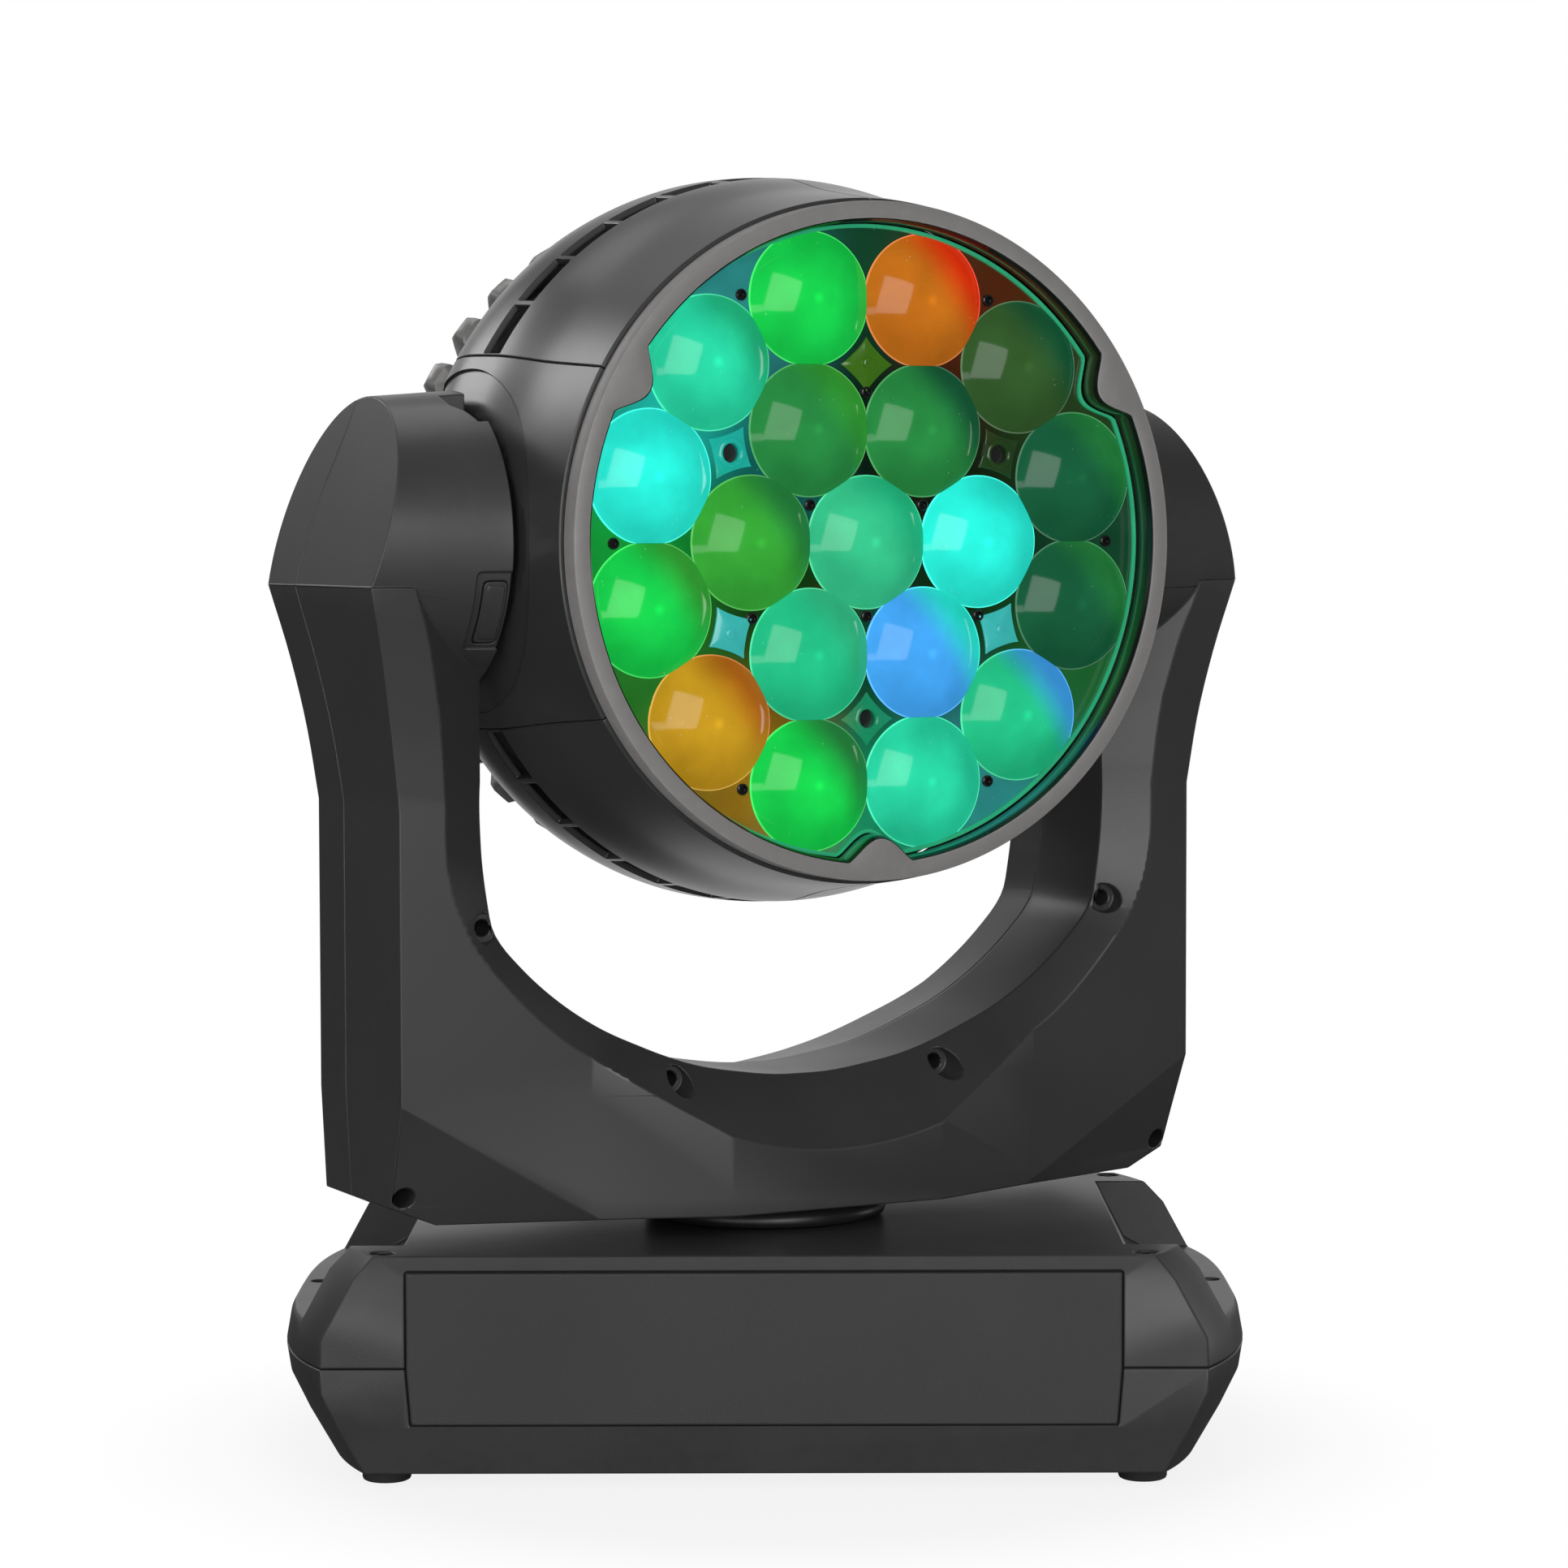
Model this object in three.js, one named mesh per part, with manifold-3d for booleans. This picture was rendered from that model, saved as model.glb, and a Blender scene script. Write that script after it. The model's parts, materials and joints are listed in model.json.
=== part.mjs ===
// Moving-head LED wash light: a base, a yoke that pans on it, and a head that tilts in the yoke.
// Millimetres and degrees, +Z up. The origin is on the pan axis, on the floor under the feet.
// The base faces -Y. The yoke and head are built facing -Y too, then turned by the pan at rest.

import * as THREE from 'three';
import { mergeVertices } from 'three/addons/utils/BufferGeometryUtils.js';
import Module from 'manifold-3d';

const wasm = await Module();
wasm.setup();

// Driving dimensions
const tiltAxisHeight = 400.6;
const panAtRest = 28;
const footHeight = 7.7;
const baseHalfLength = 187.3;
const baseHalfDepth = 123;
const baseTopHeight = 100.7;
const baseYokeGap = 11.3;
const yokeHalfDepth = 70;
const armWidth = 58.9;
const podRadius = 65;
const drumRadius = 160.3;
const bezelFront = 107.1;

// Clearances and walls that several pieces share
const seamGap = 0.3;
const slipGap = 0.3;
const turningGap = 0.5;
const runningGap = 1;
const baseWall = 3.5;
const yokeWall = 3;
const headWall = 3;
const cutOverrun = 6;
const weldDistance = 0.0005;

// Sizes that follow from the driving ones
const frontRimShare = 0.907;
const rearRimShare = 0.873;
const drumOverlap = 6.8;
const podProud = 2.5;
const podClearance = 3;
const bezelStep = 1.6;
const bezelWidth = 8.8;
const endBulge = 23.5;
const baseMiddleLength = baseHalfLength + endBulge;
const yokeBottom = baseTopHeight + baseYokeGap;
const openingHalfWidth = drumRadius - drumOverlap;
const podEndX = openingHalfWidth - podProud;
const pocketFloor = podEndX - podClearance;
const yokeHalfWidth = openingHalfWidth + armWidth;
const creaseDrop = 17.9;
const creaseHeight = tiltAxisHeight - creaseDrop;
const bezelRadius = drumRadius * frontRimShare - bezelStep;
const bezelBore = bezelRadius - bezelWidth;

// Steps round a full turn
const fineSteps = 36;
const roundSteps = 24;
const smallSteps = 14;
const tinySteps = 8;

// Finishes, as seen on the light
const shellColour = 0x3b3b3d;
const darkColour = 0x1b1b1c;
const bezelColour = 0x5f5b5a;
const steelColour = 0xa9abad;
const zincColour = 0x8d9092;
const castColour = 0x8b8c8d;
const boardColour = 0x1f4a33;
const rubberColour = 0x161616;
const lensColour = 0x2fc88f;
const finishes = {
  shell: new THREE.MeshStandardMaterial({ color: shellColour, roughness: 0.52, metalness: 0 }),
  dark: new THREE.MeshStandardMaterial({ color: darkColour, roughness: 0.6, metalness: 0 }),
  bezel: new THREE.MeshStandardMaterial({ color: bezelColour, roughness: 0.62, metalness: 0 }),
  steel: new THREE.MeshStandardMaterial({ color: steelColour, roughness: 0.32, metalness: 1 }),
  zinc: new THREE.MeshStandardMaterial({ color: zincColour, roughness: 0.45, metalness: 1 }),
  cast: new THREE.MeshStandardMaterial({ color: castColour, roughness: 0.5, metalness: 0.8 }),
  board: new THREE.MeshStandardMaterial({ color: boardColour, roughness: 0.5, metalness: 0 }),
  rubber: new THREE.MeshStandardMaterial({ color: rubberColour, roughness: 0.85, metalness: 0 }),
  lens: new THREE.MeshStandardMaterial({ color: lensColour, roughness: 0.08, metalness: 0 }),
};

// Solids from three.js shapes

const fullTurn = 360;
const halfTurn = fullTurn / 2;
const quarterTurn = fullTurn / 4;

function radians(degrees) {
  return THREE.MathUtils.degToRad(degrees);
}

function signedVolume(positions, triangles) {
  const a = new THREE.Vector3();
  const b = new THREE.Vector3();
  const c = new THREE.Vector3();
  let six = 0;
  for (const [i, j, k] of triangles) {
    a.fromArray(positions, i * 3);
    b.fromArray(positions, j * 3);
    c.fromArray(positions, k * 3);
    six += a.dot(b.cross(c));
  }
  return six;
}

// Turns a closed geometry into a manifold solid with its faces pointing out.
function solid(geometry) {
  const bare = geometry.index ? geometry.toNonIndexed() : geometry.clone();
  bare.deleteAttribute('normal');
  bare.deleteAttribute('uv');
  const merged = mergeVertices(bare, weldDistance);
  const positions = merged.attributes.position.array;
  const index = merged.index.array;
  const triangles = [];
  for (let i = 0; i < index.length; i += 3) {
    const [a, b, c] = [index[i], index[i + 1], index[i + 2]];
    if (a !== b && b !== c && c !== a) triangles.push([a, b, c]);
  }
  const inward = signedVolume(positions, triangles) < 0;
  const triVerts = new Uint32Array(triangles.flatMap(([a, b, c]) => (inward ? [a, c, b] : [a, b, c])));
  const vertProperties = new Float32Array(positions);
  return new wasm.Manifold(new wasm.Mesh({ numProp: 3, vertProperties, triVerts }));
}

function join(...solids) {
  return solids.reduce((sum, next) => sum.add(next));
}

function cut(body, ...tools) {
  return tools.reduce((rest, tool) => rest.subtract(tool), body);
}

// A box from its lowest to its highest corner.
function block(x0, x1, y0, y1, z0, z1) {
  const geometry = new THREE.BoxGeometry(x1 - x0, y1 - y0, z1 - z0);
  return solid(geometry.translate((x0 + x1) / 2, (y0 + y1) / 2, (z0 + z1) / 2));
}

// A rod along Z from z0 to z1, centred on x, y.
function rodZ(radius, z0, z1, x = 0, y = 0, steps = roundSteps) {
  const geometry = new THREE.CylinderGeometry(radius, radius, z1 - z0, steps);
  return solid(geometry.rotateX(radians(quarterTurn)).translate(x, y, (z0 + z1) / 2));
}

// A rod along X, the tilt axis direction.
function rodX(radius, x0, x1, y = 0, z = 0, steps = roundSteps) {
  const geometry = new THREE.CylinderGeometry(radius, radius, x1 - x0, steps);
  return solid(geometry.rotateZ(radians(quarterTurn)).translate((x0 + x1) / 2, y, z));
}

// A rod along the beam. Places along the beam are counted forward, towards -Y.
function rodBeam(radius, back, front, x = 0, z = 0, steps = roundSteps) {
  const geometry = new THREE.CylinderGeometry(radius, radius, front - back, steps);
  return solid(geometry.translate(x, -(front + back) / 2, z));
}

// A surface of revolution about the beam, from [radius, forward] points that close on themselves.
function turned(points, steps = fineSteps) {
  const profile = points.map(([radius, forward]) => new THREE.Vector2(radius, forward));
  profile.push(profile[0].clone());
  return solid(new THREE.LatheGeometry(profile, steps).rotateX(radians(halfTurn)));
}

// A ring or tube about Z, from [radius, height] points that close on themselves.
function turnedZ(points, steps = roundSteps) {
  const profile = points.map(([radius, height]) => new THREE.Vector2(radius, height));
  profile.push(profile[0].clone());
  return solid(new THREE.LatheGeometry(profile, steps).rotateX(radians(quarterTurn)));
}

function tubeZ(outer, inner, z0, z1, x = 0, y = 0, steps = roundSteps) {
  const ring = turnedZ([[inner, z0], [outer, z0], [outer, z1], [inner, z1]], steps);
  return ring.translate([x, y, 0]);
}

function tubeX(outer, inner, x0, x1, steps = roundSteps) {
  return cut(rodX(outer, x0, x1, 0, 0, steps), rodX(inner, x0 - cutOverrun, x1 + cutOverrun, 0, 0, steps));
}

function shapeOf(points) {
  return new THREE.Shape(points.map(([x, y]) => new THREE.Vector2(x, y)));
}

function prism(points, depth) {
  return new THREE.ExtrudeGeometry(shapeOf(points), { depth, bevelEnabled: false, curveSegments: 1 });
}

// An outline in X and Z, carried along the beam from back to front.
function slab(points, back, front) {
  return solid(prism(points, front - back).rotateX(radians(quarterTurn)).translate(0, -back, 0));
}

// An outline in X and Y, carried up from z0 to z1.
function plate(points, z0, z1) {
  return solid(prism(points, z1 - z0).translate(0, 0, z0));
}

// A closed skin through rings of as many points each, with flat() giving a cap's plane.
function loft(rings, flat) {
  const count = rings[0].length;
  const positions = rings.flat().flatMap((point) => point.toArray());
  const index = [];
  for (let ring = 0; ring + 1 < rings.length; ring += 1) {
    for (let i = 0; i < count; i += 1) {
      const j = (i + 1) % count;
      const [a, b] = [ring * count + i, ring * count + j];
      index.push(a, b, b + count, a, b + count, a + count);
    }
  }
  const last = (rings.length - 1) * count;
  const startCap = THREE.ShapeUtils.triangulateShape(rings[0].map(flat), []);
  const endCap = THREE.ShapeUtils.triangulateShape(rings[rings.length - 1].map(flat), []);
  const turns = THREE.ShapeUtils.isClockWise(rings[0].map(flat));
  for (const [a, b, c] of startCap) index.push(...(turns ? [a, b, c] : [a, c, b]));
  for (const [a, b, c] of endCap.map((corners) => corners.map((i) => last + i))) {
    index.push(...(turns ? [a, c, b] : [a, b, c]));
  }
  const geometry = new THREE.BufferGeometry();
  geometry.setAttribute('position', new THREE.Float32BufferAttribute(positions, 3));
  geometry.setIndex(index);
  return solid(geometry);
}

function onFloor(point) {
  return new THREE.Vector2(point.x, point.y);
}

function onFront(point) {
  return new THREE.Vector2(point.x, point.z);
}

function named(name, body, material) {
  const { vertProperties, triVerts } = body.getMesh();
  const geometry = new THREE.BufferGeometry();
  geometry.setAttribute('position', new THREE.Float32BufferAttribute(vertProperties, 3));
  geometry.setIndex(new THREE.Uint32BufferAttribute(triVerts, 1));
  const mesh = new THREE.Mesh(geometry, material);
  mesh.name = name;
  return mesh;
}

function mirrored(points) {
  return [...points, ...points.map(([x, y]) => [-x, y]).reverse()];
}

// Base shells

const footRadius = 10.5;
const footInset = 25.3;
const footX = baseHalfLength - footInset;
const footInsetDepth = 32;
const footY = baseHalfDepth - footInsetDepth;
const footStem = 4;
const footStemLength = 4.5;
const baseSeamHeight = 53.4;
const sideCurvePower = 2.9;
const sideCurveSteps = 10;
// Levels of the base skin: shares of the height over the feet, of the half length at the corners
// and at the middle of each end, and of the half depth.
const baseLevelShares = [
  { rise: 0, corner: 0.904, middle: 0.901, depth: 0.96 },
  { rise: 0.229, corner: 0.963, middle: 0.958, depth: 1 },
  { rise: 0.38, corner: 0.999, middle: 0.991, depth: 1 },
  { rise: 0.491, corner: 1, middle: 1, depth: 1 },
  { rise: 0.627, corner: 0.997, middle: 0.989, depth: 1 },
  { rise: 0.896, corner: 0.924, middle: 0.925, depth: 1 },
  { rise: 0.937, corner: 0.907, middle: 0.911, depth: 1 },
  { rise: 1, corner: 0.881, middle: 0.887, depth: 0.96 },
];
const baseLevels = baseLevelShares.map((share) => ({
  height: THREE.MathUtils.lerp(footHeight, baseTopHeight, share.rise),
  corner: baseHalfLength * share.corner,
  middle: baseMiddleLength * share.middle,
  depth: baseHalfDepth * share.depth,
}));
const scoopMargin = 33;
const scoopHalfDepth = baseHalfDepth - scoopMargin;
const scoopInset = 33.3;
const scoopKneeOut = 13;
const scoopFootOut = 22;
const scoopTopX = baseHalfLength - scoopInset;
const scoopKneeX = scoopTopX + scoopKneeOut;
const scoopFootX = scoopTopX + scoopFootOut;
const ledgeDrop = 30.7;
const ledgeHeight = baseTopHeight - ledgeDrop;
const scoopKneeRise = 5;
const scoopKneeHeight = ledgeHeight + scoopKneeRise;
const scoopOverrun = 29.2;
const scoopSpan = baseMiddleLength + scoopOverrun;

function baseRing(level, inset, height) {
  const depth = level.depth - inset;
  const corner = level.corner - inset;
  const middle = level.middle - inset;
  const side = [];
  for (let i = 0; i <= sideCurveSteps; i += 1) {
    const share = (2 * i) / sideCurveSteps - 1;
    side.push([middle - (middle - corner) * Math.abs(share) ** sideCurvePower, share * depth]);
  }
  return mirrored(side).map(([x, y]) => new THREE.Vector3(x, y, height));
}

function scoop(sign, inset) {
  const reach = scoopHalfDepth + inset;
  const points = [
    [sign * (scoopTopX - inset), baseTopHeight + cutOverrun],
    [sign * (scoopTopX - inset), baseTopHeight - inset],
    [sign * (scoopKneeX - inset), scoopKneeHeight - inset],
    [sign * scoopFootX, ledgeHeight - inset],
    [sign * scoopSpan, ledgeHeight - inset],
    [sign * scoopSpan, baseTopHeight + cutOverrun],
  ];
  return slab(points, -reach, reach);
}

function baseBody(inset) {
  const rings = baseLevels.map((level, i) => {
    const lift = i === 0 ? inset : 0;
    const drop = i === baseLevels.length - 1 ? inset : 0;
    return baseRing(level, inset, level.height + lift - drop);
  });
  return cut(loft(rings, onFloor), scoop(1, inset), scoop(-1, inset));
}

// Blank front panel and rear panel, each lying in a shallow recess

const panelMargin = 36;
const panelTaper = 1.9;
const panelTopMargin = 6.1;
const panelKneeDrop = 0.7;
const panelHalfTop = baseHalfLength - panelMargin;
const panelHalfBottom = panelHalfTop - panelTaper;
const panelTop = baseTopHeight - panelTopMargin;
const panelKnee = baseSeamHeight - panelKneeDrop;
const panelBottom = 29;
const panelThickness = 2.4;
const recessDepth = 2;
const windowMargin = 7;

function panelOutline(inset) {
  return mirrored([
    [panelHalfBottom - inset, panelBottom + inset],
    [panelHalfTop - inset, panelKnee],
    [panelHalfTop - inset, panelTop - inset],
  ]);
}

function panelRecess(front) {
  const depth = front ? [baseHalfDepth - recessDepth, baseHalfDepth + cutOverrun]
    : [-baseHalfDepth - cutOverrun, -baseHalfDepth + recessDepth];
  return slab(panelOutline(0), depth[0], depth[1]);
}

function rearWindow() {
  const inner = baseHalfDepth - baseWall - cutOverrun;
  return slab(panelOutline(windowMargin), -baseHalfDepth - cutOverrun, -inner);
}

// Floor of the lower shell, the steel chassis plate and the feet

const floorMargin = 49.3;
const floorMarginDepth = 41;
const floorOpeningX = baseHalfLength - floorMargin;
const floorOpeningY = baseHalfDepth - floorMarginDepth;
const chassisLap = 7;
const chassisThickness = 2.5;
const chassisBottom = footHeight + baseWall + seamGap;
const chassisTop = chassisBottom + chassisThickness;
const clampHoleRadius = 5.2;
const clampHoleX = 53;
const clampHoleY = 60;
const clampRailEnd = 15;
const clampRailHalf = 13;
const clampRailDepth = 2;
const stripScrewInset = 25.7;
const stripScrewMargin = 12.9;
const ledgeScrewInset = 9.8;
const stripScrewX = baseHalfLength - stripScrewInset;
const stripScrewY = baseHalfDepth - stripScrewMargin;
const ledgeScrewX = baseMiddleLength - ledgeScrewInset;
const screwPocketRadius = 5;
const screwPocketDepth = 2.4;

function baseLowerShell(skin) {
  const seam = baseSeamHeight - seamGap / 2;
  const floorCut = block(-floorOpeningX, floorOpeningX, -floorOpeningY, floorOpeningY,
    footHeight - cutOverrun, chassisBottom);
  const recesses = [panelRecess(true), panelRecess(false), rearWindow()];
  const lower = block(-scoopSpan, scoopSpan, -scoopSpan, scoopSpan, 0, seam);
  const stems = feetPlaces().map(([x, y]) => {
    return rodZ(footStem + slipGap, footHeight - cutOverrun, chassisBottom, x, y, tinySteps);
  });
  return cut(skin.intersect(lower), floorCut, ...recesses, ...stems);
}

function baseUpperShell(skin) {
  const seam = baseSeamHeight + seamGap / 2;
  const upper = block(-scoopSpan, scoopSpan, -scoopSpan, scoopSpan, seam, baseTopHeight + cutOverrun);
  const hub = rodZ(bearingNeckRadius + slipGap, baseTopHeight - baseWall - cutOverrun,
    baseTopHeight + cutOverrun);
  const pockets = [];
  for (const x of [-stripScrewX, stripScrewX]) {
    for (const y of [-stripScrewY, stripScrewY]) {
      pockets.push(rodZ(screwPocketRadius, baseTopHeight - screwPocketDepth,
        baseTopHeight + cutOverrun, x, y, tinySteps));
    }
    pockets.push(rodZ(screwPocketRadius, ledgeHeight - screwPocketDepth,
      ledgeHeight + cutOverrun, Math.sign(x) * ledgeScrewX, 0, tinySteps));
  }
  const recesses = [panelRecess(true), panelRecess(false), rearWindow()];
  return cut(skin.intersect(upper), hub, ...recesses, ...pockets);
}

function feetPlaces() {
  return [[-footX, -footY], [footX, -footY], [footX, footY], [-footX, footY]];
}

function foot(x, y) {
  const pad = rodZ(footRadius, 0, footHeight - slipGap, x, y, smallSteps);
  const stemTop = footHeight + footStemLength - slipGap * 2;
  return join(pad, rodZ(footStem, footHeight / 2, stemTop, x, y, tinySteps));
}

// The sheet lies on the floor's rim; two rails under it take the brackets.
function chassisPlate() {
  const [x, y] = [floorOpeningX + chassisLap, floorOpeningY + chassisLap];
  const [railX, railBottom] = [clampHoleX + clampRailEnd, chassisBottom - clampRailDepth];
  const rails = [-1, 1].map((side) => block(-railX, railX, side * clampHoleY - clampRailHalf,
    side * clampHoleY + clampRailHalf, railBottom, chassisTop - chassisThickness / 2));
  const sheet = join(block(-x, x, -y, y, chassisBottom, chassisTop), ...rails);
  const holes = [];
  for (const sx of [-1, 1]) {
    for (const sy of [-1, 1]) {
      holes.push(rodZ(clampHoleRadius, railBottom - cutOverrun, chassisTop + cutOverrun,
        sx * clampHoleX, sy * clampHoleY, tinySteps));
    }
  }
  return cut(sheet, ...holes);
}

function frontPanel() {
  const back = baseHalfDepth - recessDepth + slipGap;
  return slab(panelOutline(slipGap), back, back + panelThickness);
}

// Connectors, display and menu buttons on the rear panel. Places run along X on the rear face.

const rowHeight = 61;
// Places along the rear row, as shares of the panel's half length.
const rowShares = { mainsIn: -0.8032, mainsOut: -0.5622, dataIn: -0.3213, dataOut: -0.0937,
  display: 0.3481, displayHalf: 0.1874, keys: 0.656, keyStep: 0.1071,
  mainsRadius: 0.08367, dataRadius: 0.07497, rim: 0.02 };
const mainsInX = panelHalfBottom * rowShares.mainsIn;
const mainsOutX = panelHalfBottom * rowShares.mainsOut;
const dataInX = panelHalfBottom * rowShares.dataIn;
const dataOutX = panelHalfBottom * rowShares.dataOut;
const mainsRadius = panelHalfBottom * rowShares.mainsRadius;
const dataRadius = panelHalfBottom * rowShares.dataRadius;
const socketDepth = 26;
const socketRim = panelHalfBottom * rowShares.rim;
const socketWall = 2.2;
const socketProud = 1.5;
const socketWell = 18;
const displayX = panelHalfBottom * rowShares.display;
const displayHalfWidth = panelHalfBottom * rowShares.displayHalf;
const displayHalfHeight = 14;
const displayHeight = 68;
const buttonX = panelHalfBottom * rowShares.keys;
const buttonPitchX = panelHalfBottom * rowShares.keyStep;
const buttonPitchZ = 16;
const buttonHalf = 5;
const buttonLength = 9;
const buttonProud = 2;
const buttonTravel = 1;
const rearFace = baseHalfDepth - recessDepth + slipGap + panelThickness;

function sockets() {
  return [
    { name: 'mains_inlet', x: mainsInX, radius: mainsRadius },
    { name: 'mains_outlet', x: mainsOutX, radius: mainsRadius },
    { name: 'data_inlet', x: dataInX, radius: dataRadius },
    { name: 'data_outlet', x: dataOutX, radius: dataRadius },
  ];
}

function buttonPlaces() {
  return [
    { name: 'menu_button_up', x: buttonX, z: displayHeight + buttonPitchZ / 2 },
    { name: 'menu_button_down', x: buttonX, z: displayHeight - buttonPitchZ / 2 },
    { name: 'menu_button_back', x: buttonX + buttonPitchX, z: displayHeight + buttonPitchZ / 2 },
    { name: 'menu_button_enter', x: buttonX + buttonPitchX, z: displayHeight - buttonPitchZ / 2 },
  ];
}

function rearPanel() {
  const back = baseHalfDepth - recessDepth + slipGap;
  const [y0, y1] = [-back - panelThickness - cutOverrun, -back + cutOverrun];
  const holes = sockets().map((one) => rodBeam(one.radius + slipGap, y0, y1, one.x, rowHeight, smallSteps));
  const keys = buttonPlaces().map((key) => {
    const half = buttonHalf + slipGap;
    return block(key.x - half, key.x + half, -y1, -y0, key.z - half, key.z + half);
  });
  const view = block(displayX - displayHalfWidth - slipGap, displayX + displayHalfWidth + slipGap, -y1, -y0,
    displayHeight - displayHalfHeight - slipGap, displayHeight + displayHalfHeight + slipGap);
  return cut(slab(panelOutline(slipGap), -back - panelThickness, -back), ...holes, ...keys, view);
}

function socket(one) {
  const face = -rearFace;
  const barrel = rodBeam(one.radius, face, face + socketDepth, one.x, rowHeight, smallSteps);
  const flange = rodBeam(one.radius + socketRim, face - socketProud - slipGap, face - slipGap,
    one.x, rowHeight, smallSteps);
  const neck = rodBeam(one.radius, face - socketProud, face + slipGap, one.x, rowHeight, smallSteps);
  const well = rodBeam(one.radius - socketWall, face - cutOverrun, face + socketWell,
    one.x, rowHeight, smallSteps);
  return cut(join(barrel, neck, flange), well);
}

function menuButton(key) {
  const [y0, y1] = [rearFace + buttonProud - buttonLength, rearFace + buttonProud];
  return block(key.x - buttonHalf, key.x + buttonHalf, y0, y1, key.z - buttonHalf, key.z + buttonHalf);
}

// Boards and power supply inside the base

const supplyShares = { outer: -0.8436, inner: -0.3844 };
const boardShares = { inner: 0.1473, outer: 0.9103 };
const supplyX0 = baseHalfLength * supplyShares.outer;
const supplyX1 = baseHalfLength * supplyShares.inner;
const supplyHalfDepth = 78;
const supplyHeight = 42;
const boardX0 = panelHalfBottom * boardShares.inner;
const boardX1 = panelHalfBottom * boardShares.outer;
const boardThickness = 1.6;
const chipInset = 15;
const chipHeight = 4;
const chipHalf = 9;
const chipTall = 18;

function powerSupply() {
  const base = chassisTop + seamGap;
  return block(supplyX0, supplyX1, -supplyHalfDepth, supplyHalfDepth, base, base + supplyHeight);
}

// The control board stands behind the rear panel, with its display and the button switches.
function controlBoard() {
  const back = rearFace + buttonProud - buttonLength - buttonTravel - slipGap;
  const front = back - boardThickness;
  const [low, high] = [panelBottom + windowMargin, displayHeight + displayHalfHeight];
  const sheet = block(boardX0, boardX1, front, back, low, high);
  const chips = [boardX0 + chipInset, boardX1 - chipInset].map((x) => {
    return block(x - chipHalf, x + chipHalf, front - chipHeight, front,
      low + chipHalf, low + chipHalf + chipTall);
  });
  const display = block(displayX - displayHalfWidth, displayX + displayHalfWidth, front, rearFace,
    displayHeight - displayHalfHeight, displayHeight + displayHalfHeight);
  return join(sheet, display, ...chips);
}

// Pan drive: a hollow shaft in a bearing, turned by a belt from a motor under the drive plate

const bearingNeckRadius = 45;
const bearingRadius = 53.8;
const bearingLowRadius = 52.3;
const bearingDrop = 7;
const bearingHold = 10.7;
const flangeDrop = 6;
const bearingTop = yokeBottom - bearingDrop;
const bearingFlangeBottom = baseTopHeight + seamGap;
const bearingNeckEnd = baseTopHeight - bearingHold;
const panShaftRadius = 30;
const panShaftBore = 22;
const panShaftBottom = 58;
const panFlangeRadius = 44;
const panFlangeBottom = yokeBottom - flangeDrop;
const yokeFloorTop = yokeBottom + yokeWall;
const panHoleRadius = 46;
const drivePlateBottom = 63;
const drivePlateThickness = 3;
const drivePlateTop = drivePlateBottom + drivePlateThickness;
const drivePlateX0 = -52;
const drivePlateX1 = 126;
const drivePlateHalfDepth = 56;
const driveLeg = 6;
const panPulleyRadius = 48;
const pulleyHeight = 13;
const panMotorX = 92;
const panMotorHalf = 28.5;
const panMotorHeight = 46;
const panMotorShaft = 4;
const motorPulleyRadius = 8;
const motorPulleyBore = panMotorShaft + slipGap;
const beltThickness = 1.6;
const beltGap = 0.8;
const beltWidth = 9;

function panBearing() {
  return turnedZ([
    [panShaftRadius + turningGap, bearingNeckEnd],
    [bearingNeckRadius, bearingNeckEnd],
    [bearingNeckRadius, bearingFlangeBottom],
    [bearingLowRadius, bearingFlangeBottom],
    [bearingRadius, bearingTop],
    [panShaftRadius + turningGap, bearingTop],
  ]);
}

function panShaft() {
  return turnedZ([
    [panShaftBore, panShaftBottom],
    [panShaftRadius, panShaftBottom],
    [panShaftRadius, panFlangeBottom],
    [panFlangeRadius, panFlangeBottom],
    [panFlangeRadius, yokeFloorTop],
    [panShaftBore, yokeFloorTop],
  ]);
}

function drivePlate() {
  const sheet = block(drivePlateX0, drivePlateX1, -drivePlateHalfDepth, drivePlateHalfDepth,
    drivePlateBottom, drivePlateTop);
  const bore = rodZ(panShaftRadius + turningGap, drivePlateBottom - cutOverrun, drivePlateTop + cutOverrun);
  const motorHole = rodZ(motorPulleyRadius, drivePlateBottom - cutOverrun, drivePlateTop + cutOverrun,
    panMotorX, 0, smallSteps);
  const legs = [];
  const [legBottom, legTop] = [chassisTop + seamGap, drivePlateBottom + drivePlateThickness / 2];
  for (const x of [drivePlateX0, drivePlateX1 - driveLeg]) {
    for (const y of [-drivePlateHalfDepth, drivePlateHalfDepth - driveLeg]) {
      legs.push(block(x, x + driveLeg, y, y + driveLeg, legBottom, legTop));
    }
  }
  return cut(join(sheet, ...legs), bore, motorHole);
}

function panPulley() {
  const z0 = drivePlateTop + runningGap;
  return tubeZ(panPulleyRadius, panShaftRadius + slipGap, z0, z0 + pulleyHeight);
}

function panMotor() {
  const top = drivePlateBottom - seamGap;
  const body = block(panMotorX - panMotorHalf, panMotorX + panMotorHalf, -panMotorHalf, panMotorHalf,
    top - panMotorHeight, top);
  return join(body, rodZ(panMotorShaft, top - runningGap, drivePlateTop + runningGap + pulleyHeight,
    panMotorX, 0, tinySteps));
}

function panMotorPulley() {
  const z0 = drivePlateTop + runningGap;
  return tubeZ(motorPulleyRadius, motorPulleyBore, z0, z0 + pulleyHeight, panMotorX, 0, smallSteps);
}

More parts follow.
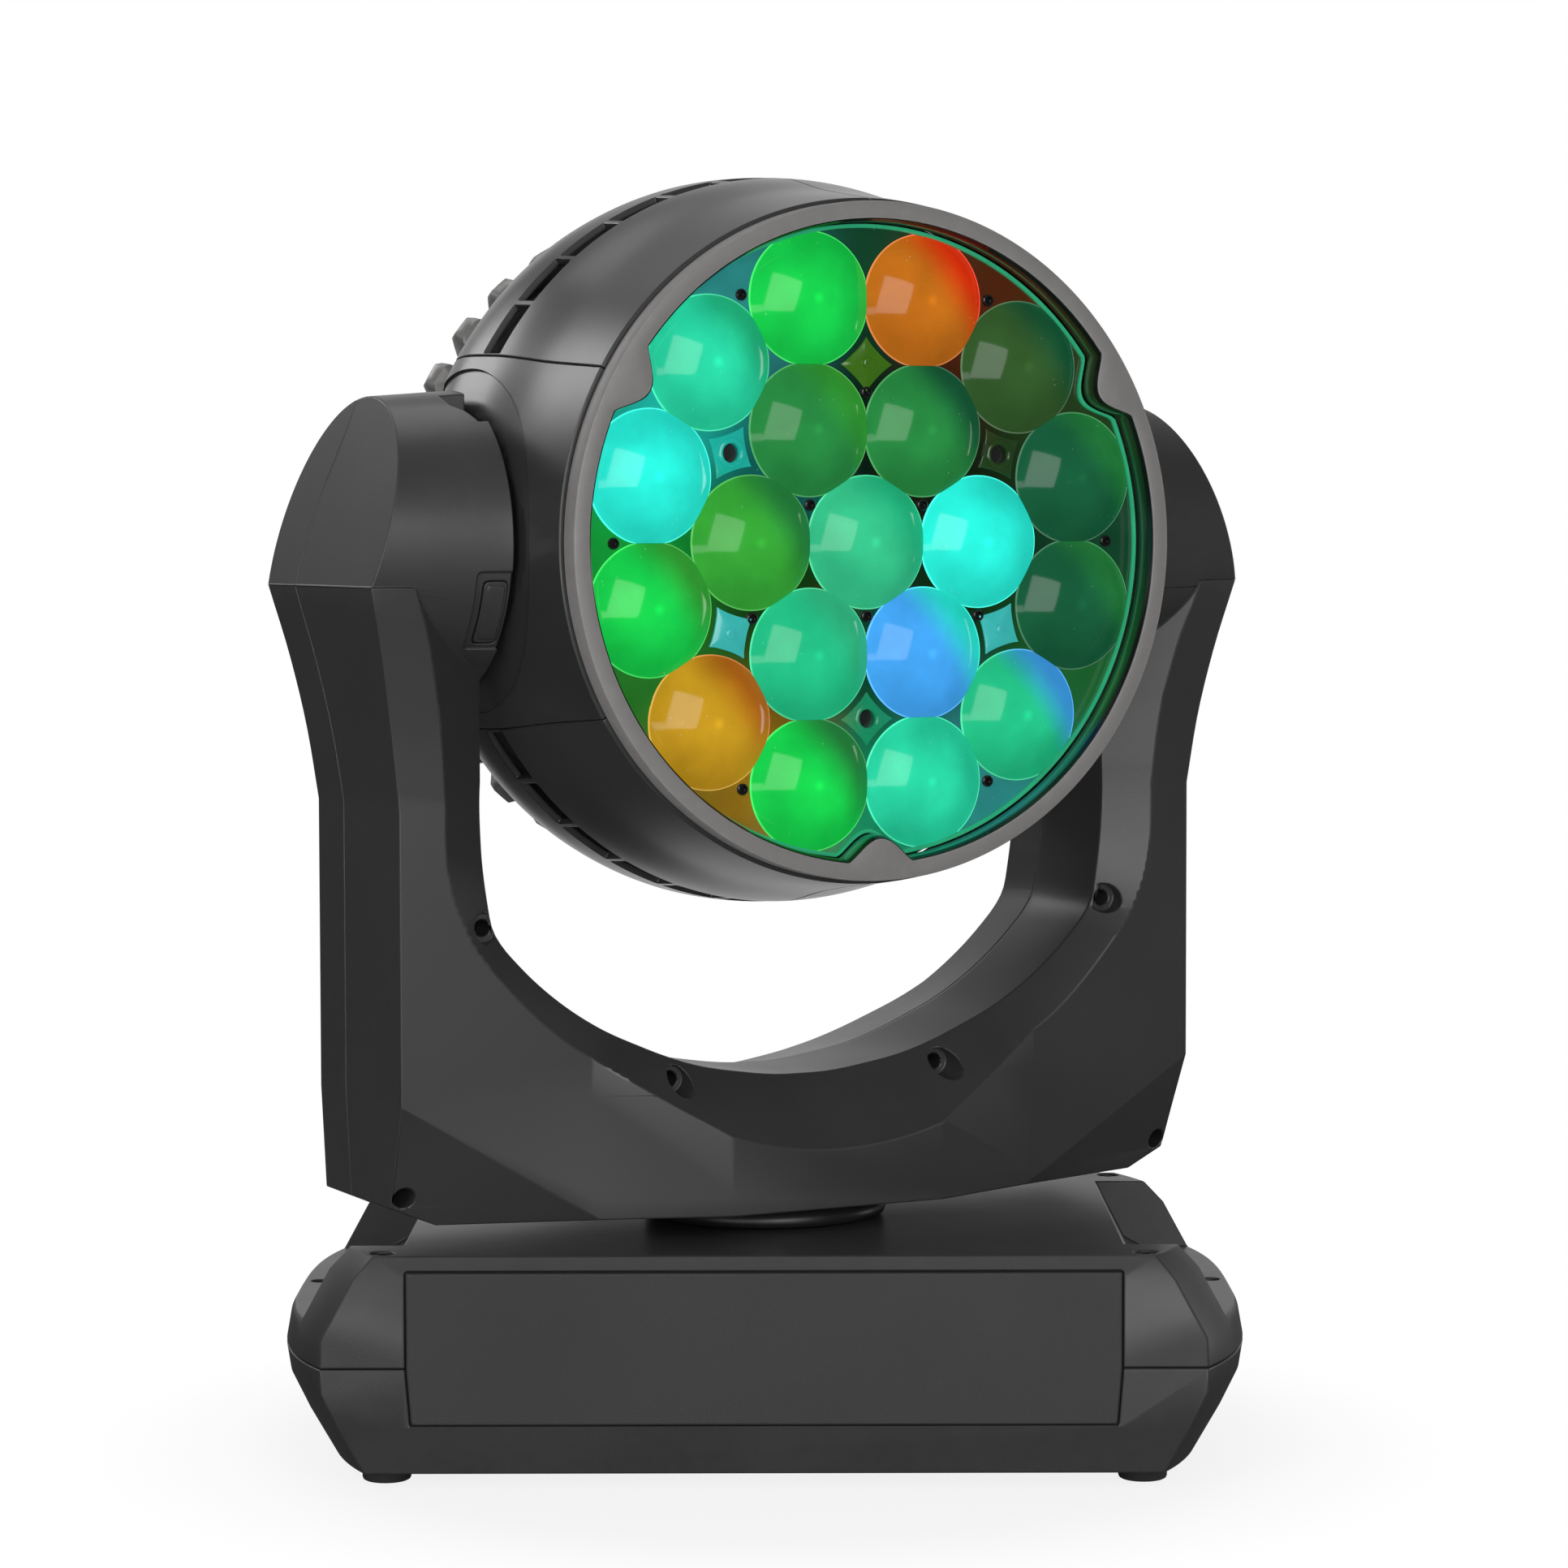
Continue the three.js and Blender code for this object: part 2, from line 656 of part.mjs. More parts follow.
// A belt loop round a large and a small wheel, as an outline in two directions.
function beltOutline(bigRadius, smallRadius, distance, steps) {
  const lean = Math.asin((bigRadius - smallRadius) / distance);
  const points = [];
  for (let i = 0; i <= steps; i += 1) {
    const angle = radians(quarterTurn) - lean + ((radians(halfTurn) + 2 * lean) * i) / steps;
    points.push([bigRadius * Math.cos(angle), bigRadius * Math.sin(angle)]);
  }
  for (let i = 0; i <= steps / 2; i += 1) {
    const wrap = radians(halfTurn) - 2 * lean;
    const angle = radians(halfTurn + quarterTurn) + lean + (wrap * i) / (steps / 2);
    points.push([distance + smallRadius * Math.cos(angle), smallRadius * Math.sin(angle)]);
  }
  return points;
}

function beltLoop(bigRadius, smallRadius, distance, width) {
  const [near, far] = [beltGap, beltGap + beltThickness];
  const outer = plate(beltOutline(bigRadius + far, smallRadius + far, distance, smallSteps), 0, width);
  const inner = plate(beltOutline(bigRadius + near, smallRadius + near, distance, smallSteps),
    -cutOverrun, width + cutOverrun);
  return cut(outer, inner);
}

function panBelt() {
  const z0 = drivePlateTop + runningGap + (pulleyHeight - beltWidth) / 2;
  return beltLoop(panPulleyRadius, motorPulleyRadius, panMotorX, beltWidth).translate([0, 0, z0]);
}

// Yoke skin: rings from the bottom up to the crease, then round pods about the tilt axis

const facetNearX = 52;
const facetFarX = 110;
const facetFarShare = 0.72;
const facetFarDepth = yokeHalfDepth * facetFarShare;
const facetInsetShares = { near: 0.33, knee: 0.5 };
// Levels of the yoke skin: shares of the height from its bottom to the crease, of the arm's width,
// of the half depth at the outer corner, and of the facet knee's place.
const yokeLevelShares = [
  { rise: 0, outer: 0.333, depth: 0.447, knee: 0.964 },
  { rise: 0.045, outer: 0.661, depth: 0.447, knee: 0.964 },
  { rise: 0.197, outer: 0.704, depth: 0.637, knee: 1 },
  { rise: 0.658, outer: 0.704, depth: 0.637, knee: 1 },
  { rise: 0.765, outer: 0.773, depth: 0.669, knee: 1 },
  { rise: 0.879, outer: 0.867, depth: 0.734, knee: 1 },
  { rise: 1, outer: 1, depth: 0.824, knee: 1 },
];
const yokeLevels = yokeLevelShares.map((share) => ({
  height: THREE.MathUtils.lerp(yokeBottom, creaseHeight, share.rise),
  outer: openingHalfWidth + armWidth * share.outer,
  depth: yokeHalfDepth * share.depth,
  knee: facetFarX * share.knee,
}));
const leafTopOut = 34.7;
const leafTopX = openingHalfWidth + leafTopOut;
const yokeSeam = -12;
const openingLow = 100.6;
const openingFloor = 55;
const openingCentre = tiltAxisHeight - openingLow;
const openingDrop = openingCentre - yokeBottom - openingFloor;
const openingPower = 2.25;
const openingSteps = 16;
const bevelStart = 35.6;
const bevelOut = 21.3;
const bevelDown = 28.4;
const bevelTopOut = 42.5;
const bevelTopDrop = 0.6;
const bevelHalfWidth = openingHalfWidth + bevelOut;
const bevelDrop = openingDrop + bevelDown;
const bevelTopHalfWidth = openingHalfWidth + bevelTopOut;
const bevelTopHeight = tiltAxisHeight - bevelTopDrop;
const bevelPower = 2;
const rearBevelStart = 12;
const rearBevelOut = 5;
const rearBevelDown = 9;
const rearBevelHalfWidth = openingHalfWidth + rearBevelOut;
const rearBevelDrop = openingDrop + rearBevelDown;
const bevelLead = 0.15;
const podTop = tiltAxisHeight + podRadius;

function yokeRing(level, inset, height) {
  const half = [
    [facetNearX - inset * facetInsetShares.near, yokeHalfDepth - inset],
    [level.knee - inset * facetInsetShares.knee, facetFarDepth - inset],
    [level.outer - inset, level.depth - inset],
  ];
  const front = [...half.map(([x, w]) => [-x, w]).reverse(), ...half];
  const back = [...front].reverse().map(([x, w]) => [x, -w]);
  return [...front, ...back].map(([x, w]) => new THREE.Vector3(x, -w, height));
}

// Depth of the front skin at a place, between its facet edges and its levels.
function faceDepth(x, z) {
  let upper = yokeLevels.findIndex((level) => level.height >= z);
  if (upper < 1) upper = upper < 0 ? yokeLevels.length - 1 : 1;
  const [low, high] = [yokeLevels[upper - 1], yokeLevels[upper]];
  const share = THREE.MathUtils.clamp((z - low.height) / (high.height - low.height), 0, 1);
  const outer = THREE.MathUtils.lerp(low.outer, high.outer, share);
  const depth = THREE.MathUtils.lerp(low.depth, high.depth, share);
  const knee = THREE.MathUtils.lerp(low.knee, high.knee, share);
  const across = Math.abs(x);
  if (across <= facetNearX) return yokeHalfDepth;
  if (across <= knee) {
    return THREE.MathUtils.mapLinear(across, facetNearX, knee, yokeHalfDepth, facetFarDepth);
  }
  return THREE.MathUtils.mapLinear(across, knee, outer, facetFarDepth, depth);
}

// The yoke opening seen from the front: a superellipse below, straight sides above.
function openingOutline(halfWidth, drop, power, topHalfWidth, topHeight) {
  const points = [[topHalfWidth, topHeight]];
  for (let i = 0; i <= openingSteps; i += 1) {
    const angle = (Math.PI * i) / openingSteps;
    const [c, s] = [Math.cos(angle), Math.sin(angle)];
    const x = halfWidth * Math.sign(c) * Math.abs(c) ** (2 / power);
    points.push([x, openingCentre - drop * Math.abs(s) ** (2 / power)]);
  }
  points.push([-topHalfWidth, topHeight]);
  return points;
}

// The flare from the opening's edge out to the yoke's face, at the front or at the back.
function bevelCutter(inset, front) {
  const start = front ? bevelStart : -rearBevelStart;
  const sign = front ? 1 : -1;
  const halfWidth = (front ? bevelHalfWidth : rearBevelHalfWidth) + inset;
  const drop = (front ? bevelDrop : rearBevelDrop) + inset;
  const topHalf = front ? bevelTopHalfWidth : rearBevelHalfWidth;
  const inner = openingOutline(openingHalfWidth + inset, openingDrop + inset, openingPower,
    openingHalfWidth + inset, bevelTopHeight);
  const outer = openingOutline(halfWidth, drop, bevelPower, topHalf + inset, bevelTopHeight);
  const from = inner.map(([x, z]) => new THREE.Vector3(x, -start + sign * inset, z));
  const to = outer.map(([x, z]) => new THREE.Vector3(x, -sign * (faceDepth(x, z) - inset), z));
  const reach = -sign * (yokeHalfDepth + cutOverrun);
  const near = from.map((point, i) => point.clone().lerp(to[i], -bevelLead));
  const far = from.map((point, i) => point.clone().lerp(to[i], (reach - point.y) / (to[i].y - point.y)));
  return loft([near, far], onFront);
}

function podOutline(sign, inset) {
  const side = yokeLevels.filter((level) => level.height > openingCentre)
    .map((level) => [sign * (level.outer - inset), level.height]);
  return [
    [sign * (podEndX + inset), side[0][1]],
    ...side,
    [sign * (leafTopX - inset), podTop],
    [sign * (podEndX + inset), podTop],
  ];
}

function pod(sign, inset) {
  const [x0, x1] = sign > 0 ? [podEndX + inset, yokeHalfWidth] : [-yokeHalfWidth, -podEndX - inset];
  const drum = rodX(podRadius - inset, x0, x1, 0, tiltAxisHeight, fineSteps);
  return drum.intersect(slab(podOutline(sign, inset), -yokeHalfDepth, yokeHalfDepth));
}

function yokeBody(inset) {
  const rings = yokeLevels.map((level, i) => {
    return yokeRing(level, inset, level.height + (i === 0 ? inset : 0));
  });
  const opening = slab(openingOutline(openingHalfWidth + inset, openingDrop + inset, openingPower,
    openingHalfWidth + inset, bevelTopHeight), -yokeHalfDepth - cutOverrun, yokeHalfDepth + cutOverrun);
  const body = cut(loft(rings, onFloor), opening, bevelCutter(inset, true), bevelCutter(inset, false));
  return join(body, pod(1, inset), pod(-1, inset));
}

// Screw pockets of the yoke and the recess of the tilt lock

const cornerScrewOut = 35.5;
const cornerScrewRise = 15;
const cornerScrewX = openingHalfWidth + cornerScrewOut;
const cornerScrewHeight = yokeBottom + cornerScrewRise;
const cornerScrewRadius = 5;
const bevelScrewRadius = 4;
const upperScrewIn = 6.5;
const upperScrewRise = 114;
const lowerScrewRise = 48;
const upperScrewX = openingHalfWidth - upperScrewIn;
const upperScrewHeight = yokeBottom + upperScrewRise;
const lowerScrewX = facetNearX;
const lowerScrewHeight = yokeBottom + lowerScrewRise;
const lockMargin = 1.5;
const lockWidth = 14.5;
const lockTopDrop = 11.6;
const lockTall = 33;
const lockDepth = 15;
const lockNearX = podEndX + lockMargin;
const lockFarX = lockNearX + lockWidth;
const lockLow = tiltAxisHeight - lockTopDrop - lockTall;
const lockHigh = tiltAxisHeight - lockTopDrop;
const lockFloor = podRadius - lockDepth;
const lockFrame = 2.5;
const lockDip = 1.4;
const lockTravel = 2.5;
const lockX0 = -lockFarX + lockFrame;
const lockX1 = -lockNearX - lockFrame;
const lockZ0 = lockLow + lockFrame;
const lockZ1 = lockHigh - lockFrame;

function yokeScrewPockets() {
  const pockets = [];
  for (const side of [-1, 1]) {
    pockets.push(rodBeam(cornerScrewRadius, 0, yokeHalfDepth, side * cornerScrewX,
      cornerScrewHeight, tinySteps));
    for (const [x, z] of [[upperScrewX, upperScrewHeight], [lowerScrewX, lowerScrewHeight]]) {
      pockets.push(rodBeam(bevelScrewRadius, bevelStart - cutOverrun, yokeHalfDepth + cutOverrun,
        side * x, z, tinySteps));
    }
  }
  return pockets;
}

// A shallow frame sunk in the pod's round face, with the button's hole through its wall.
function lockRecess() {
  const dip = cut(
    block(-lockFarX, -lockNearX, -podRadius - cutOverrun, -lockFloor, lockLow, lockHigh),
    rodX(podRadius - lockDip, -lockFarX - cutOverrun, -lockNearX + cutOverrun,
      0, tiltAxisHeight, fineSteps),
  );
  const hole = block(lockX0 - slipGap, lockX1 + slipGap, -podRadius - cutOverrun, -lockFloor,
    lockZ0 - slipGap, lockZ1 + slipGap);
  return join(dip, hole);
}

function yokeShells() {
  const [outer, inner] = [yokeBody(0), yokeBody(yokeWall)];
  const floorHole = rodZ(panHoleRadius, yokeBottom - cutOverrun, yokeFloorTop + cutOverrun);
  const axleHole = rodX(trunnionRadius + runningGap, -podEndX - yokeWall - cutOverrun,
    podEndX + yokeWall + cutOverrun, 0, tiltAxisHeight);
  const skin = cut(outer, inner, floorHole, axleHole);
  const span = yokeHalfWidth + cutOverrun;
  const height = podTop + cutOverrun;
  const frontHalf = block(-span, span, -yokeHalfDepth - cutOverrun, -yokeSeam - seamGap / 2, 0, height);
  const rearHalf = block(-span, span, -yokeSeam + seamGap / 2, yokeHalfDepth + cutOverrun, 0, height);
  return {
    front: cut(skin.intersect(frontHalf), lockRecess(), ...yokeScrewPockets()),
    rear: skin.intersect(rearHalf),
  };
}

function tiltLockButton() {
  const cap = block(lockX0, lockX1, -podRadius, -lockFloor - lockTravel, lockZ0, lockZ1);
  const face = rodX(podRadius - slipGap, lockX0 - runningGap, lockX1 + runningGap,
    0, tiltAxisHeight, fineSteps);
  return cap.intersect(face);
}

// Steel frame inside the yoke, with the tilt bearings and the tilt drive

const crossOut = 12.5;
const crossHalfWidth = openingHalfWidth + crossOut;
const crossHalfDepth = 26;
const crossThickness = 4;
const crossBottom = yokeFloorTop + seamGap;
const uprightShare = 0.3905;
const uprightRise = 29.4;
const uprightFootRise = 88;
const trunnionLap = 14.5;
const uprightInner = openingHalfWidth + armWidth * uprightShare;
const uprightThickness = 3;
const uprightHalfDepth = 26;
const uprightTop = tiltAxisHeight + uprightRise;
const uprightFoot = yokeBottom + uprightFootRise;
const trunnionRadius = 16;
const trunnionBore = 11;
const trunnionEnd = uprightInner + trunnionLap;
const tiltBearingRadius = 24;
const tiltBearingWidth = 9;
const tiltPulleyRadius = 34;
const tiltPulleyWidth = 6;
const tiltBeltWidth = 4;
const tiltMotorDrop = 100.6;
const tiltMotorHeight = tiltAxisHeight - tiltMotorDrop;
const tiltMotorHalf = 17.5;
const tiltMotorLength = 17;
const tiltMotorPulleyRadius = 6.8;
const tiltMotorShaft = 2.5;
const uprightOuter = uprightInner + uprightThickness;
const tiltPulleyInner = uprightOuter + tiltBearingWidth / 2;

function yokeFrame() {
  const plateTop = crossBottom + crossThickness;
  const cross = block(-crossHalfWidth, crossHalfWidth, -crossHalfDepth, crossHalfDepth,
    crossBottom, plateTop);
  const cableHole = rodZ(panShaftBore, crossBottom - cutOverrun, plateTop + cutOverrun);
  const sides = [-1, 1].map((side) => {
    const points = [
      [side * (crossHalfWidth - crossThickness), crossBottom],
      [side * crossHalfWidth, crossBottom],
      [side * uprightOuter, uprightFoot],
      [side * uprightOuter, uprightTop],
      [side * uprightInner, uprightTop],
      [side * uprightInner, uprightFoot],
    ];
    return slab(points, -uprightHalfDepth, uprightHalfDepth);
  });
  const bearingHole = rodX(tiltBearingRadius + slipGap, -yokeHalfWidth, yokeHalfWidth, 0, tiltAxisHeight);
  const motorHole = rodX(tiltMotorPulleyRadius + runningGap, 0, yokeHalfWidth,
    0, tiltMotorHeight, smallSteps);
  return cut(join(cross, ...sides), cableHole, bearingHole, motorHole);
}

function tiltBearing(side) {
  const middle = uprightInner + uprightThickness / 2;
  const [near, far] = [middle - tiltBearingWidth / 2, middle + tiltBearingWidth / 2 - runningGap];
  const [x0, x1] = side > 0 ? [near, far] : [-far, -near];
  return tubeX(tiltBearingRadius, trunnionRadius + turningGap, x0, x1).translate([0, 0, tiltAxisHeight]);
}

function tiltMotor() {
  const face = uprightInner - seamGap;
  const body = block(face - tiltMotorLength, face, -tiltMotorHalf, tiltMotorHalf,
    tiltMotorHeight - tiltMotorHalf, tiltMotorHeight + tiltMotorHalf);
  return join(body, rodX(tiltMotorShaft, face - runningGap, tiltPulleyInner + tiltPulleyWidth,
    0, tiltMotorHeight, tinySteps));
}

function tiltMotorPulley() {
  const ring = tubeX(tiltMotorPulleyRadius, tiltMotorShaft + slipGap, tiltPulleyInner,
    tiltPulleyInner + tiltPulleyWidth, smallSteps);
  return ring.translate([0, 0, tiltMotorHeight]);
}

function tiltDrivePulley() {
  return tubeX(tiltPulleyRadius, trunnionRadius + slipGap, tiltPulleyInner,
    tiltPulleyInner + tiltPulleyWidth);
}

function tiltBelt() {
  const x0 = tiltPulleyInner + (tiltPulleyWidth - tiltBeltWidth) / 2;
  const drop = tiltAxisHeight - tiltMotorHeight;
  const loop = beltLoop(tiltPulleyRadius, tiltMotorPulleyRadius, drop, tiltBeltWidth);
  return loop.rotate([0, 90, 0]).translate([x0, 0, tiltAxisHeight]);
}

// Head skin: a barrel about the beam with a round pocket on each side for the pod

const coverRear = -60;
const coverFront = 96.6;
// Levels of the head skin: shares of the drum radius and of the covers' length from their rear.
const headLevelShares = [
  [rearRimShare, 0], [0.942, 0.128], [0.989, 0.23], [1, 0.332], [0.991, 0.498], [0.944, 0.747],
  [frontRimShare, 1],
];
const pocketClearance = 5;
const pocketRadius = podRadius + pocketClearance;
const sectorAngle = 60;
const slotsPerCover = 6;
const slotStep = sectorAngle / slotsPerCover;
const slotShare = 0.86;
const slotBack = 9;
const slotFront = 19;

function headProfile(inset, stretch) {
  const skin = headLevelShares.map(([radius, along]) => {
    return [drumRadius * radius - inset, THREE.MathUtils.lerp(coverRear, coverFront, along)];
  });
  const [rear, front] = [coverRear - stretch, coverFront + stretch];
  if (stretch > 0) {
    skin.unshift([skin[0][0], rear]);
    skin.push([skin[skin.length - 1][0], front]);
  }
  return [[0, rear], ...skin, [0, front]];
}

function headBody(inset, stretch) {
  const [floor, radius] = [pocketFloor - inset, pocketRadius + inset];
  const pockets = [rodX(radius, floor, drumRadius * 2, 0, 0, fineSteps),
    rodX(radius, -drumRadius * 2, -floor, 0, 0, fineSteps)];
  return cut(turned(headProfile(inset, stretch)), ...pockets);
}

// A wedge about the beam, held half a seam gap off the planes at its two sides.
function wedge(middleAngle, halfAngle, radius, back, front) {
  const apex = seamGap / 2 / Math.sin(radians(halfAngle));
  const reach = radius / Math.cos(radians(halfAngle));
  const [far, half] = [apex + radius, reach * Math.sin(radians(halfAngle))];
  const points = [[apex, 0], [far, -half], [far, half]];
  const [c, s] = [Math.cos(radians(middleAngle)), Math.sin(radians(middleAngle))];
  return slab(points.map(([x, z]) => [x * c - z * s, x * s + z * c]), back, front);
}

function coverSlots(middleAngle) {
  const slots = [];
  for (let i = 0; i < slotsPerCover; i += 1) {
    const angle = middleAngle - sectorAngle / 2 + slotStep * (i + 1 / 2);
    slots.push(wedge(angle, (slotStep * slotShare) / 2, drumRadius * 2, slotBack, slotFront));
  }
  return slots;
}

function headCovers() {
  const skin = cut(headBody(0, 0), headBody(headWall, cutOverrun));
  const axleHole = rodX(trunnionRadius + runningGap, -drumRadius, drumRadius);
  const piece = (angle) => skin.intersect(wedge(angle, sectorAngle / 2, drumRadius * 2,
    coverRear - cutOverrun, coverFront + cutOverrun));
  const quarter = (angle) => cut(piece(angle), ...coverSlots(angle));
  return {
    left_cheek: cut(piece(halfTurn), axleHole),
    right_cheek: cut(piece(0), axleHole),
    cover_top_left: quarter(120),
    cover_top_right: quarter(60),
    cover_bottom_left: quarter(240),
    cover_bottom_right: quarter(300),
  };
}

// Front bezel with three tabs over the lens plate

const bezelBack = coverFront + seamGap;
const spigotGap = 1.4;
const spigotRadius = drumRadius * frontRimShare - headWall - spigotGap;
const spigotBack = 88;
const tabCount = 3;
const tabAngle = 30;
const tabRadius = 12;
const tabInset = 2;
const tabCentre = bezelBore - tabInset;

function polar(radius, angle) {
  return [radius * Math.cos(radians(angle)), radius * Math.sin(radians(angle))];
}

function tabAngles() {
  return Array.from({ length: tabCount }, (_, i) => tabAngle + (fullTurn * i) / tabCount);
}

function frontBezel() {
  const ring = turned([
    [bezelBore, spigotBack], [spigotRadius, spigotBack], [spigotRadius, bezelBack],
    [bezelRadius, bezelBack], [bezelRadius, bezelFront], [bezelBore, bezelFront],
  ]);
  const tabs = tabAngles().map((angle) => {
    const [x, z] = polar(tabCentre, angle);
    return rodBeam(tabRadius, bezelBack, bezelFront - slipGap, x, z, smallSteps);
  });
  const within = rodBeam((bezelBore + bezelRadius) / 2, bezelBack, bezelFront, 0, 0, fineSteps);
  return join(ring, join(...tabs).intersect(within));
}

// Lens plate and its carrier, which slide together along three lead screws

const lensPlane = 93.5;
const lensPlateThickness = 3;
const lensDome = 8;
const lensPlateRadius = bezelBore - runningGap;
const innerCount = 6;
const outerRingShare = 0.7867;
const innerRingShare = 0.4074;
const lensShare = 0.2052;
const screwRingShare = 0.5556;
const innerRing = bezelBore * innerRingShare;
const lensRadius = bezelBore * lensShare;
const outerRing = bezelBore * outerRingShare;
const outerCount = 12;
const carrierThickness = 4;
const carrierRing = 22;
const carrierBoss = 8;
const carrierArm = 7;
const screwRingRadius = bezelBore * screwRingShare;
const screwRadius = 3;
const screwHole = 4.2;
const zoomTravel = 24;
const zoomRoom = 5.2;
const carrierBack = lensPlane - lensPlateThickness - slipGap - carrierThickness;
const domeSteps = 12;
const domeRings = 2;

function lensCentres() {
  const places = [[0, 0]];
  for (let i = 0; i < innerCount; i += 1) places.push(polar(innerRing, (fullTurn * i) / innerCount));
  for (let i = 0; i < outerCount; i += 1) {
    places.push(polar(outerRing, (fullTurn * (i + 1 / 2)) / outerCount));
  }
  return places;
}

function dome(x, z) {
  const sphere = (lensRadius ** 2 + lensDome ** 2) / (2 * lensDome);
  const foot = lensPlane - lensPlateThickness / 2;
  const profile = [[0, foot], [lensRadius, foot]];
  const edge = Math.asin(lensRadius / sphere);
  for (let i = 0; i <= domeRings; i += 1) {
    const angle = edge * (1 - i / domeRings);
    profile.push([sphere * Math.sin(angle), lensPlane - sphere + lensDome + sphere * Math.cos(angle)]);
  }
  return turned(profile, domeSteps).translate([x, 0, z]);
}

// Notches round the bezel's tabs and holes for the lead screws.
function plateHoles(back, front, hole) {
  const notches = tabAngles().map((angle) => {
    const [x, z] = polar(tabCentre, angle);
    return rodBeam(tabRadius + runningGap, back - cutOverrun, front + cutOverrun, x, z, smallSteps);
  });
  const holes = zoomPlaces().map(([x, z]) => {
    return rodBeam(hole, back - cutOverrun, front + cutOverrun, x, z, tinySteps);
  });
  return [...notches, ...holes];
}

function lensArray() {
  const back = lensPlane - lensPlateThickness;
  const disc = rodBeam(lensPlateRadius, back, lensPlane, 0, 0, fineSteps);
  const domes = lensCentres().map(([x, z]) => dome(x, z));
  return cut(join(disc, ...domes), ...plateHoles(back, lensPlane + lensDome, screwHole));
}

// A ring with three arms, whose bosses hold the nuts of the lead screws.
function lensCarrier() {
  const [back, front] = [carrierBack, carrierBack + carrierThickness];
  const ring = cut(rodBeam(lensPlateRadius, back, front, 0, 0, roundSteps),
    rodBeam(lensPlateRadius - carrierRing, back - cutOverrun, front + cutOverrun, 0, 0, roundSteps));
  const arms = tabAngles().map((angle) => {
    const reach = lensPlateRadius - carrierRing / 2;
    const geometry = new THREE.BoxGeometry(reach - screwRingRadius, carrierThickness, carrierArm);
    geometry.translate((reach + screwRingRadius) / 2, -(back + front) / 2, 0).rotateY(radians(-angle));
    return solid(geometry);
  });
  const bosses = zoomPlaces().map(([x, z]) => rodBeam(carrierBoss, back, front, x, z, smallSteps));
  return cut(join(ring, ...arms, ...bosses), ...plateHoles(back, front, screwRadius + slipGap));
}

// Light engine: ring chassis, heat sink, LED board and the rods that lead light to the lenses

const chassisRingBack = 24;
const chassisRingFront = 28;
const chassisBoreShare = 0.7386;
const chassisMargin = 7.3;
const earInset = 18;
const earThickness = 4;
const chassisBore = drumRadius * chassisBoreShare;
const chassisRadius = drumRadius - chassisMargin;
const earInner = pocketFloor - earInset - earThickness;
const earOuter = pocketFloor - earInset;
const earHalfHeight = 36;
const earBack = -28;
const sinkRadius = chassisBore - slipGap;
const sinkBaseBack = 20;
const sinkBack = -18;
const finCount = 11;
const finPitch = 20;
const finThickness = 3;
const finMargin = 2.1;
const finRadius = sinkRadius - finMargin;
const ledBoardThickness = 1.8;
const ledBoardBack = chassisRingFront + seamGap;
const ledBoardFront = ledBoardBack + ledBoardThickness;
const ledHalf = 5;
const ledHeight = 2;
const holderBack = ledBoardFront + ledHeight + slipGap;
const holderPlate = 3;
const rodTop = carrierBack - zoomTravel - zoomRoom;
const rodNarrow = 7;
const rodWide = 12;
const holderMargin = 6;
const holderRadius = bezelBore - holderMargin;
const rodSteps = 6;

function headChassis() {
  const ring = turned([
    [chassisBore, chassisRingBack], [chassisRadius, chassisRingBack],
    [chassisRadius, chassisRingFront], [chassisBore, chassisRingFront],
  ]);
  const ears = [-1, 1].map((side) => {
    const [x0, x1] = side > 0 ? [earInner, earOuter] : [-earOuter, -earInner];
    const front = (chassisRingFront + chassisRingBack) / 2;
    return block(x0, x1, -front, -earBack, -earHalfHeight, earHalfHeight);
  });
  const room = headBody(headWall + slipGap, 0);
  return cut(join(ring.intersect(room), ...ears), rodX(trunnionBore, -drumRadius, drumRadius));
}

function zoomPlaces() {
  return tabAngles().map((angle) => polar(screwRingRadius, angle));
}

function heatSink() {
  const base = rodBeam(sinkRadius, sinkBaseBack, chassisRingFront, 0, 0, fineSteps);
  const fins = [];
  for (let i = 0; i < finCount; i += 1) {
    const x = (i - (finCount - 1) / 2) * finPitch;
    fins.push(block(x - finThickness / 2, x + finThickness / 2, -sinkBaseBack - finThickness,
      -sinkBack, -finRadius, finRadius));
  }
  const trimmed = join(...fins).intersect(rodBeam(finRadius, sinkBack, chassisRingFront, 0, 0, fineSteps));
  const motors = zoomPlaces().map(([x, z]) => {
    return rodBeam(zoomMotorRadius + slipGap, sinkBack - cutOverrun, chassisRingFront + cutOverrun,
      x, z, smallSteps);
  });
  return cut(join(base, trimmed), ...motors);
}

function ledBoard() {
  const disc = rodBeam(holderRadius, ledBoardBack, ledBoardFront, 0, 0, roundSteps);
  const leds = lensCentres().map(([x, z]) => {
    return block(x - ledHalf, x + ledHalf, -ledBoardFront - ledHeight,
      -ledBoardFront + ledBoardThickness / 2, z - ledHalf, z + ledHalf);
  });
  const holes = zoomPlaces().map(([x, z]) => {
    return rodBeam(screwHole, ledBoardBack - cutOverrun, ledBoardFront + cutOverrun, x, z, tinySteps);
  });
  return cut(join(disc, ...leds), ...holes);
}

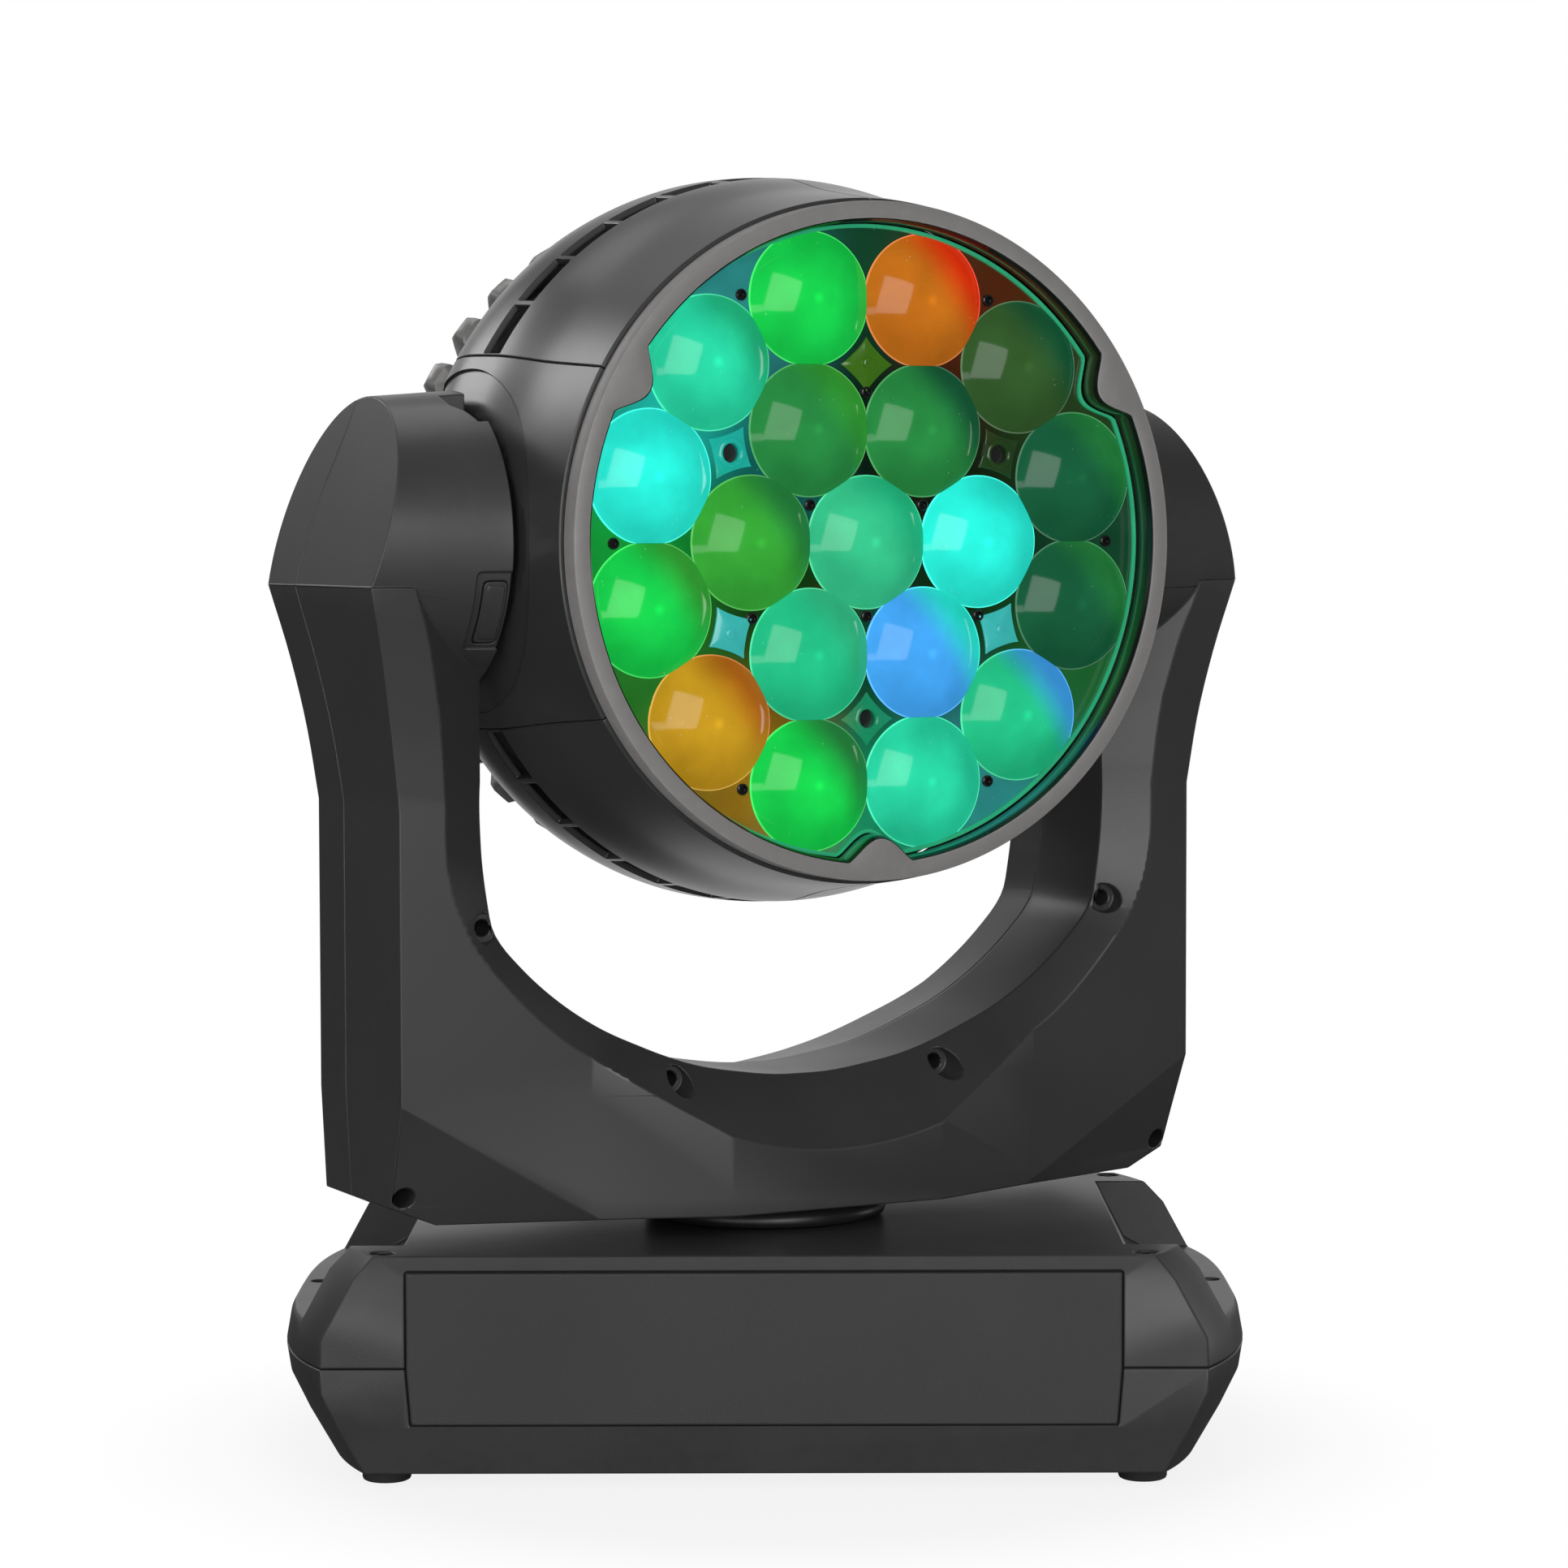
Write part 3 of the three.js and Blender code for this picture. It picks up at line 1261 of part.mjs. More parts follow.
function lightRods() {
  const holderFront = holderBack + holderPlate;
  const rodFoot = holderBack + holderPlate / 2;
  const disc = rodBeam(holderRadius, holderBack, holderFront, 0, 0, roundSteps);
  const rods = lensCentres().map(([x, z]) => {
    const geometry = new THREE.CylinderGeometry(rodNarrow, rodWide, rodTop - rodFoot, rodSteps);
    return solid(geometry.translate(x, -(rodTop + rodFoot) / 2, z));
  });
  const holes = zoomPlaces().map(([x, z]) => {
    return rodBeam(screwHole, holderBack - cutOverrun, holderFront + cutOverrun, x, z, tinySteps);
  });
  return cut(join(disc, ...rods), ...holes);
}

// Zoom motors in the heat sink, each with its lead screw

const zoomMotorRadius = 14;
const zoomMotorLength = 20;
const zoomMotorTail = 3;
const screwRecess = 2;
const screwTip = lensPlane - screwRecess;

function zoomMotor(x, z) {
  const back = chassisRingFront - zoomMotorLength;
  const can = rodBeam(zoomMotorRadius, back, chassisRingFront, x, z, smallSteps);
  return cut(can, rodBeam(screwRadius + slipGap, back + zoomMotorTail, chassisRingFront + cutOverrun,
    x, z, tinySteps));
}

function leadScrew(x, z) {
  const tail = chassisRingFront - zoomMotorLength + zoomMotorTail + seamGap;
  return rodBeam(screwRadius, tail, screwTip, x, z, tinySteps);
}

// Trunnions that carry the head in the yoke's bearings

const trunnionFlange = 23;
const trunnionFlangeWidth = 5;

function trunnion(side) {
  const start = earOuter + seamGap;
  const flange = start + trunnionFlangeWidth;
  const [x0, x1] = side > 0 ? [start, trunnionEnd] : [-trunnionEnd, -start];
  const [f0, f1] = side > 0 ? [start, flange] : [-flange, -start];
  const body = join(rodX(trunnionRadius, x0, x1), rodX(trunnionFlange, f0, f1));
  return cut(body, rodX(trunnionBore, x0 - cutOverrun, x1 + cutOverrun));
}

// Cooling fan behind the heat sink

const fanHalf = 60;
const fanFront = sinkBack - seamGap;
const fanThickness = 25;
const fanBore = 56;
const fanHub = 20;
const bladeCount = 7;
const bladeRadius = 54;
const bladeThickness = 2.2;
const bladeLean = 35;
const spiderBar = 3;
const spiderHub = 18;
const bladeShare = 0.9;

function fanFrame() {
  const back = fanFront - fanThickness;
  const frame = block(-fanHalf, fanHalf, -fanFront, -back, -fanHalf, fanHalf);
  const hollow = cut(frame, rodBeam(fanBore, back - cutOverrun, fanFront + cutOverrun));
  const reach = fanHalf - spiderBar;
  const half = spiderBar / 2;
  const bars = [block(-reach, reach, -back - spiderBar, -back, -half, half),
    block(-half, half, -back - spiderBar, -back, -reach, reach)];
  const hub = rodBeam(spiderHub, back, back + spiderBar, 0, 0, smallSteps);
  return join(hollow, ...bars, hub);
}

function fanRotor() {
  const [back, front] = [fanFront - fanThickness + spiderBar + turningGap, fanFront - runningGap];
  const middle = (back + front) / 2;
  const hub = rodBeam(fanHub, back, front, 0, 0, smallSteps);
  const blades = [];
  for (let i = 0; i < bladeCount; i += 1) {
    const geometry = new THREE.BoxGeometry(bladeRadius, (front - back) * bladeShare, bladeThickness);
    geometry.translate(bladeRadius / 2, 0, 0).rotateX(radians(bladeLean));
    geometry.rotateY(radians((i * fullTurn) / bladeCount)).translate(0, -middle, 0);
    blades.push(solid(geometry));
  }
  const trim = rodBeam(bladeRadius, back, front, 0, 0, roundSteps);
  return join(hub, ...blades).intersect(trim);
}

// Cast rear cover with radial ribs, a ring of air slots and a domed middle

const rearStep = 1.94;
const rearTaper = 24;
const rearDepth = 32;
const rearTipDepth = 39;
const ribProud = 8;
const ribDepth = 43;
const rearRimRadius = drumRadius * rearRimShare - rearStep;
const rearShoulderRadius = rearRimRadius - rearTaper;
const rearShoulder = coverRear - rearDepth;
const rearTip = coverRear - rearTipDepth;
const rearFront = coverRear - seamGap;
const rearWall = 3;
const ribCount = 36;
const ribThickness = 5;
const ribReach = rearRimRadius + ribProud;
const ribBack = coverRear - ribDepth;
// The outline of a rib: shares of its reach and of its length behind the covers.
const ribOutlineShares = [[0.767, 0.14], [0.945, 0.07], [1, 0.28], [0.918, 0.72], [0.685, 1]];
const ventInner = 38;
const ventOuter = 84;
const ventCount = 10;
const ventShare = 0.6;

function rearCover() {
  const outer = turned([[0, rearFront], [rearRimRadius, rearFront], [rearShoulderRadius, rearShoulder],
    [0, rearTip]], ribCount);
  const [rim, shoulder] = [rearRimRadius - rearWall, rearShoulderRadius - rearWall];
  const hollow = turned([[0, rearFront + cutOverrun], [rim, rearFront + cutOverrun],
    [rim, rearFront + rearWall], [shoulder, rearShoulder + rearWall], [0, rearTip + rearWall]], ribCount);
  const ribs = [];
  for (let i = 0; i < ribCount; i += 1) ribs.push(rearRib((fullTurn / ribCount) * i));
  const vents = [];
  for (let i = 0; i < ventCount; i += 1) vents.push(rearVent((fullTurn / ventCount) * (i + 1 / 2)));
  const band = cut(rodBeam(ventOuter, rearTip - cutOverrun, rearFront, 0, 0, roundSteps),
    rodBeam(ventInner, rearTip - cutOverrun * 2, rearFront + cutOverrun, 0, 0, roundSteps));
  return cut(join(outer, ...ribs), hollow, join(...vents).intersect(band));
}

function rearRib(angle) {
  const outline = ribOutlineShares.map(([reach, along]) => {
    return [ribReach * reach, THREE.MathUtils.lerp(coverRear, ribBack, along)];
  });
  const geometry = prism(outline, ribThickness).translate(0, 0, -ribThickness / 2);
  return solid(geometry.rotateX(radians(halfTurn)).rotateY(radians(angle)));
}

function rearVent(angle) {
  const half = (fullTurn * ventShare) / ventCount / 2;
  return wedge(angle, half, ventOuter * 2, rearTip - cutOverrun, rearFront);
}

// The groups that make the object

function baseGroup() {
  const group = new THREE.Group();
  const skin = cut(baseBody(0), baseBody(baseWall));
  group.add(named('base_lower_shell', baseLowerShell(skin), finishes.shell));
  group.add(named('base_upper_shell', baseUpperShell(skin), finishes.shell));
  group.add(named('base_chassis_plate', chassisPlate(), finishes.zinc));
  group.add(named('front_panel', frontPanel(), finishes.shell));
  group.add(named('rear_panel', rearPanel(), finishes.shell));
  feetPlaces().forEach(([x, y], i) => group.add(named(`foot_${i + 1}`, foot(x, y), finishes.rubber)));
  group.add(named('power_supply', powerSupply(), finishes.zinc));
  group.add(named('control_board', controlBoard(), finishes.board));
  buttonPlaces().forEach((key) => group.add(named(key.name, menuButton(key), finishes.rubber)));
  sockets().forEach((one) => group.add(named(one.name, socket(one), finishes.dark)));
  group.add(named('pan_bearing', panBearing(), finishes.dark));
  group.add(named('pan_drive_plate', drivePlate(), finishes.zinc));
  group.add(named('pan_motor', panMotor(), finishes.dark));
  group.add(named('pan_motor_pulley', panMotorPulley(), finishes.steel));
  group.add(named('pan_belt', panBelt(), finishes.rubber));
  return group;
}

function yokeGroup() {
  const group = new THREE.Group();
  const shells = yokeShells();
  group.add(named('pan_shaft', panShaft(), finishes.steel));
  group.add(named('pan_drive_pulley', panPulley(), finishes.steel));
  group.add(named('yoke_front_shell', shells.front, finishes.shell));
  group.add(named('yoke_rear_shell', shells.rear, finishes.shell));
  group.add(named('yoke_frame', yokeFrame(), finishes.zinc));
  group.add(named('tilt_bearing_left', tiltBearing(-1), finishes.steel));
  group.add(named('tilt_bearing_right', tiltBearing(1), finishes.steel));
  group.add(named('tilt_motor', tiltMotor(), finishes.dark));
  group.add(named('tilt_motor_pulley', tiltMotorPulley(), finishes.steel));
  group.add(named('tilt_belt', tiltBelt(), finishes.rubber));
  group.add(named('tilt_lock_button', tiltLockButton(), finishes.shell));
  return group;
}

function headGroup() {
  const group = new THREE.Group();
  for (const [name, body] of Object.entries(headCovers())) group.add(named(name, body, finishes.shell));
  group.add(named('front_bezel', frontBezel(), finishes.bezel));
  group.add(named('rear_cover', rearCover(), finishes.cast));
  group.add(named('head_chassis', headChassis(), finishes.zinc));
  group.add(named('trunnion_left', trunnion(-1), finishes.steel));
  group.add(named('trunnion_right', trunnion(1), finishes.steel));
  group.add(named('tilt_drive_pulley', tiltDrivePulley(), finishes.steel));
  group.add(named('heat_sink', heatSink(), finishes.cast));
  group.add(named('led_board', ledBoard(), finishes.board));
  group.add(named('light_rod_holder', lightRods(), finishes.lens));
  group.add(named('lens_array', lensArray(), finishes.lens));
  group.add(named('lens_carrier', lensCarrier(), finishes.dark));
  zoomPlaces().forEach(([x, z], i) => {
    group.add(named(`zoom_motor_${i + 1}`, zoomMotor(x, z), finishes.zinc));
    group.add(named(`zoom_lead_screw_${i + 1}`, leadScrew(x, z), finishes.steel));
  });
  group.add(named('fan_frame', fanFrame(), finishes.dark));
  group.add(named('fan_rotor', fanRotor(), finishes.dark));
  group.position.z = tiltAxisHeight;
  return group;
}

function washLight() {
  const light = new THREE.Group();
  const turning = new THREE.Group();
  turning.add(yokeGroup(), headGroup());
  turning.rotation.z = radians(panAtRest);
  light.add(baseGroup(), turning);
  return light;
}

export default washLight();
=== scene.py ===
import json
import logging
import math
from dataclasses import dataclass, field
from enum import Enum
from typing import Iterable, Optional, Sequence, Union

import bmesh
import bpy
import numpy as np
from bpy.types import Material, Node, NodeSocket, NodeTree, Object
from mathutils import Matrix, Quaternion, Vector


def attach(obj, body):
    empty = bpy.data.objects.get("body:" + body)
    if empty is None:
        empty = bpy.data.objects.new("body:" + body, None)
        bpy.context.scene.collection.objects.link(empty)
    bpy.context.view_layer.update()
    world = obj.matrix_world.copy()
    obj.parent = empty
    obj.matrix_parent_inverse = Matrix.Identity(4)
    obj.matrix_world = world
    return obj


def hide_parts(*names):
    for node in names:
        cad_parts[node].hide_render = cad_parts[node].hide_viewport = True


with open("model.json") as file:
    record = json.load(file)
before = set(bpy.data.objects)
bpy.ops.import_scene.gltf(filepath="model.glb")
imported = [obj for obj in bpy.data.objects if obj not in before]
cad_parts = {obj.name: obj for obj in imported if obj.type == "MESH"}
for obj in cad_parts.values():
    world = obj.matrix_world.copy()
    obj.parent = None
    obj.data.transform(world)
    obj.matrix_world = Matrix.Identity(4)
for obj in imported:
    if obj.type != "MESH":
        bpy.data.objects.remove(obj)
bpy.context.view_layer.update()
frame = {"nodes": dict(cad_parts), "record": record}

log = logging.getLogger("wash light")

MM = 0.001
PAN_AT_REST = math.radians(28.0)
TILT_AXIS = 400.6
SEAM = 0.45
SAME_POINT = 0.002 * MM
SLIVER = 0.003 * MM
SPLIT_POINT = 0.004 * MM
WELD_REACH = 0.012 * MM
ONE_PLANE = math.radians(0.15)
CORNER_STEPS = 6
EDGE_STEPS = 2


# Places and shapes

class Station(Enum):
    """Where a sub-assembly's own millimetres lie: turn about the pan axis, and lift."""

    BASE = (0.0, 0.0)
    YOKE = (PAN_AT_REST, 0.0)
    HEAD = (PAN_AT_REST, TILT_AXIS)

    def to_world(self, points: np.ndarray) -> np.ndarray:
        """Turns (across, forward, up) in millimetres into world metres.

        World x = across cos + forward sin, y = across sin - forward cos, z = up + lift.

        Args:
            points: Array of n points.

        Returns:
            Array of n points in metres.
        """
        turn, lift = self.value
        cos, sin = math.cos(turn), math.sin(turn)
        across, forward, up = points[:, 0], points[:, 1], points[:, 2]
        world = (across * cos + forward * sin, across * sin - forward * cos, up + lift)
        return np.stack(world, axis=-1) * MM

    def to_local(self, points: np.ndarray) -> np.ndarray:
        """Turns world metres back into this station's millimetres.

        Args:
            points: Array of n points in metres.

        Returns:
            Array of n points as across, forward and up.
        """
        turn, lift = self.value
        cos, sin = math.cos(turn), math.sin(turn)
        x, y, z = points[:, 0] / MM, points[:, 1] / MM, points[:, 2] / MM
        return np.stack((x * cos + y * sin, x * sin - y * cos, z - lift), axis=-1)


class Axis(Enum):
    """Direction that an outline is carried along or turned about."""

    ACROSS = "across"
    FORWARD = "forward"
    UP = "up"

    def lift(self, first: np.ndarray, second: np.ndarray, along: np.ndarray) -> np.ndarray:
        """Joins two coordinates in the plane and one along the axis.

        Args:
            first: First coordinate in the plane (forward, across or across).
            second: Second coordinate in the plane (up, up or forward).
            along: Coordinate along the axis.

        Returns:
            Points as across, forward and up.
        """
        first, second, along = np.broadcast_arrays(first, second, along)
        order = {
            Axis.ACROSS: (along, first, second),
            Axis.FORWARD: (first, along, second),
            Axis.UP: (first, second, along),
        }[self]
        return np.stack(order, axis=-1).astype(float)


@dataclass
class Shape:
    """Points in millimetres and the faces between them."""

    points: np.ndarray
    faces: list


def together(shapes: Iterable[Shape]) -> Shape:
    """Several shapes as one, side by side and not joined.

    Args:
        shapes: The shapes in their order.

    Returns:
        One list of points and faces.
    """
    points, faces, start = [], [], 0
    for shape in shapes:
        points.append(shape.points)
        faces += [[corner + start for corner in face] for face in shape.faces]
        start += len(shape.points)
    return Shape(np.concatenate(points), faces)


def loft(rings: np.ndarray, looped: bool = False) -> Shape:
    """Skin over rings of points: point j of ring i joins point j of ring i + 1.

    Args:
        rings: Array of rings by points by 3; each ring closes on itself.
        looped: True joins the last ring to the first, otherwise both ends get a flat face.

    Returns:
        The closed skin.
    """
    levels, count = rings.shape[:2]
    index = np.arange(levels * count).reshape(levels, count)
    low = index if looped else index[:-1]
    high = np.roll(index, -1, axis=0) if looped else index[1:]
    quads = np.stack([low, np.roll(low, -1, 1), np.roll(high, -1, 1), high], axis=-1)
    faces = quads.reshape(-1, 4).tolist()
    if not looped:
        faces += [index[0][::-1].tolist(), index[-1].tolist()]
    return Shape(rings.reshape(-1, 3), faces)


def extrude(outline: np.ndarray, low: float, high: float, axis: Axis) -> Shape:
    """An outline carried straight from low to high along an axis."""
    first, second = outline[:, 0], outline[:, 1]
    return loft(np.stack([axis.lift(first, second, low), axis.lift(first, second, high)]))


def turned(profile: Sequence, steps: int, axis: Axis, centre: Sequence = (0, 0, 0),
           start: float = 0, sweep: float = 360) -> Shape:
    """A closed profile of (radius, along) turned about an axis.

    A point at angle a lies at radius cos a and radius sin a in the plane across the axis.

    Args:
        profile: Corner points of the closed profile.
        steps: Steps of the sweep.
        axis: Axis of turning.
        centre: A point on the axis.
        start: First angle in degrees.
        sweep: Degrees turned; 360 closes the ring.

    Returns:
        The turned body.
    """
    profile = np.asarray(profile, float)
    whole = sweep >= 360
    angle = np.radians(start + sweep * np.arange(steps if whole else steps + 1) / steps)[:, None]
    radius, along = profile[None, :, 0], profile[None, :, 1]
    rings = axis.lift(radius * np.cos(angle), radius * np.sin(angle), along)
    return loft(rings + np.asarray(centre, float), looped=whole)


def circle(radius: float, steps: int = 48, centre: Sequence = (0, 0)) -> np.ndarray:
    """Outline of a circle: radius times cosine and sine of each step's angle."""
    angle = 2 * np.pi * np.arange(steps) / steps
    return np.stack([centre[0] + radius * np.cos(angle), centre[1] + radius * np.sin(angle)], -1)


def rounded_box(half: Sequence, corner: float, centre: Sequence = (0, 0)) -> np.ndarray:
    """Outline of a rectangle with quarter circles at its corners.

    Args:
        half: Half width and half height.
        corner: Radius of the corners.
        centre: Middle of the outline.

    Returns:
        Outline points, anticlockwise.
    """
    quarter = np.arange(CORNER_STEPS + 1) / CORNER_STEPS * np.pi / 2
    angle = (quarter[None, :] + np.arange(4)[:, None] * np.pi / 2).ravel()
    side = np.repeat(np.array([[1, 1], [-1, 1], [-1, -1], [1, -1]]), CORNER_STEPS + 1, axis=0)
    inner = side * (np.asarray(half, float) - corner)
    return inner + corner * np.stack([np.cos(angle), np.sin(angle)], -1) + np.asarray(centre, float)


def rod(radius: float, low: float, high: float, axis: Axis, centre: Sequence = (0, 0), steps: int = 48) -> Shape:
    """A round bar along an axis, through a point of the plane across it."""
    return extrude(circle(radius, steps, centre), low, high, axis)


def soft_edged(profile: Sequence, radius: float, steps: int = 4) -> np.ndarray:
    """Rounds each corner of a closed profile with a curve of about the given radius.

    Every corner becomes a quadratic curve between points cut back along its two sides:
    (1-t)^2 a + 2t(1-t) corner + t^2 b.

    Args:
        profile: Corner points.
        radius: How far each corner is cut back.
        steps: Steps of each curve.

    Returns:
        The rounded profile.
    """
    corner = np.asarray(profile, float)
    before, after = np.roll(corner, 1, 0) - corner, np.roll(corner, -1, 0) - corner
    reach_a = np.minimum(radius, np.linalg.norm(before, axis=1) * 0.45)[:, None]
    reach_b = np.minimum(radius, np.linalg.norm(after, axis=1) * 0.45)[:, None]
    start = corner + before / np.linalg.norm(before, axis=1)[:, None] * reach_a
    end = corner + after / np.linalg.norm(after, axis=1)[:, None] * reach_b
    t = (np.arange(steps + 1) / steps)[None, :, None]
    curve = (1 - t) ** 2 * start[:, None] + 2 * t * (1 - t) * corner[:, None] + t ** 2 * end[:, None]
    return curve.reshape(-1, 2)


def smooth_through(knots: Sequence, values: Sequence, places: np.ndarray) -> np.ndarray:
    """Curve through knots that never swings past them.

    Each stretch is a cubic whose end slopes are the harmonic mean of the slopes beside the knot,
    or zero where those differ in sign.

    Args:
        knots: Rising positions.
        values: Value at each knot.
        places: Where the curve is wanted.

    Returns:
        Value at each place.
    """
    x, y = np.asarray(knots, float), np.asarray(values, float)
    step, rise = np.diff(x), np.diff(y) / np.diff(x)
    same = rise[1:] * rise[:-1] > 0
    inner = np.where(same, 2 * rise[1:] * rise[:-1] / np.where(same, rise[1:] + rise[:-1], 1), 0)
    slope = np.concatenate([[rise[0]], inner, [rise[-1]]])
    at = np.clip(np.searchsorted(x, places, side="right") - 1, 0, len(step) - 1)
    t = (places - x[at]) / step[at]
    low = (2 * t ** 3 - 3 * t ** 2 + 1) * y[at] + (t ** 3 - 2 * t ** 2 + t) * step[at] * slope[at]
    high = (3 * t ** 2 - 2 * t ** 3) * y[at + 1] + (t ** 3 - t ** 2) * step[at] * slope[at + 1]
    return low + high


def ease(value: np.ndarray, low: float, high: float) -> np.ndarray:
    """S-curve from 0 at low to 1 at high: 3t^2 - 2t^3."""
    t = np.clip((value - low) / (high - low), 0, 1)
    return t * t * (3 - 2 * t)


# Objects from shapes

def make(name: str, shape: Shape, station: Station) -> Object:
    """Puts a shape into a mesh object whose place is in its mesh.

    Args:
        name: Name of the piece.
        shape: Its points and faces.
        station: The frame that its millimetres are in.

    Returns:
        The new object, closed and facing outwards.
    """
    mesh = bpy.data.meshes.new(name)
    mesh.from_pydata(station.to_world(shape.points).tolist(), [], shape.faces)
    work = bmesh.new()
    work.from_mesh(mesh)
    bmesh.ops.remove_doubles(work, verts=work.verts, dist=SAME_POINT)
    loose = [edge for edge in work.edges if not edge.link_faces]
    bmesh.ops.delete(work, geom=loose, context="EDGES")
    bmesh.ops.recalc_face_normals(work, faces=work.faces)
    work.to_mesh(mesh)
    work.free()
    piece = bpy.data.objects.new(name, mesh)
    bpy.context.scene.collection.objects.link(piece)
    return piece


def bake(piece: Object) -> None:
    """Turns the piece's modifiers into its mesh.

    Args:
        piece: The piece with modifiers.
    """
    depsgraph = bpy.context.evaluated_depsgraph_get()
    mesh = bpy.data.meshes.new_from_object(piece.evaluated_get(depsgraph))
    piece.modifiers.clear()
    old, piece.data = piece.data, mesh
    mesh.name = piece.name
    bpy.data.meshes.remove(old)


def tidied(piece: Object) -> None:
    """Joins faces that a cut has split although they lie in one plane.

    Args:
        piece: The piece after its cuts.
    """
    work = bmesh.new()
    work.from_mesh(piece.data)
    bmesh.ops.remove_doubles(work, verts=work.verts, dist=SPLIT_POINT)
    bmesh.ops.dissolve_degenerate(work, edges=work.edges, dist=SLIVER)
    bmesh.ops.dissolve_limit(work, angle_limit=ONE_PLANE, verts=work.verts, edges=work.edges)
    work.to_mesh(piece.data)
    work.free()


class Cut(Enum):
    """What a tool does to a body."""

    AWAY = "DIFFERENCE"
    ADD = "UNION"
    KEEP = "INTERSECT"


def worked_with(piece: Object, *others: Object, cut: Cut = Cut.AWAY) -> Object:
    """Works a piece with other closed objects, which are used up.

    Args:
        piece: The piece that is worked.
        others: The objects that cut, join or trim it, one after the other.
        cut: What each of them does.

    Returns:
        The same piece with a new mesh.
    """
    for other in others:
        step = piece.modifiers.new("cut", "BOOLEAN")
        step.operation, step.solver, step.object = cut.value, "MANIFOLD", other
    bake(piece)
    for other in others:
        mesh = other.data
        bpy.data.objects.remove(other)
        bpy.data.meshes.remove(mesh)
    return piece


def worked(piece: Object, station: Station, tools: Iterable[Shape], cut: Cut = Cut.AWAY) -> Object:
    """Cuts closed tools, in a station's millimetres, out of a piece, joins them to it or keeps what they share."""
    return worked_with(piece, *[make("tool", tool, station) for tool in tools], cut=cut)


def dressed(piece: Object, finish: "Finish", body: str, replaces: Sequence[str] = (),
            edge: float = 0.5, angle: float = 32) -> Object:
    """Rounds a piece's edges, gives it its finish and ties it to its body.

    Args:
        piece: The piece.
        finish: Its finish.
        body: The CAD body that it rides on.
        replaces: CAD nodes that it stands for.
        edge: Width of the rounded edges in millimetres; 0 leaves them.
        angle: Edges sharper than this many degrees are rounded.

    Returns:
        The finished piece.
    """
    mesh = piece.data
    if edge > 0:
        tidied(piece)
    mesh.shade_smooth()
    mesh.set_sharp_from_angle(angle=math.radians(angle))
    if edge > 0:
        bevel = piece.modifiers.new("edges", "BEVEL")
        bevel.width, bevel.segments = edge * MM, EDGE_STEPS
        bevel.limit_method, bevel.angle_limit = "ANGLE", math.radians(angle)
        bevel.use_clamp_overlap = False
        bevel.miter_outer = "MITER_ARC"
        weld = piece.modifiers.new("weld", "WELD")
        weld.merge_threshold = WELD_REACH
        normals = piece.modifiers.new("normals", "WEIGHTED_NORMAL")
        normals.keep_sharp = True
    mesh.materials.clear()
    mesh.materials.append(finish.material())
    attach(piece, body)
    if replaces:
        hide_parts(*replaces)
    log.info("%s: %d faces on %s", piece.name, len(mesh.polygons), body)
    return piece


# Node groups that several finishes share

Value = Union[float, Sequence, NodeSocket]


def fill(tree: NodeTree, target: Node, inputs: dict) -> None:
    """Sets or links inputs of a node.

    Args:
        tree: The node tree.
        target: The node.
        inputs: Value or output socket for each input, by name or number.
    """
    for name, value in inputs.items():
        if isinstance(value, NodeSocket):
            tree.links.new(value, target.inputs[name])
        else:
            target.inputs[name].default_value = value


def node(tree: NodeTree, kind: str, inputs: Optional[dict] = None, **settings: object) -> Node:
    """Adds a node, sets its own settings and fills its inputs.

    Args:
        tree: The node tree.
        kind: The node's type.
        inputs: What fill() gets for them.
        settings: Properties of the node itself.

    Returns:
        The new node.
    """
    new = tree.nodes.new(kind)
    for name, value in settings.items():
        setattr(new, name, value)
    fill(tree, new, inputs or {})
    return new


def new_group(name: str, inputs: dict, outputs: dict) -> tuple:
    """Starts a shader node group with named sockets.

    Args:
        name: Name of the group.
        inputs: Default number of each input.
        outputs: Socket type of each output.

    Returns:
        The group's tree, its input node and its output node.
    """
    tree = bpy.data.node_groups.new(name, "ShaderNodeTree")
    for label, value in inputs.items():
        socket = tree.interface.new_socket(label, in_out="INPUT", socket_type="NodeSocketFloat")
        socket.default_value = value
    for label, kind in outputs.items():
        tree.interface.new_socket(label, in_out="OUTPUT", socket_type=kind)
    return tree, tree.nodes.new("NodeGroupInput"), tree.nodes.new("NodeGroupOutput")


def maths(tree: NodeTree, operation: str, first: Value, second: Value = 0.0, clamp: bool = False) -> NodeSocket:
    """One step of arithmetic between two numbers or sockets."""
    step = node(tree, "ShaderNodeMath", {0: first, 1: second}, operation=operation, use_clamp=clamp)
    return step.outputs[0]


def blend(tree: NodeTree, share: Value, first: Value, second: Value, how: str = "MIX") -> NodeSocket:
    """Mixes two colours by a share."""
    step = node(tree, "ShaderNodeMix", {0: share, 6: first, 7: second}, data_type="RGBA", blend_type=how)
    return step.outputs[2]


def own_place(tree: NodeTree) -> NodeSocket:
    """The shaded point's place in its own object."""
    return node(tree, "ShaderNodeTexCoord").outputs["Object"]


def noise(tree: NodeTree, place: Value, scale: Value, detail: float) -> Sequence:
    """Noise at a place: its first output is a number, its second a colour."""
    return node(tree, "ShaderNodeTexNoise", {"Vector": place, "Scale": scale, "Detail": detail}).outputs


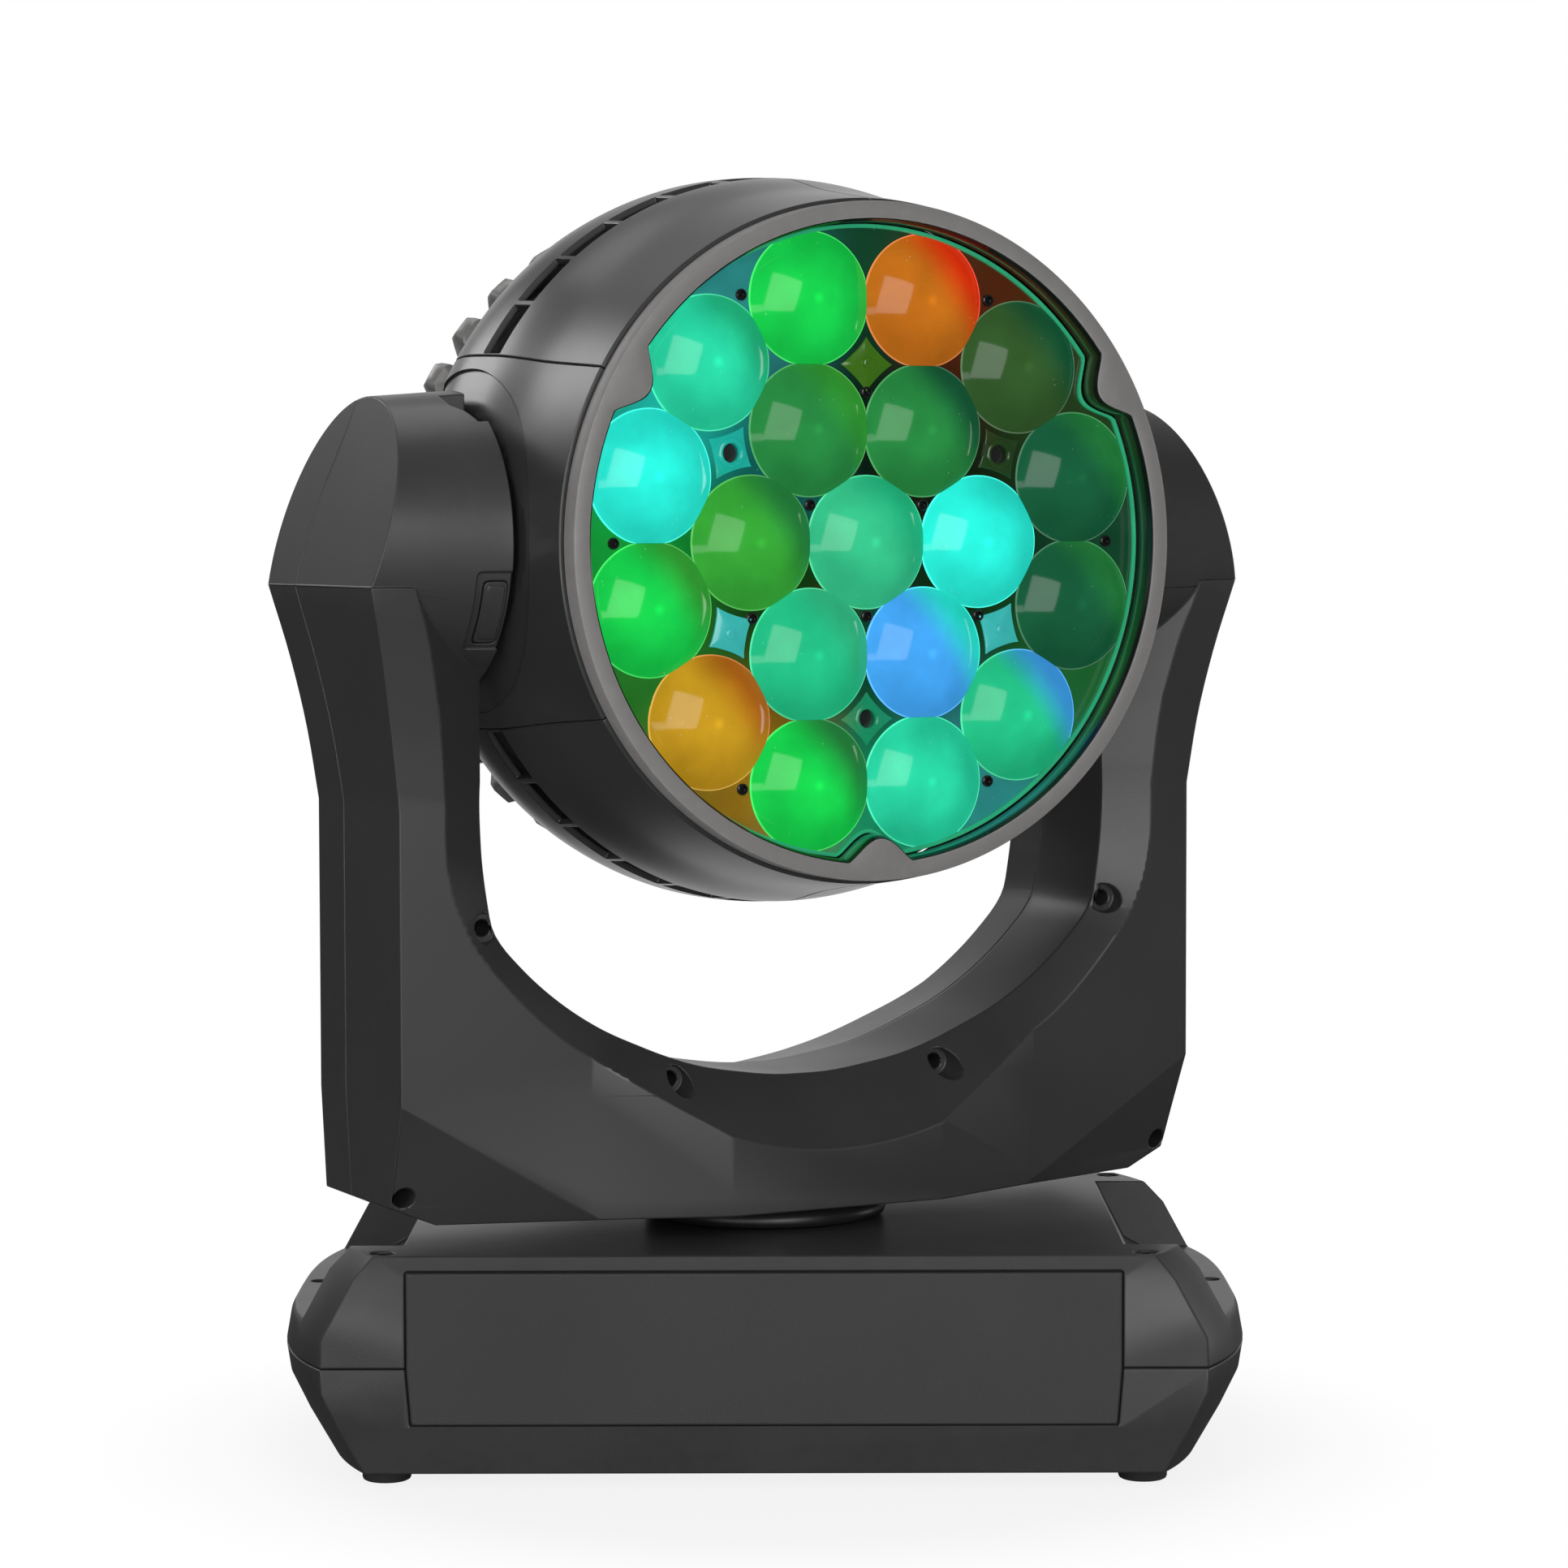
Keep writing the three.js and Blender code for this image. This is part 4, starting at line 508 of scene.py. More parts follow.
def grain_group() -> NodeTree:
    """Moulded grain: rounded cells of a size in millimetres over finer noise.

    Returns:
        The group's tree.
    """
    tree, start, end = new_group("moulded grain", {"Size": 1.0, "Fine": 0.4},
                                 {"Height": "NodeSocketFloat", "Tone": "NodeSocketFloat"})
    place = own_place(tree)
    scale = maths(tree, "DIVIDE", 1 / MM, start.outputs["Size"])
    warp = noise(tree, place, 420.0, 2.0)[1]
    moved = node(tree, "ShaderNodeVectorMath", {0: warp, 3: 0.0009}, operation="SCALE")
    bent = node(tree, "ShaderNodeVectorMath", {0: place, 1: moved.outputs[0]}, operation="ADD")
    cells = node(tree, "ShaderNodeTexVoronoi", {"Vector": bent.outputs[0], "Scale": scale}, feature="SMOOTH_F1")
    fine = noise(tree, place, maths(tree, "MULTIPLY", scale, 2.3), 3.0)[0]
    pebble = maths(tree, "SUBTRACT", 1.0, cells.outputs["Distance"])
    height = maths(tree, "ADD", pebble, maths(tree, "MULTIPLY", fine, start.outputs["Fine"]))
    fill(tree, end, {"Height": height, "Tone": noise(tree, place, 14.0, 4.0)[0]})
    return tree


def wear_and_highlight_group() -> NodeTree:
    """Scuffed edges and painted edge highlight: bright where the surface bends outwards, broken up by noise.

    Returns:
        The group's tree.
    """
    tree, start, end = new_group("edge wear and painted edge highlight", {"Reach": 0.06, "Break": 0.5}, {"Mask": "NodeSocketFloat"})
    place = own_place(tree)
    bend = node(tree, "ShaderNodeNewGeometry").outputs["Pointiness"]
    lifted = maths(tree, "SUBTRACT", bend, 0.52)
    share = maths(tree, "DIVIDE", lifted, start.outputs["Reach"], clamp=True)
    rough = maths(tree, "MULTIPLY", noise(tree, place, 160.0, 5.0)[0], start.outputs["Break"])
    fill(tree, end, {"Mask": maths(tree, "SUBTRACT", share, rough, clamp=True)})
    return tree


def dust_group() -> NodeTree:
    """Dust film: on faces that look up, thicker in patches.

    Returns:
        The group's tree.
    """
    tree, start, end = new_group("dust film", {"Amount": 0.2}, {"Mask": "NodeSocketFloat"})
    place = own_place(tree)
    facing = node(tree, "ShaderNodeNewGeometry").outputs["Normal"]
    up = node(tree, "ShaderNodeSeparateXYZ", {0: facing}).outputs["Z"]
    patch = noise(tree, place, 35.0, 6.0)[0]
    level = maths(tree, "MULTIPLY", maths(tree, "MULTIPLY", up, patch, clamp=True), start.outputs["Amount"])
    fill(tree, end, {"Mask": level})
    return tree


GROUPS = {"grain": grain_group(), "wear_and_highlight": wear_and_highlight_group(), "dust": dust_group()}


def grouped(tree: NodeTree, name: str, values: dict) -> Node:
    """Places one of the shared groups in a material with its own values."""
    return node(tree, "ShaderNodeGroup", values, node_tree=GROUPS[name])


@dataclass(frozen=True)
class Finish:
    """A finish: its slot, its Principled values and how its surface varies.

    Args:
        slot: Material slot of the record.
        name: Name of the finish.
        colour: Linear base colour.
        roughness: Middle roughness.
        metallic: 1 for bare metal.
        grain: Size of the grain cells in millimetres.
        depth: Height of the grain in millimetres.
        wear_and_highlight: How much lighter the edges are, from scuffs and painted edge highlight.
        dust: How much dust lies on top.
        coat: Clear coat weight.
        coat_roughness: Roughness of that coat.
        tone: How far the colour strays to either side.
    """

    slot: str
    name: str
    colour: tuple = (0.04, 0.04, 0.042)
    roughness: float = 0.5
    metallic: float = 0.0
    grain: float = 1.0
    depth: float = 0.02
    wear_and_highlight: float = 0.3
    dust: float = 0.1
    coat: float = 0.0
    coat_roughness: float = 0.05
    tone: float = 0.12

    def material(self) -> Material:
        """The Blender material, made on first use.

        Returns:
            The material of this name.
        """
        made = bpy.data.materials.get(self.name)
        if made:
            return made
        made = bpy.data.materials.new(self.name)
        made.use_nodes = True
        tree = made.node_tree
        shader = tree.nodes["Principled BSDF"]
        fill(tree, shader, {"Metallic": self.metallic, "Coat Weight": self.coat,
                            "Coat Roughness": self.coat_roughness})
        self.paint(tree, shader)
        return made

    def paint(self, tree: NodeTree, shader: Node) -> None:
        """Links grain, tone, scuffed edges with a painted edge highlight, and dust to the shader.

        Args:
            tree: The material's nodes.
            shader: Its Principled shader.
        """
        grain = grouped(tree, "grain", {"Size": self.grain, "Fine": 0.5})
        wear_and_highlight = grouped(tree, "wear_and_highlight", {"Reach": 0.05, "Break": 0.6}).outputs["Mask"]
        dust = grouped(tree, "dust", {"Amount": self.dust}).outputs["Mask"]
        dark = tuple(channel * (1 - self.tone) for channel in self.colour) + (1,)
        light = tuple(channel * (1 + self.tone) for channel in self.colour) + (1,)
        worn_and_lit = tuple(min(1, channel * 2.2 + 0.02) for channel in self.colour) + (1,)
        ground = blend(tree, grain.outputs["Tone"], dark, light)
        speckled = blend(tree, maths(tree, "MULTIPLY", grain.outputs["Height"], 0.3), ground, light)
        # lighter edges: partly scuffs, partly painted edge highlight
        edged = blend(tree, maths(tree, "MULTIPLY", wear_and_highlight, self.wear_and_highlight), speckled, worn_and_lit)
        topped = blend(tree, dust, edged, (0.16, 0.155, 0.15, 1))
        spread = maths(tree, "MULTIPLY", maths(tree, "SUBTRACT", grain.outputs["Tone"], 0.5), 0.25)
        level = maths(tree, "ADD", maths(tree, "ADD", spread, self.roughness),
                      maths(tree, "MULTIPLY", dust, 0.6), clamp=True)
        bump = node(tree, "ShaderNodeBump", {"Height": grain.outputs["Height"], "Strength": 1.0,
                                             "Distance": self.depth * MM})
        fill(tree, shader, {"Base Color": topped, "Roughness": level, "Normal": bump.outputs["Normal"]})


@dataclass(frozen=True)
class LensFinish(Finish):
    """Clear moulding with painted glow: its emission, coloured by its glow_colour attribute, stands in for the light
    behind it.

    Args:
        glow: Strength of the painted glow, the emission of the glow colour.
        body: Share of the glow colour that is its base colour, lit from outside.
        specks: How bright the dust specks are.
        gloss: Strength of its mirror-like reflection.
    """

    glow: float = 0.72
    body: float = 0.35
    specks: float = 0.25
    gloss: float = 0.4

    def paint(self, tree: NodeTree, shader: Node) -> None:
        """Links the glow colour to the base colour and to the emission of the painted glow.

        Args:
            tree: The material's nodes.
            shader: Its Principled shader.
        """
        glow_colour = node(tree, "ShaderNodeAttribute", attribute_name="glow_colour", attribute_type="GEOMETRY")
        place = own_place(tree)
        # painted glow: random brightness of the glow colour; the dust specks mixed in below glow with it
        shade = maths(tree, "ADD", maths(tree, "MULTIPLY", noise(tree, place, 55.0, 4.0)[0], 0.5), 0.75)
        level = node(tree, "ShaderNodeCombineXYZ", {0: shade, 1: shade, 2: shade}).outputs[0]
        colour = blend(tree, 1.0, glow_colour.outputs["Color"], level, "MULTIPLY")
        dots = node(tree, "ShaderNodeTexVoronoi", {"Vector": place, "Scale": 260.0}).outputs["Distance"]
        patch = noise(tree, place, 90.0, 2.0)[0]
        near = maths(tree, "MULTIPLY", maths(tree, "SUBTRACT", 0.09, dots), 30.0, clamp=True)
        shown = maths(tree, "MULTIPLY", maths(tree, "SUBTRACT", patch, 0.52), 6.0, clamp=True)
        mask = maths(tree, "MULTIPLY", maths(tree, "MULTIPLY", near, shown), self.specks)
        speckled = blend(tree, mask, colour, (0.8, 0.9, 0.85, 1))
        lit = blend(tree, 1.0, speckled, (self.body,) * 3 + (1,), "MULTIPLY")
        # the emission is painted glow, which stands in for light behind the lens
        fill(tree, shader, {"Base Color": lit, "Emission Color": speckled, "Emission Strength": self.glow,
                            "Specular IOR Level": self.gloss, "Roughness": self.roughness})


MOULDED = Finish("shell", "charcoal moulding", (0.0215, 0.0215, 0.0225), 0.5, grain=0.8, depth=0.03, coat=0.3,
                 coat_roughness=0.27)
SATIN = Finish("shell", "satin moulding", (0.021, 0.021, 0.022), 0.4, grain=0.8, depth=0.018, coat=0.4,
               coat_roughness=0.24)
MOULDED_ROUGH = Finish("shell", "charcoal strip", (0.0185, 0.0185, 0.0194), 0.56, grain=0.75, depth=0.045, coat=0.3,
                       coat_roughness=0.27)
PANEL = Finish("shell", "charcoal panel", (0.018, 0.018, 0.0188), 0.6, grain=0.7, depth=0.04)
BEZEL = Finish("bezel", "sand blasted bezel", (0.148, 0.143, 0.14), 0.5, grain=0.55, depth=0.05, wear_and_highlight=0.5)
DARK = Finish("dark_plastic", "black moulding", (0.008, 0.008, 0.0085), 0.42, grain=0.6, depth=0.02)
SHEET = Finish("sheet_steel", "zinc sheet", (0.45, 0.46, 0.48), 0.38, metallic=1.0, grain=3.0, depth=0.01)
STEEL = Finish("steel", "ground steel", (0.5, 0.5, 0.51), 0.28, metallic=1.0, grain=0.4, depth=0.004)
CAST = Finish("cast_aluminium", "cast aluminium", (0.24, 0.237, 0.232), 0.42, metallic=0.5, grain=0.7, depth=0.04)
SINK = Finish("sink_aluminium", "drawn aluminium", (0.55, 0.56, 0.58), 0.34, metallic=1.0, grain=0.5, depth=0.01)
CASE = Finish("drive_case", "drive case", (0.08, 0.08, 0.085), 0.45, metallic=0.6, grain=0.7, depth=0.02)
BOARD = Finish("board", "green board", (0.012, 0.075, 0.035), 0.4, grain=2.0, depth=0.02, coat=0.3)
LED_CORE = Finish("led_core", "white board", (0.62, 0.63, 0.6), 0.42, grain=1.5, depth=0.01)
RUBBER = Finish("rubber", "black rubber", (0.016, 0.016, 0.017), 0.82, grain=0.5, depth=0.04)
BUTTON = Finish("button", "grey button", (0.09, 0.09, 0.095), 0.6, grain=0.5, depth=0.02)
LIGHT_ROD = Finish("light_rod", "clear rod", (0.55, 0.72, 0.66), 0.12, grain=3.0, depth=0.004)
MOTOR = Finish("motor_case", "motor case", (0.2, 0.2, 0.21), 0.4, metallic=0.8, grain=0.5, depth=0.01)
LENS_PLATE = LensFinish("lens", "lens plate with painted glow", roughness=0.16, glow=0.5, body=0.5, specks=0.12)
LENS_BACK = Finish("lens", "moulded lens plate", (0.02, 0.14, 0.1), 0.2, grain=2.5, depth=0.01, coat=0.6)
LIP = LensFinish("dark_plastic", "lip with painted reflection", roughness=0.14, glow=0.35, body=0.5, specks=0.05)
LENS = LensFinish("lens", "lens dome", roughness=0.085, gloss=0.19)
SCREW = Finish("steel", "black screw", (0.03, 0.03, 0.032), 0.34, metallic=0.9, grain=0.5, depth=0.01)
PIN = Finish("dark_plastic", "black pin", (0.002, 0.002, 0.002), 0.22, grain=0.5, depth=0.002)
GLASS = Finish("board", "display window", (0.006, 0.007, 0.008), 0.08, grain=4.0, depth=0.002, coat=1.0)
CONTACT = Finish("dark_plastic", "socket contact", (0.4, 0.38, 0.3), 0.3, metallic=1.0, grain=0.5, depth=0.005)


# Painted glow colours of the lit face

class GlowColour(Enum):
    """Painted glow colours of lenses and lens plate, standing in for the light behind them, as 8-bit screen values.
    """

    BLACK = (14, 16, 16)
    MINT = (52, 186, 132)
    JADE = (34, 184, 128)
    AQUA = (40, 232, 212)
    SKY = (66, 160, 236)
    LEAF = (52, 158, 52)
    MOSS = (38, 130, 62)
    PINE = (22, 88, 56)
    OLIVE = (48, 84, 40)
    EMERALD = (22, 200, 74)
    AMBER = (184, 104, 24)
    FIRE = (236, 52, 16)
    GOLD = (188, 144, 30)
    TEAL = (58, 176, 172)
    SPRAY = (40, 206, 158)
    RUST = (104, 48, 18)
    GRASS = (58, 104, 22)

    def linear(self) -> tuple:
        """The colour as linear red, green and blue."""
        share = np.array(self.value) / 255
        return tuple(np.where(share > 0.04045, ((share + 0.055) / 1.055) ** 2.4, share / 12.92))


PLATE_GLOWS = (GlowColour.PINE, GlowColour.OLIVE, GlowColour.RUST, GlowColour.PINE, GlowColour.TEAL, GlowColour.AQUA, GlowColour.EMERALD, GlowColour.LEAF,
               GlowColour.GOLD, GlowColour.JADE, GlowColour.TEAL, GlowColour.MOSS)


def head_points(piece: Object) -> np.ndarray:
    """The piece's mesh points in the head's millimetres.

    Args:
        piece: The piece.

    Returns:
        One point per vertex.
    """
    place = np.empty(len(piece.data.vertices) * 3)
    piece.data.vertices.foreach_get("co", place)
    return Station.HEAD.to_local(place.reshape(-1, 3))


def around(local: np.ndarray, strength: float) -> np.ndarray:
    """Painted glow colour round the face: the plate's glow colours blended by angle about the beam.

    Args:
        local: Points of the head.
        strength: Brightness against the plain glow colours.

    Returns:
        Red, green and blue of each point.
    """
    turn = np.degrees(np.arctan2(local[:, 2], local[:, 0])) % 360 / 30
    glows = np.array([glow_colour.linear() for glow_colour in PLATE_GLOWS])
    first = np.floor(turn).astype(int) % 12
    share = ease(turn - np.floor(turn), 0.0, 1.0)[:, None]
    return strength * (glows[first] * (1 - share) + glows[(first + 1) % 12] * share)


def glow_painted(piece: Object, colour: np.ndarray) -> None:
    """Gives each point of a piece its painted glow colour."""
    glow_colour = piece.data.attributes.new("glow_colour", "FLOAT_COLOR", "POINT")
    glow_colour.data.foreach_set("color", np.concatenate([colour, np.ones((len(colour), 1))], axis=1).ravel())


# Base

@dataclass
class BaseHousing:
    """Two-part moulded base with scooped ends, blank front panel, rear panel and feet."""

    heights: tuple = (7.7, 29.0, 43.0, 53.4, 66.0, 91.0, 100.7)
    corners: tuple = (169.3, 180.4, 187.1, 187.3, 186.7, 173.1, 165.0)
    middles: tuple = (189.9, 201.9, 208.9, 210.8, 208.5, 195.0, 187.0)
    depths: tuple = (118.1, 123.0, 123.0, 123.0, 123.0, 123.0, 118.1)
    curve_power: float = 2.9
    curve_steps: int = 40
    wall: float = 3.5
    seam: float = 53.4
    past_seam: float = 4.0
    top: float = 100.7
    scoop_half: float = 90.0
    scoop: tuple = ((154.0, 100.7), (167.0, 75.0), (176.0, 70.0))
    panel: tuple = ((149.4, 29.0), (151.3, 52.7), (151.3, 94.6))
    recess: float = 121.0
    panel_face: float = 123.7
    panel_corner: float = 1.2
    panel_gap: float = 0.45
    panel_chamfer: float = 0.6
    panel_middle: float = 60.0
    gap: float = 0.3
    outside: float = 130.0
    inside: float = 110.0
    window_inset: float = 7.0
    window_depth: float = 113.0
    hub: float = 45.3
    hub_cut: tuple = (88.0, 108.0)
    floor_half: tuple = (138.0, 82.0)
    floor_corner: float = 6.0
    floor_cut: float = 14.0
    stem_radius: float = 4.3
    foot_places: tuple = ((-162.0, 91.0), (162.0, 91.0), (162.0, -91.0), (-162.0, -91.0))
    strip_screw: tuple = (161.6, 110.1)
    ledge_screw: float = 199.2
    pocket_radius: tuple = (5.0, 4.2)
    pocket_depth: float = 2.6
    display: tuple = (52.0, 68.0)
    display_half: tuple = (28.0, 14.0)
    row: float = 61.0
    mains: tuple = (-120.0, -84.0)
    data: tuple = (-48.0, -14.0)
    mains_radius: float = 12.5
    data_radius: float = 11.2
    socket_profile: tuple = ((0, 0, 26), (1, 0, 26), (1, 0, -0.3), (1, 3, -0.3), (1, 3, -1.5), (1, -2.2, -1.5),
                             (1, -2.2, 18), (0, 0, 18))
    well_wall: float = 2.2
    insert_gap: float = 1.6
    insert_span: tuple = (7, 19)
    contact_gap: float = 0.5
    contact_hole: tuple = (2, 12)
    contact_span: tuple = (8, 15)
    key_depths: tuple = (-116.6, -124.6, -125.3, -125.7, -125.4)
    key_halves: tuple = (4.9, 4.9, 4.4, 3.6, 1.5)
    key_corner: float = 1.4
    key_hole: tuple = (5.3, 1.6)
    blades: tuple = ((-4.0, 3.0), (4.0, 3.0), (0.0, -4.6))
    round_pins: tuple = (4.4, (40, 110, 180, 250, 320))
    pin_radii: tuple = (1.5, 0.9)
    foot_profile: tuple = ((2.6, 3.0), (2.6, 0.4), (3.2, 0), (6.4, 0), (6.8, 0.5), (7.2, 0.5), (7.6, 0), (9.2, 0),
                           (10.1, 0.5), (10.5, 1.5), (10.3, 7.0), (9.9, 7.4), (4.0, 7.4), (4.0, 11.6), (0, 11.6),
                           (0, 3.0))
    keys: tuple = (("up", 98.0, 76.0), ("down", 98.0, 60.0), ("back", 114.0, 76.0), ("enter", 114.0, 60.0))

    def skin(self, inset: float, low: float, high: float) -> Shape:
        """The base skin between two heights.

        Each end is middle - (middle - corner) |t|^power, with t from -1 to 1 over the depth.

        Args:
            inset: How far the skin lies inside the outer one.
            low: Lowest height.
            high: Highest height.

        Returns:
            The closed body.
        """
        inner = [height for height in self.heights if low < height < high]
        height = np.array([low, *inner, high])
        middle = (np.interp(height, self.heights, self.middles) - inset)[:, None]
        corner = (np.interp(height, self.heights, self.corners) - inset)[:, None]
        depth = (np.interp(height, self.heights, self.depths) - inset)[:, None]
        share = np.linspace(-1, 1, self.curve_steps + 1)[None, :]
        end = middle - (middle - corner) * np.abs(share) ** self.curve_power
        across = np.concatenate([end, -end[:, ::-1]], axis=1)
        forward = np.concatenate([share * depth, (share * depth)[:, ::-1]], axis=1)
        return loft(Axis.UP.lift(across, forward, height[:, None]))

    def scoop_tool(self, side: int, inset: float) -> Shape:
        """The room that a scooped end leaves, on one side.

        Args:
            side: 1 right, -1 left.
            inset: How far it reaches inside the outer skin.

        Returns:
            The closed tool.
        """
        (x0, z0), (x1, z1), (x2, z2) = self.scoop
        points = [(x0 - inset, z0 + 8), (x0 - inset, z0 - inset), (x1 - inset, z1 - inset),
                  (x2, z2 - inset), (240, z2 - inset), (240, z0 + 8)]
        outline = np.array([(side * x, z) for x, z in points])
        reach = self.scoop_half + inset
        return extrude(outline, -reach, reach, Axis.FORWARD)

    def panel_outline(self, inset: float) -> np.ndarray:
        """Outline of a panel or its recess.

        Args:
            inset: How far it is drawn in.

        Returns:
            Rounded outline points.
        """
        (x0, z0), (x1, z1), (x2, z2) = self.panel
        right = [(x0 - inset, z0 + inset), (x1 - inset, z1), (x2 - inset, z2 - inset)]
        return soft_edged(right + [(-x, z) for x, z in reversed(right)], self.panel_corner)

    def recess_tools(self) -> list:
        """Room of the shallow recesses of both panels and of the window behind the rear one.

        Returns:
            The three tools.
        """
        return [extrude(self.panel_outline(0), self.recess, self.outside, Axis.FORWARD),
                extrude(self.panel_outline(0), -self.outside, -self.recess, Axis.FORWARD),
                extrude(self.panel_outline(self.window_inset), -self.outside, -self.window_depth, Axis.FORWARD)]

    def lower_shell(self) -> None:
        """The lower shell with its floor opening and foot holes."""
        bottom = self.heights[0]
        shell = make("base_lower_shell_dressed", self.skin(0, bottom, self.seam - SEAM / 2), Station.BASE)
        hollow = self.skin(self.wall, bottom + self.wall, self.seam + self.past_seam)
        floor = extrude(rounded_box(self.floor_half, self.floor_corner), 0, self.floor_cut, Axis.UP)
        stems = [rod(self.stem_radius, 0, self.floor_cut, Axis.UP, place, 24) for place in self.foot_places]
        worked(shell, Station.BASE, [hollow, floor, *stems, *self.recess_tools()])
        dressed(shell, MOULDED, "base", ["base_lower_shell"], edge=0.7)

    def upper_shell(self) -> None:
        """The upper shell with scooped ends, screw pockets and the hub hole."""
        shell = make("base_upper_shell_dressed", self.skin(0, self.seam + SEAM / 2, self.top), Station.BASE)
        room = make("room", self.skin(self.wall, self.seam - self.past_seam, self.top - self.wall), Station.BASE)
        worked(room, Station.BASE, [self.scoop_tool(side, self.wall) for side in (-1, 1)])
        worked_with(shell, room)
        tools = [self.scoop_tool(side, 0) for side in (-1, 1)]
        tools += [rod(self.hub, *self.hub_cut, Axis.UP, (0, 0), 72)] + self.recess_tools()
        tools += [self.pocket(*place) for place in self.screw_places()]
        worked(shell, Station.BASE, tools)
        dressed(shell, MOULDED_ROUGH, "base", ["base_upper_shell"], edge=0.7)

    def screw_places(self) -> list:
        """Mouth of each screw pocket and its radius.

        Returns:
            Two places, height and radius of each.
        """
        x, y = self.strip_screw
        strip, ledge = self.pocket_radius
        strips = [(side * x, way * y, self.top, strip) for side in (-1, 1) for way in (-1, 1)]
        return strips + [(side * self.ledge_screw, 0.0, 70.0, ledge) for side in (-1, 1)]

    def pocket(self, x: float, y: float, z: float, radius: float) -> Shape:
        """A round screw pocket."""
        return rod(radius, z - self.pocket_depth, z + 4, Axis.UP, (x, y), 40)

    def screws(self) -> None:
        """Socket head screws sunk in the pockets."""
        heads = [screw_head(radius - 0.9, Axis.UP, (x, y, z - self.pocket_depth))
                 for x, y, z, radius in self.screw_places()]
        dressed(make("base_screws", together(heads), Station.BASE), SCREW, "base", edge=0)

    def front_panel(self) -> None:
        """The blank front panel, slightly proud of its recess."""
        outline = self.panel_outline(self.panel_gap)
        drawn = outline + np.sign(np.array([0, self.panel_middle]) - outline) * self.panel_chamfer
        rings = [Axis.FORWARD.lift(ring[:, 0], ring[:, 1], place)
                 for ring, place in ((outline, self.recess + self.gap),
                                     (outline, self.panel_face - self.panel_chamfer), (drawn, self.panel_face))]
        panel = make("front_panel_dressed", loft(np.stack(rings)), Station.BASE)
        dressed(panel, PANEL, "base", ["front_panel"], edge=0.3)

    def rear_panel(self) -> None:
        """The rear panel with its window, key holes and socket holes."""
        slab = extrude(self.panel_outline(self.panel_gap), -self.panel_face, -self.recess - self.gap, Axis.FORWARD)
        panel = make("rear_panel_dressed", slab, Station.BASE)
        sockets = [(self.mains_radius, x) for x in self.mains] + [(self.data_radius, x) for x in self.data]
        outlines = [circle(radius + self.gap, 48, (x, self.row)) for radius, x in sockets]
        half = (self.display_half[0] + self.gap, self.display_half[1] + self.gap)
        outlines.append(rounded_box(half, 1.5, self.display))
        size, corner = self.key_hole
        outlines += [rounded_box((size, size), corner, place[1:]) for place in self.keys]
        worked(panel, Station.BASE, [extrude(outline, -self.outside, -self.inside, Axis.FORWARD)
                                     for outline in outlines])
        dressed(panel, PANEL, "base", ["rear_panel"], edge=0.4)

    def window(self) -> None:
        """Glossy window over the display."""
        half = (self.display_half[0] - 0.2, self.display_half[1] - 0.2)
        pane = extrude(rounded_box(half, 1.3, self.display), -self.panel_face - 0.1, -self.panel_face + 2,
                       Axis.FORWARD)
        dressed(make("display_window", pane, Station.BASE), GLASS, "base", edge=0.25)

    def key(self, name: str, x: float, z: float) -> None:
        """One menu key with a dished top.

        Args:
            name: Which key it is.
            x: Place along the base.
            z: Height.
        """
        rings = [Axis.FORWARD.lift(*(rounded_box((size, size), min(self.key_corner, size * 0.4), (x, z)).T), along)
                 for size, along in zip(self.key_halves, self.key_depths)]
        key = make(f"menu_key_{name}", loft(np.stack(rings)), Station.BASE)
        dressed(key, BUTTON, f"key_{name}", [f"menu_button_{name}"], edge=0)

    def socket(self, name: str, x: float, radius: float, pins: Sequence, pin_radius: float) -> None:
        """A chassis socket: flange, deep well, insert and contacts.

        Args:
            name: CAD node that it stands for.
            x: Place along the base.
            radius: Radius of the barrel.
            pins: Contact places about the middle.
            pin_radius: Radius of a contact.
        """
        face = -self.panel_face

        def bar(size: float, span: Sequence, across: float, up: float, steps: int) -> Shape:
            """A round bar at a place about the socket's middle, its span measured from the panel's face."""
            return rod(size, face + span[0], face + span[1], Axis.FORWARD, (x + across, self.row + up), steps)

        profile = soft_edged([(share * radius + more, face + deep) for share, more, deep in self.socket_profile],
                             0.4, 2)
        profile = np.array([(max(0.0, r), along) for r, along in profile])
        shell = make(f"{name}_dressed", turned(profile, 56, Axis.FORWARD, (x, 0, self.row)), Station.BASE)
        insert = bar(radius - self.well_wall - self.insert_gap, self.insert_span, 0, 0, 40)
        worked(shell, Station.BASE, [insert], Cut.ADD)
        worked(shell, Station.BASE, [bar(pin_radius + self.contact_gap, self.contact_hole, *place, 16)
                                     for place in pins])
        contacts = together(bar(pin_radius, self.contact_span, *place, 16) for place in pins)
        dressed(make(f"{name}_contacts", contacts, Station.BASE), CONTACT, "base", edge=0)
        dressed(shell, DARK, "base", [name], edge=0)

    def foot(self, index: int, place: Sequence) -> None:
        """A rubber foot with rounded rim, grip rings and a sunk screw hole."""
        foot = make(f"foot_{index}_dressed", turned(self.foot_profile, 48, Axis.UP, (*place, 0)), Station.BASE)
        dressed(foot, RUBBER, "base", [f"foot_{index}"], edge=0)

    def build(self) -> None:
        """Makes every piece of the base."""
        self.lower_shell()
        self.upper_shell()
        self.screws()
        self.front_panel()
        self.rear_panel()
        self.window()
        for name, x, z in self.keys:
            self.key(name, x, z)
        ring, angles = self.round_pins
        round_pins = [(ring * math.cos(a), ring * math.sin(a)) for a in np.radians(angles)]
        blade, pin = self.pin_radii
        for name, x in zip(("mains_inlet", "mains_outlet"), self.mains):
            self.socket(name, x, self.mains_radius, self.blades, blade)
        for name, x in zip(("data_inlet", "data_outlet"), self.data):
            self.socket(name, x, self.data_radius, round_pins, pin)
        for index, place in enumerate(self.foot_places):
            self.foot(index + 1, place)


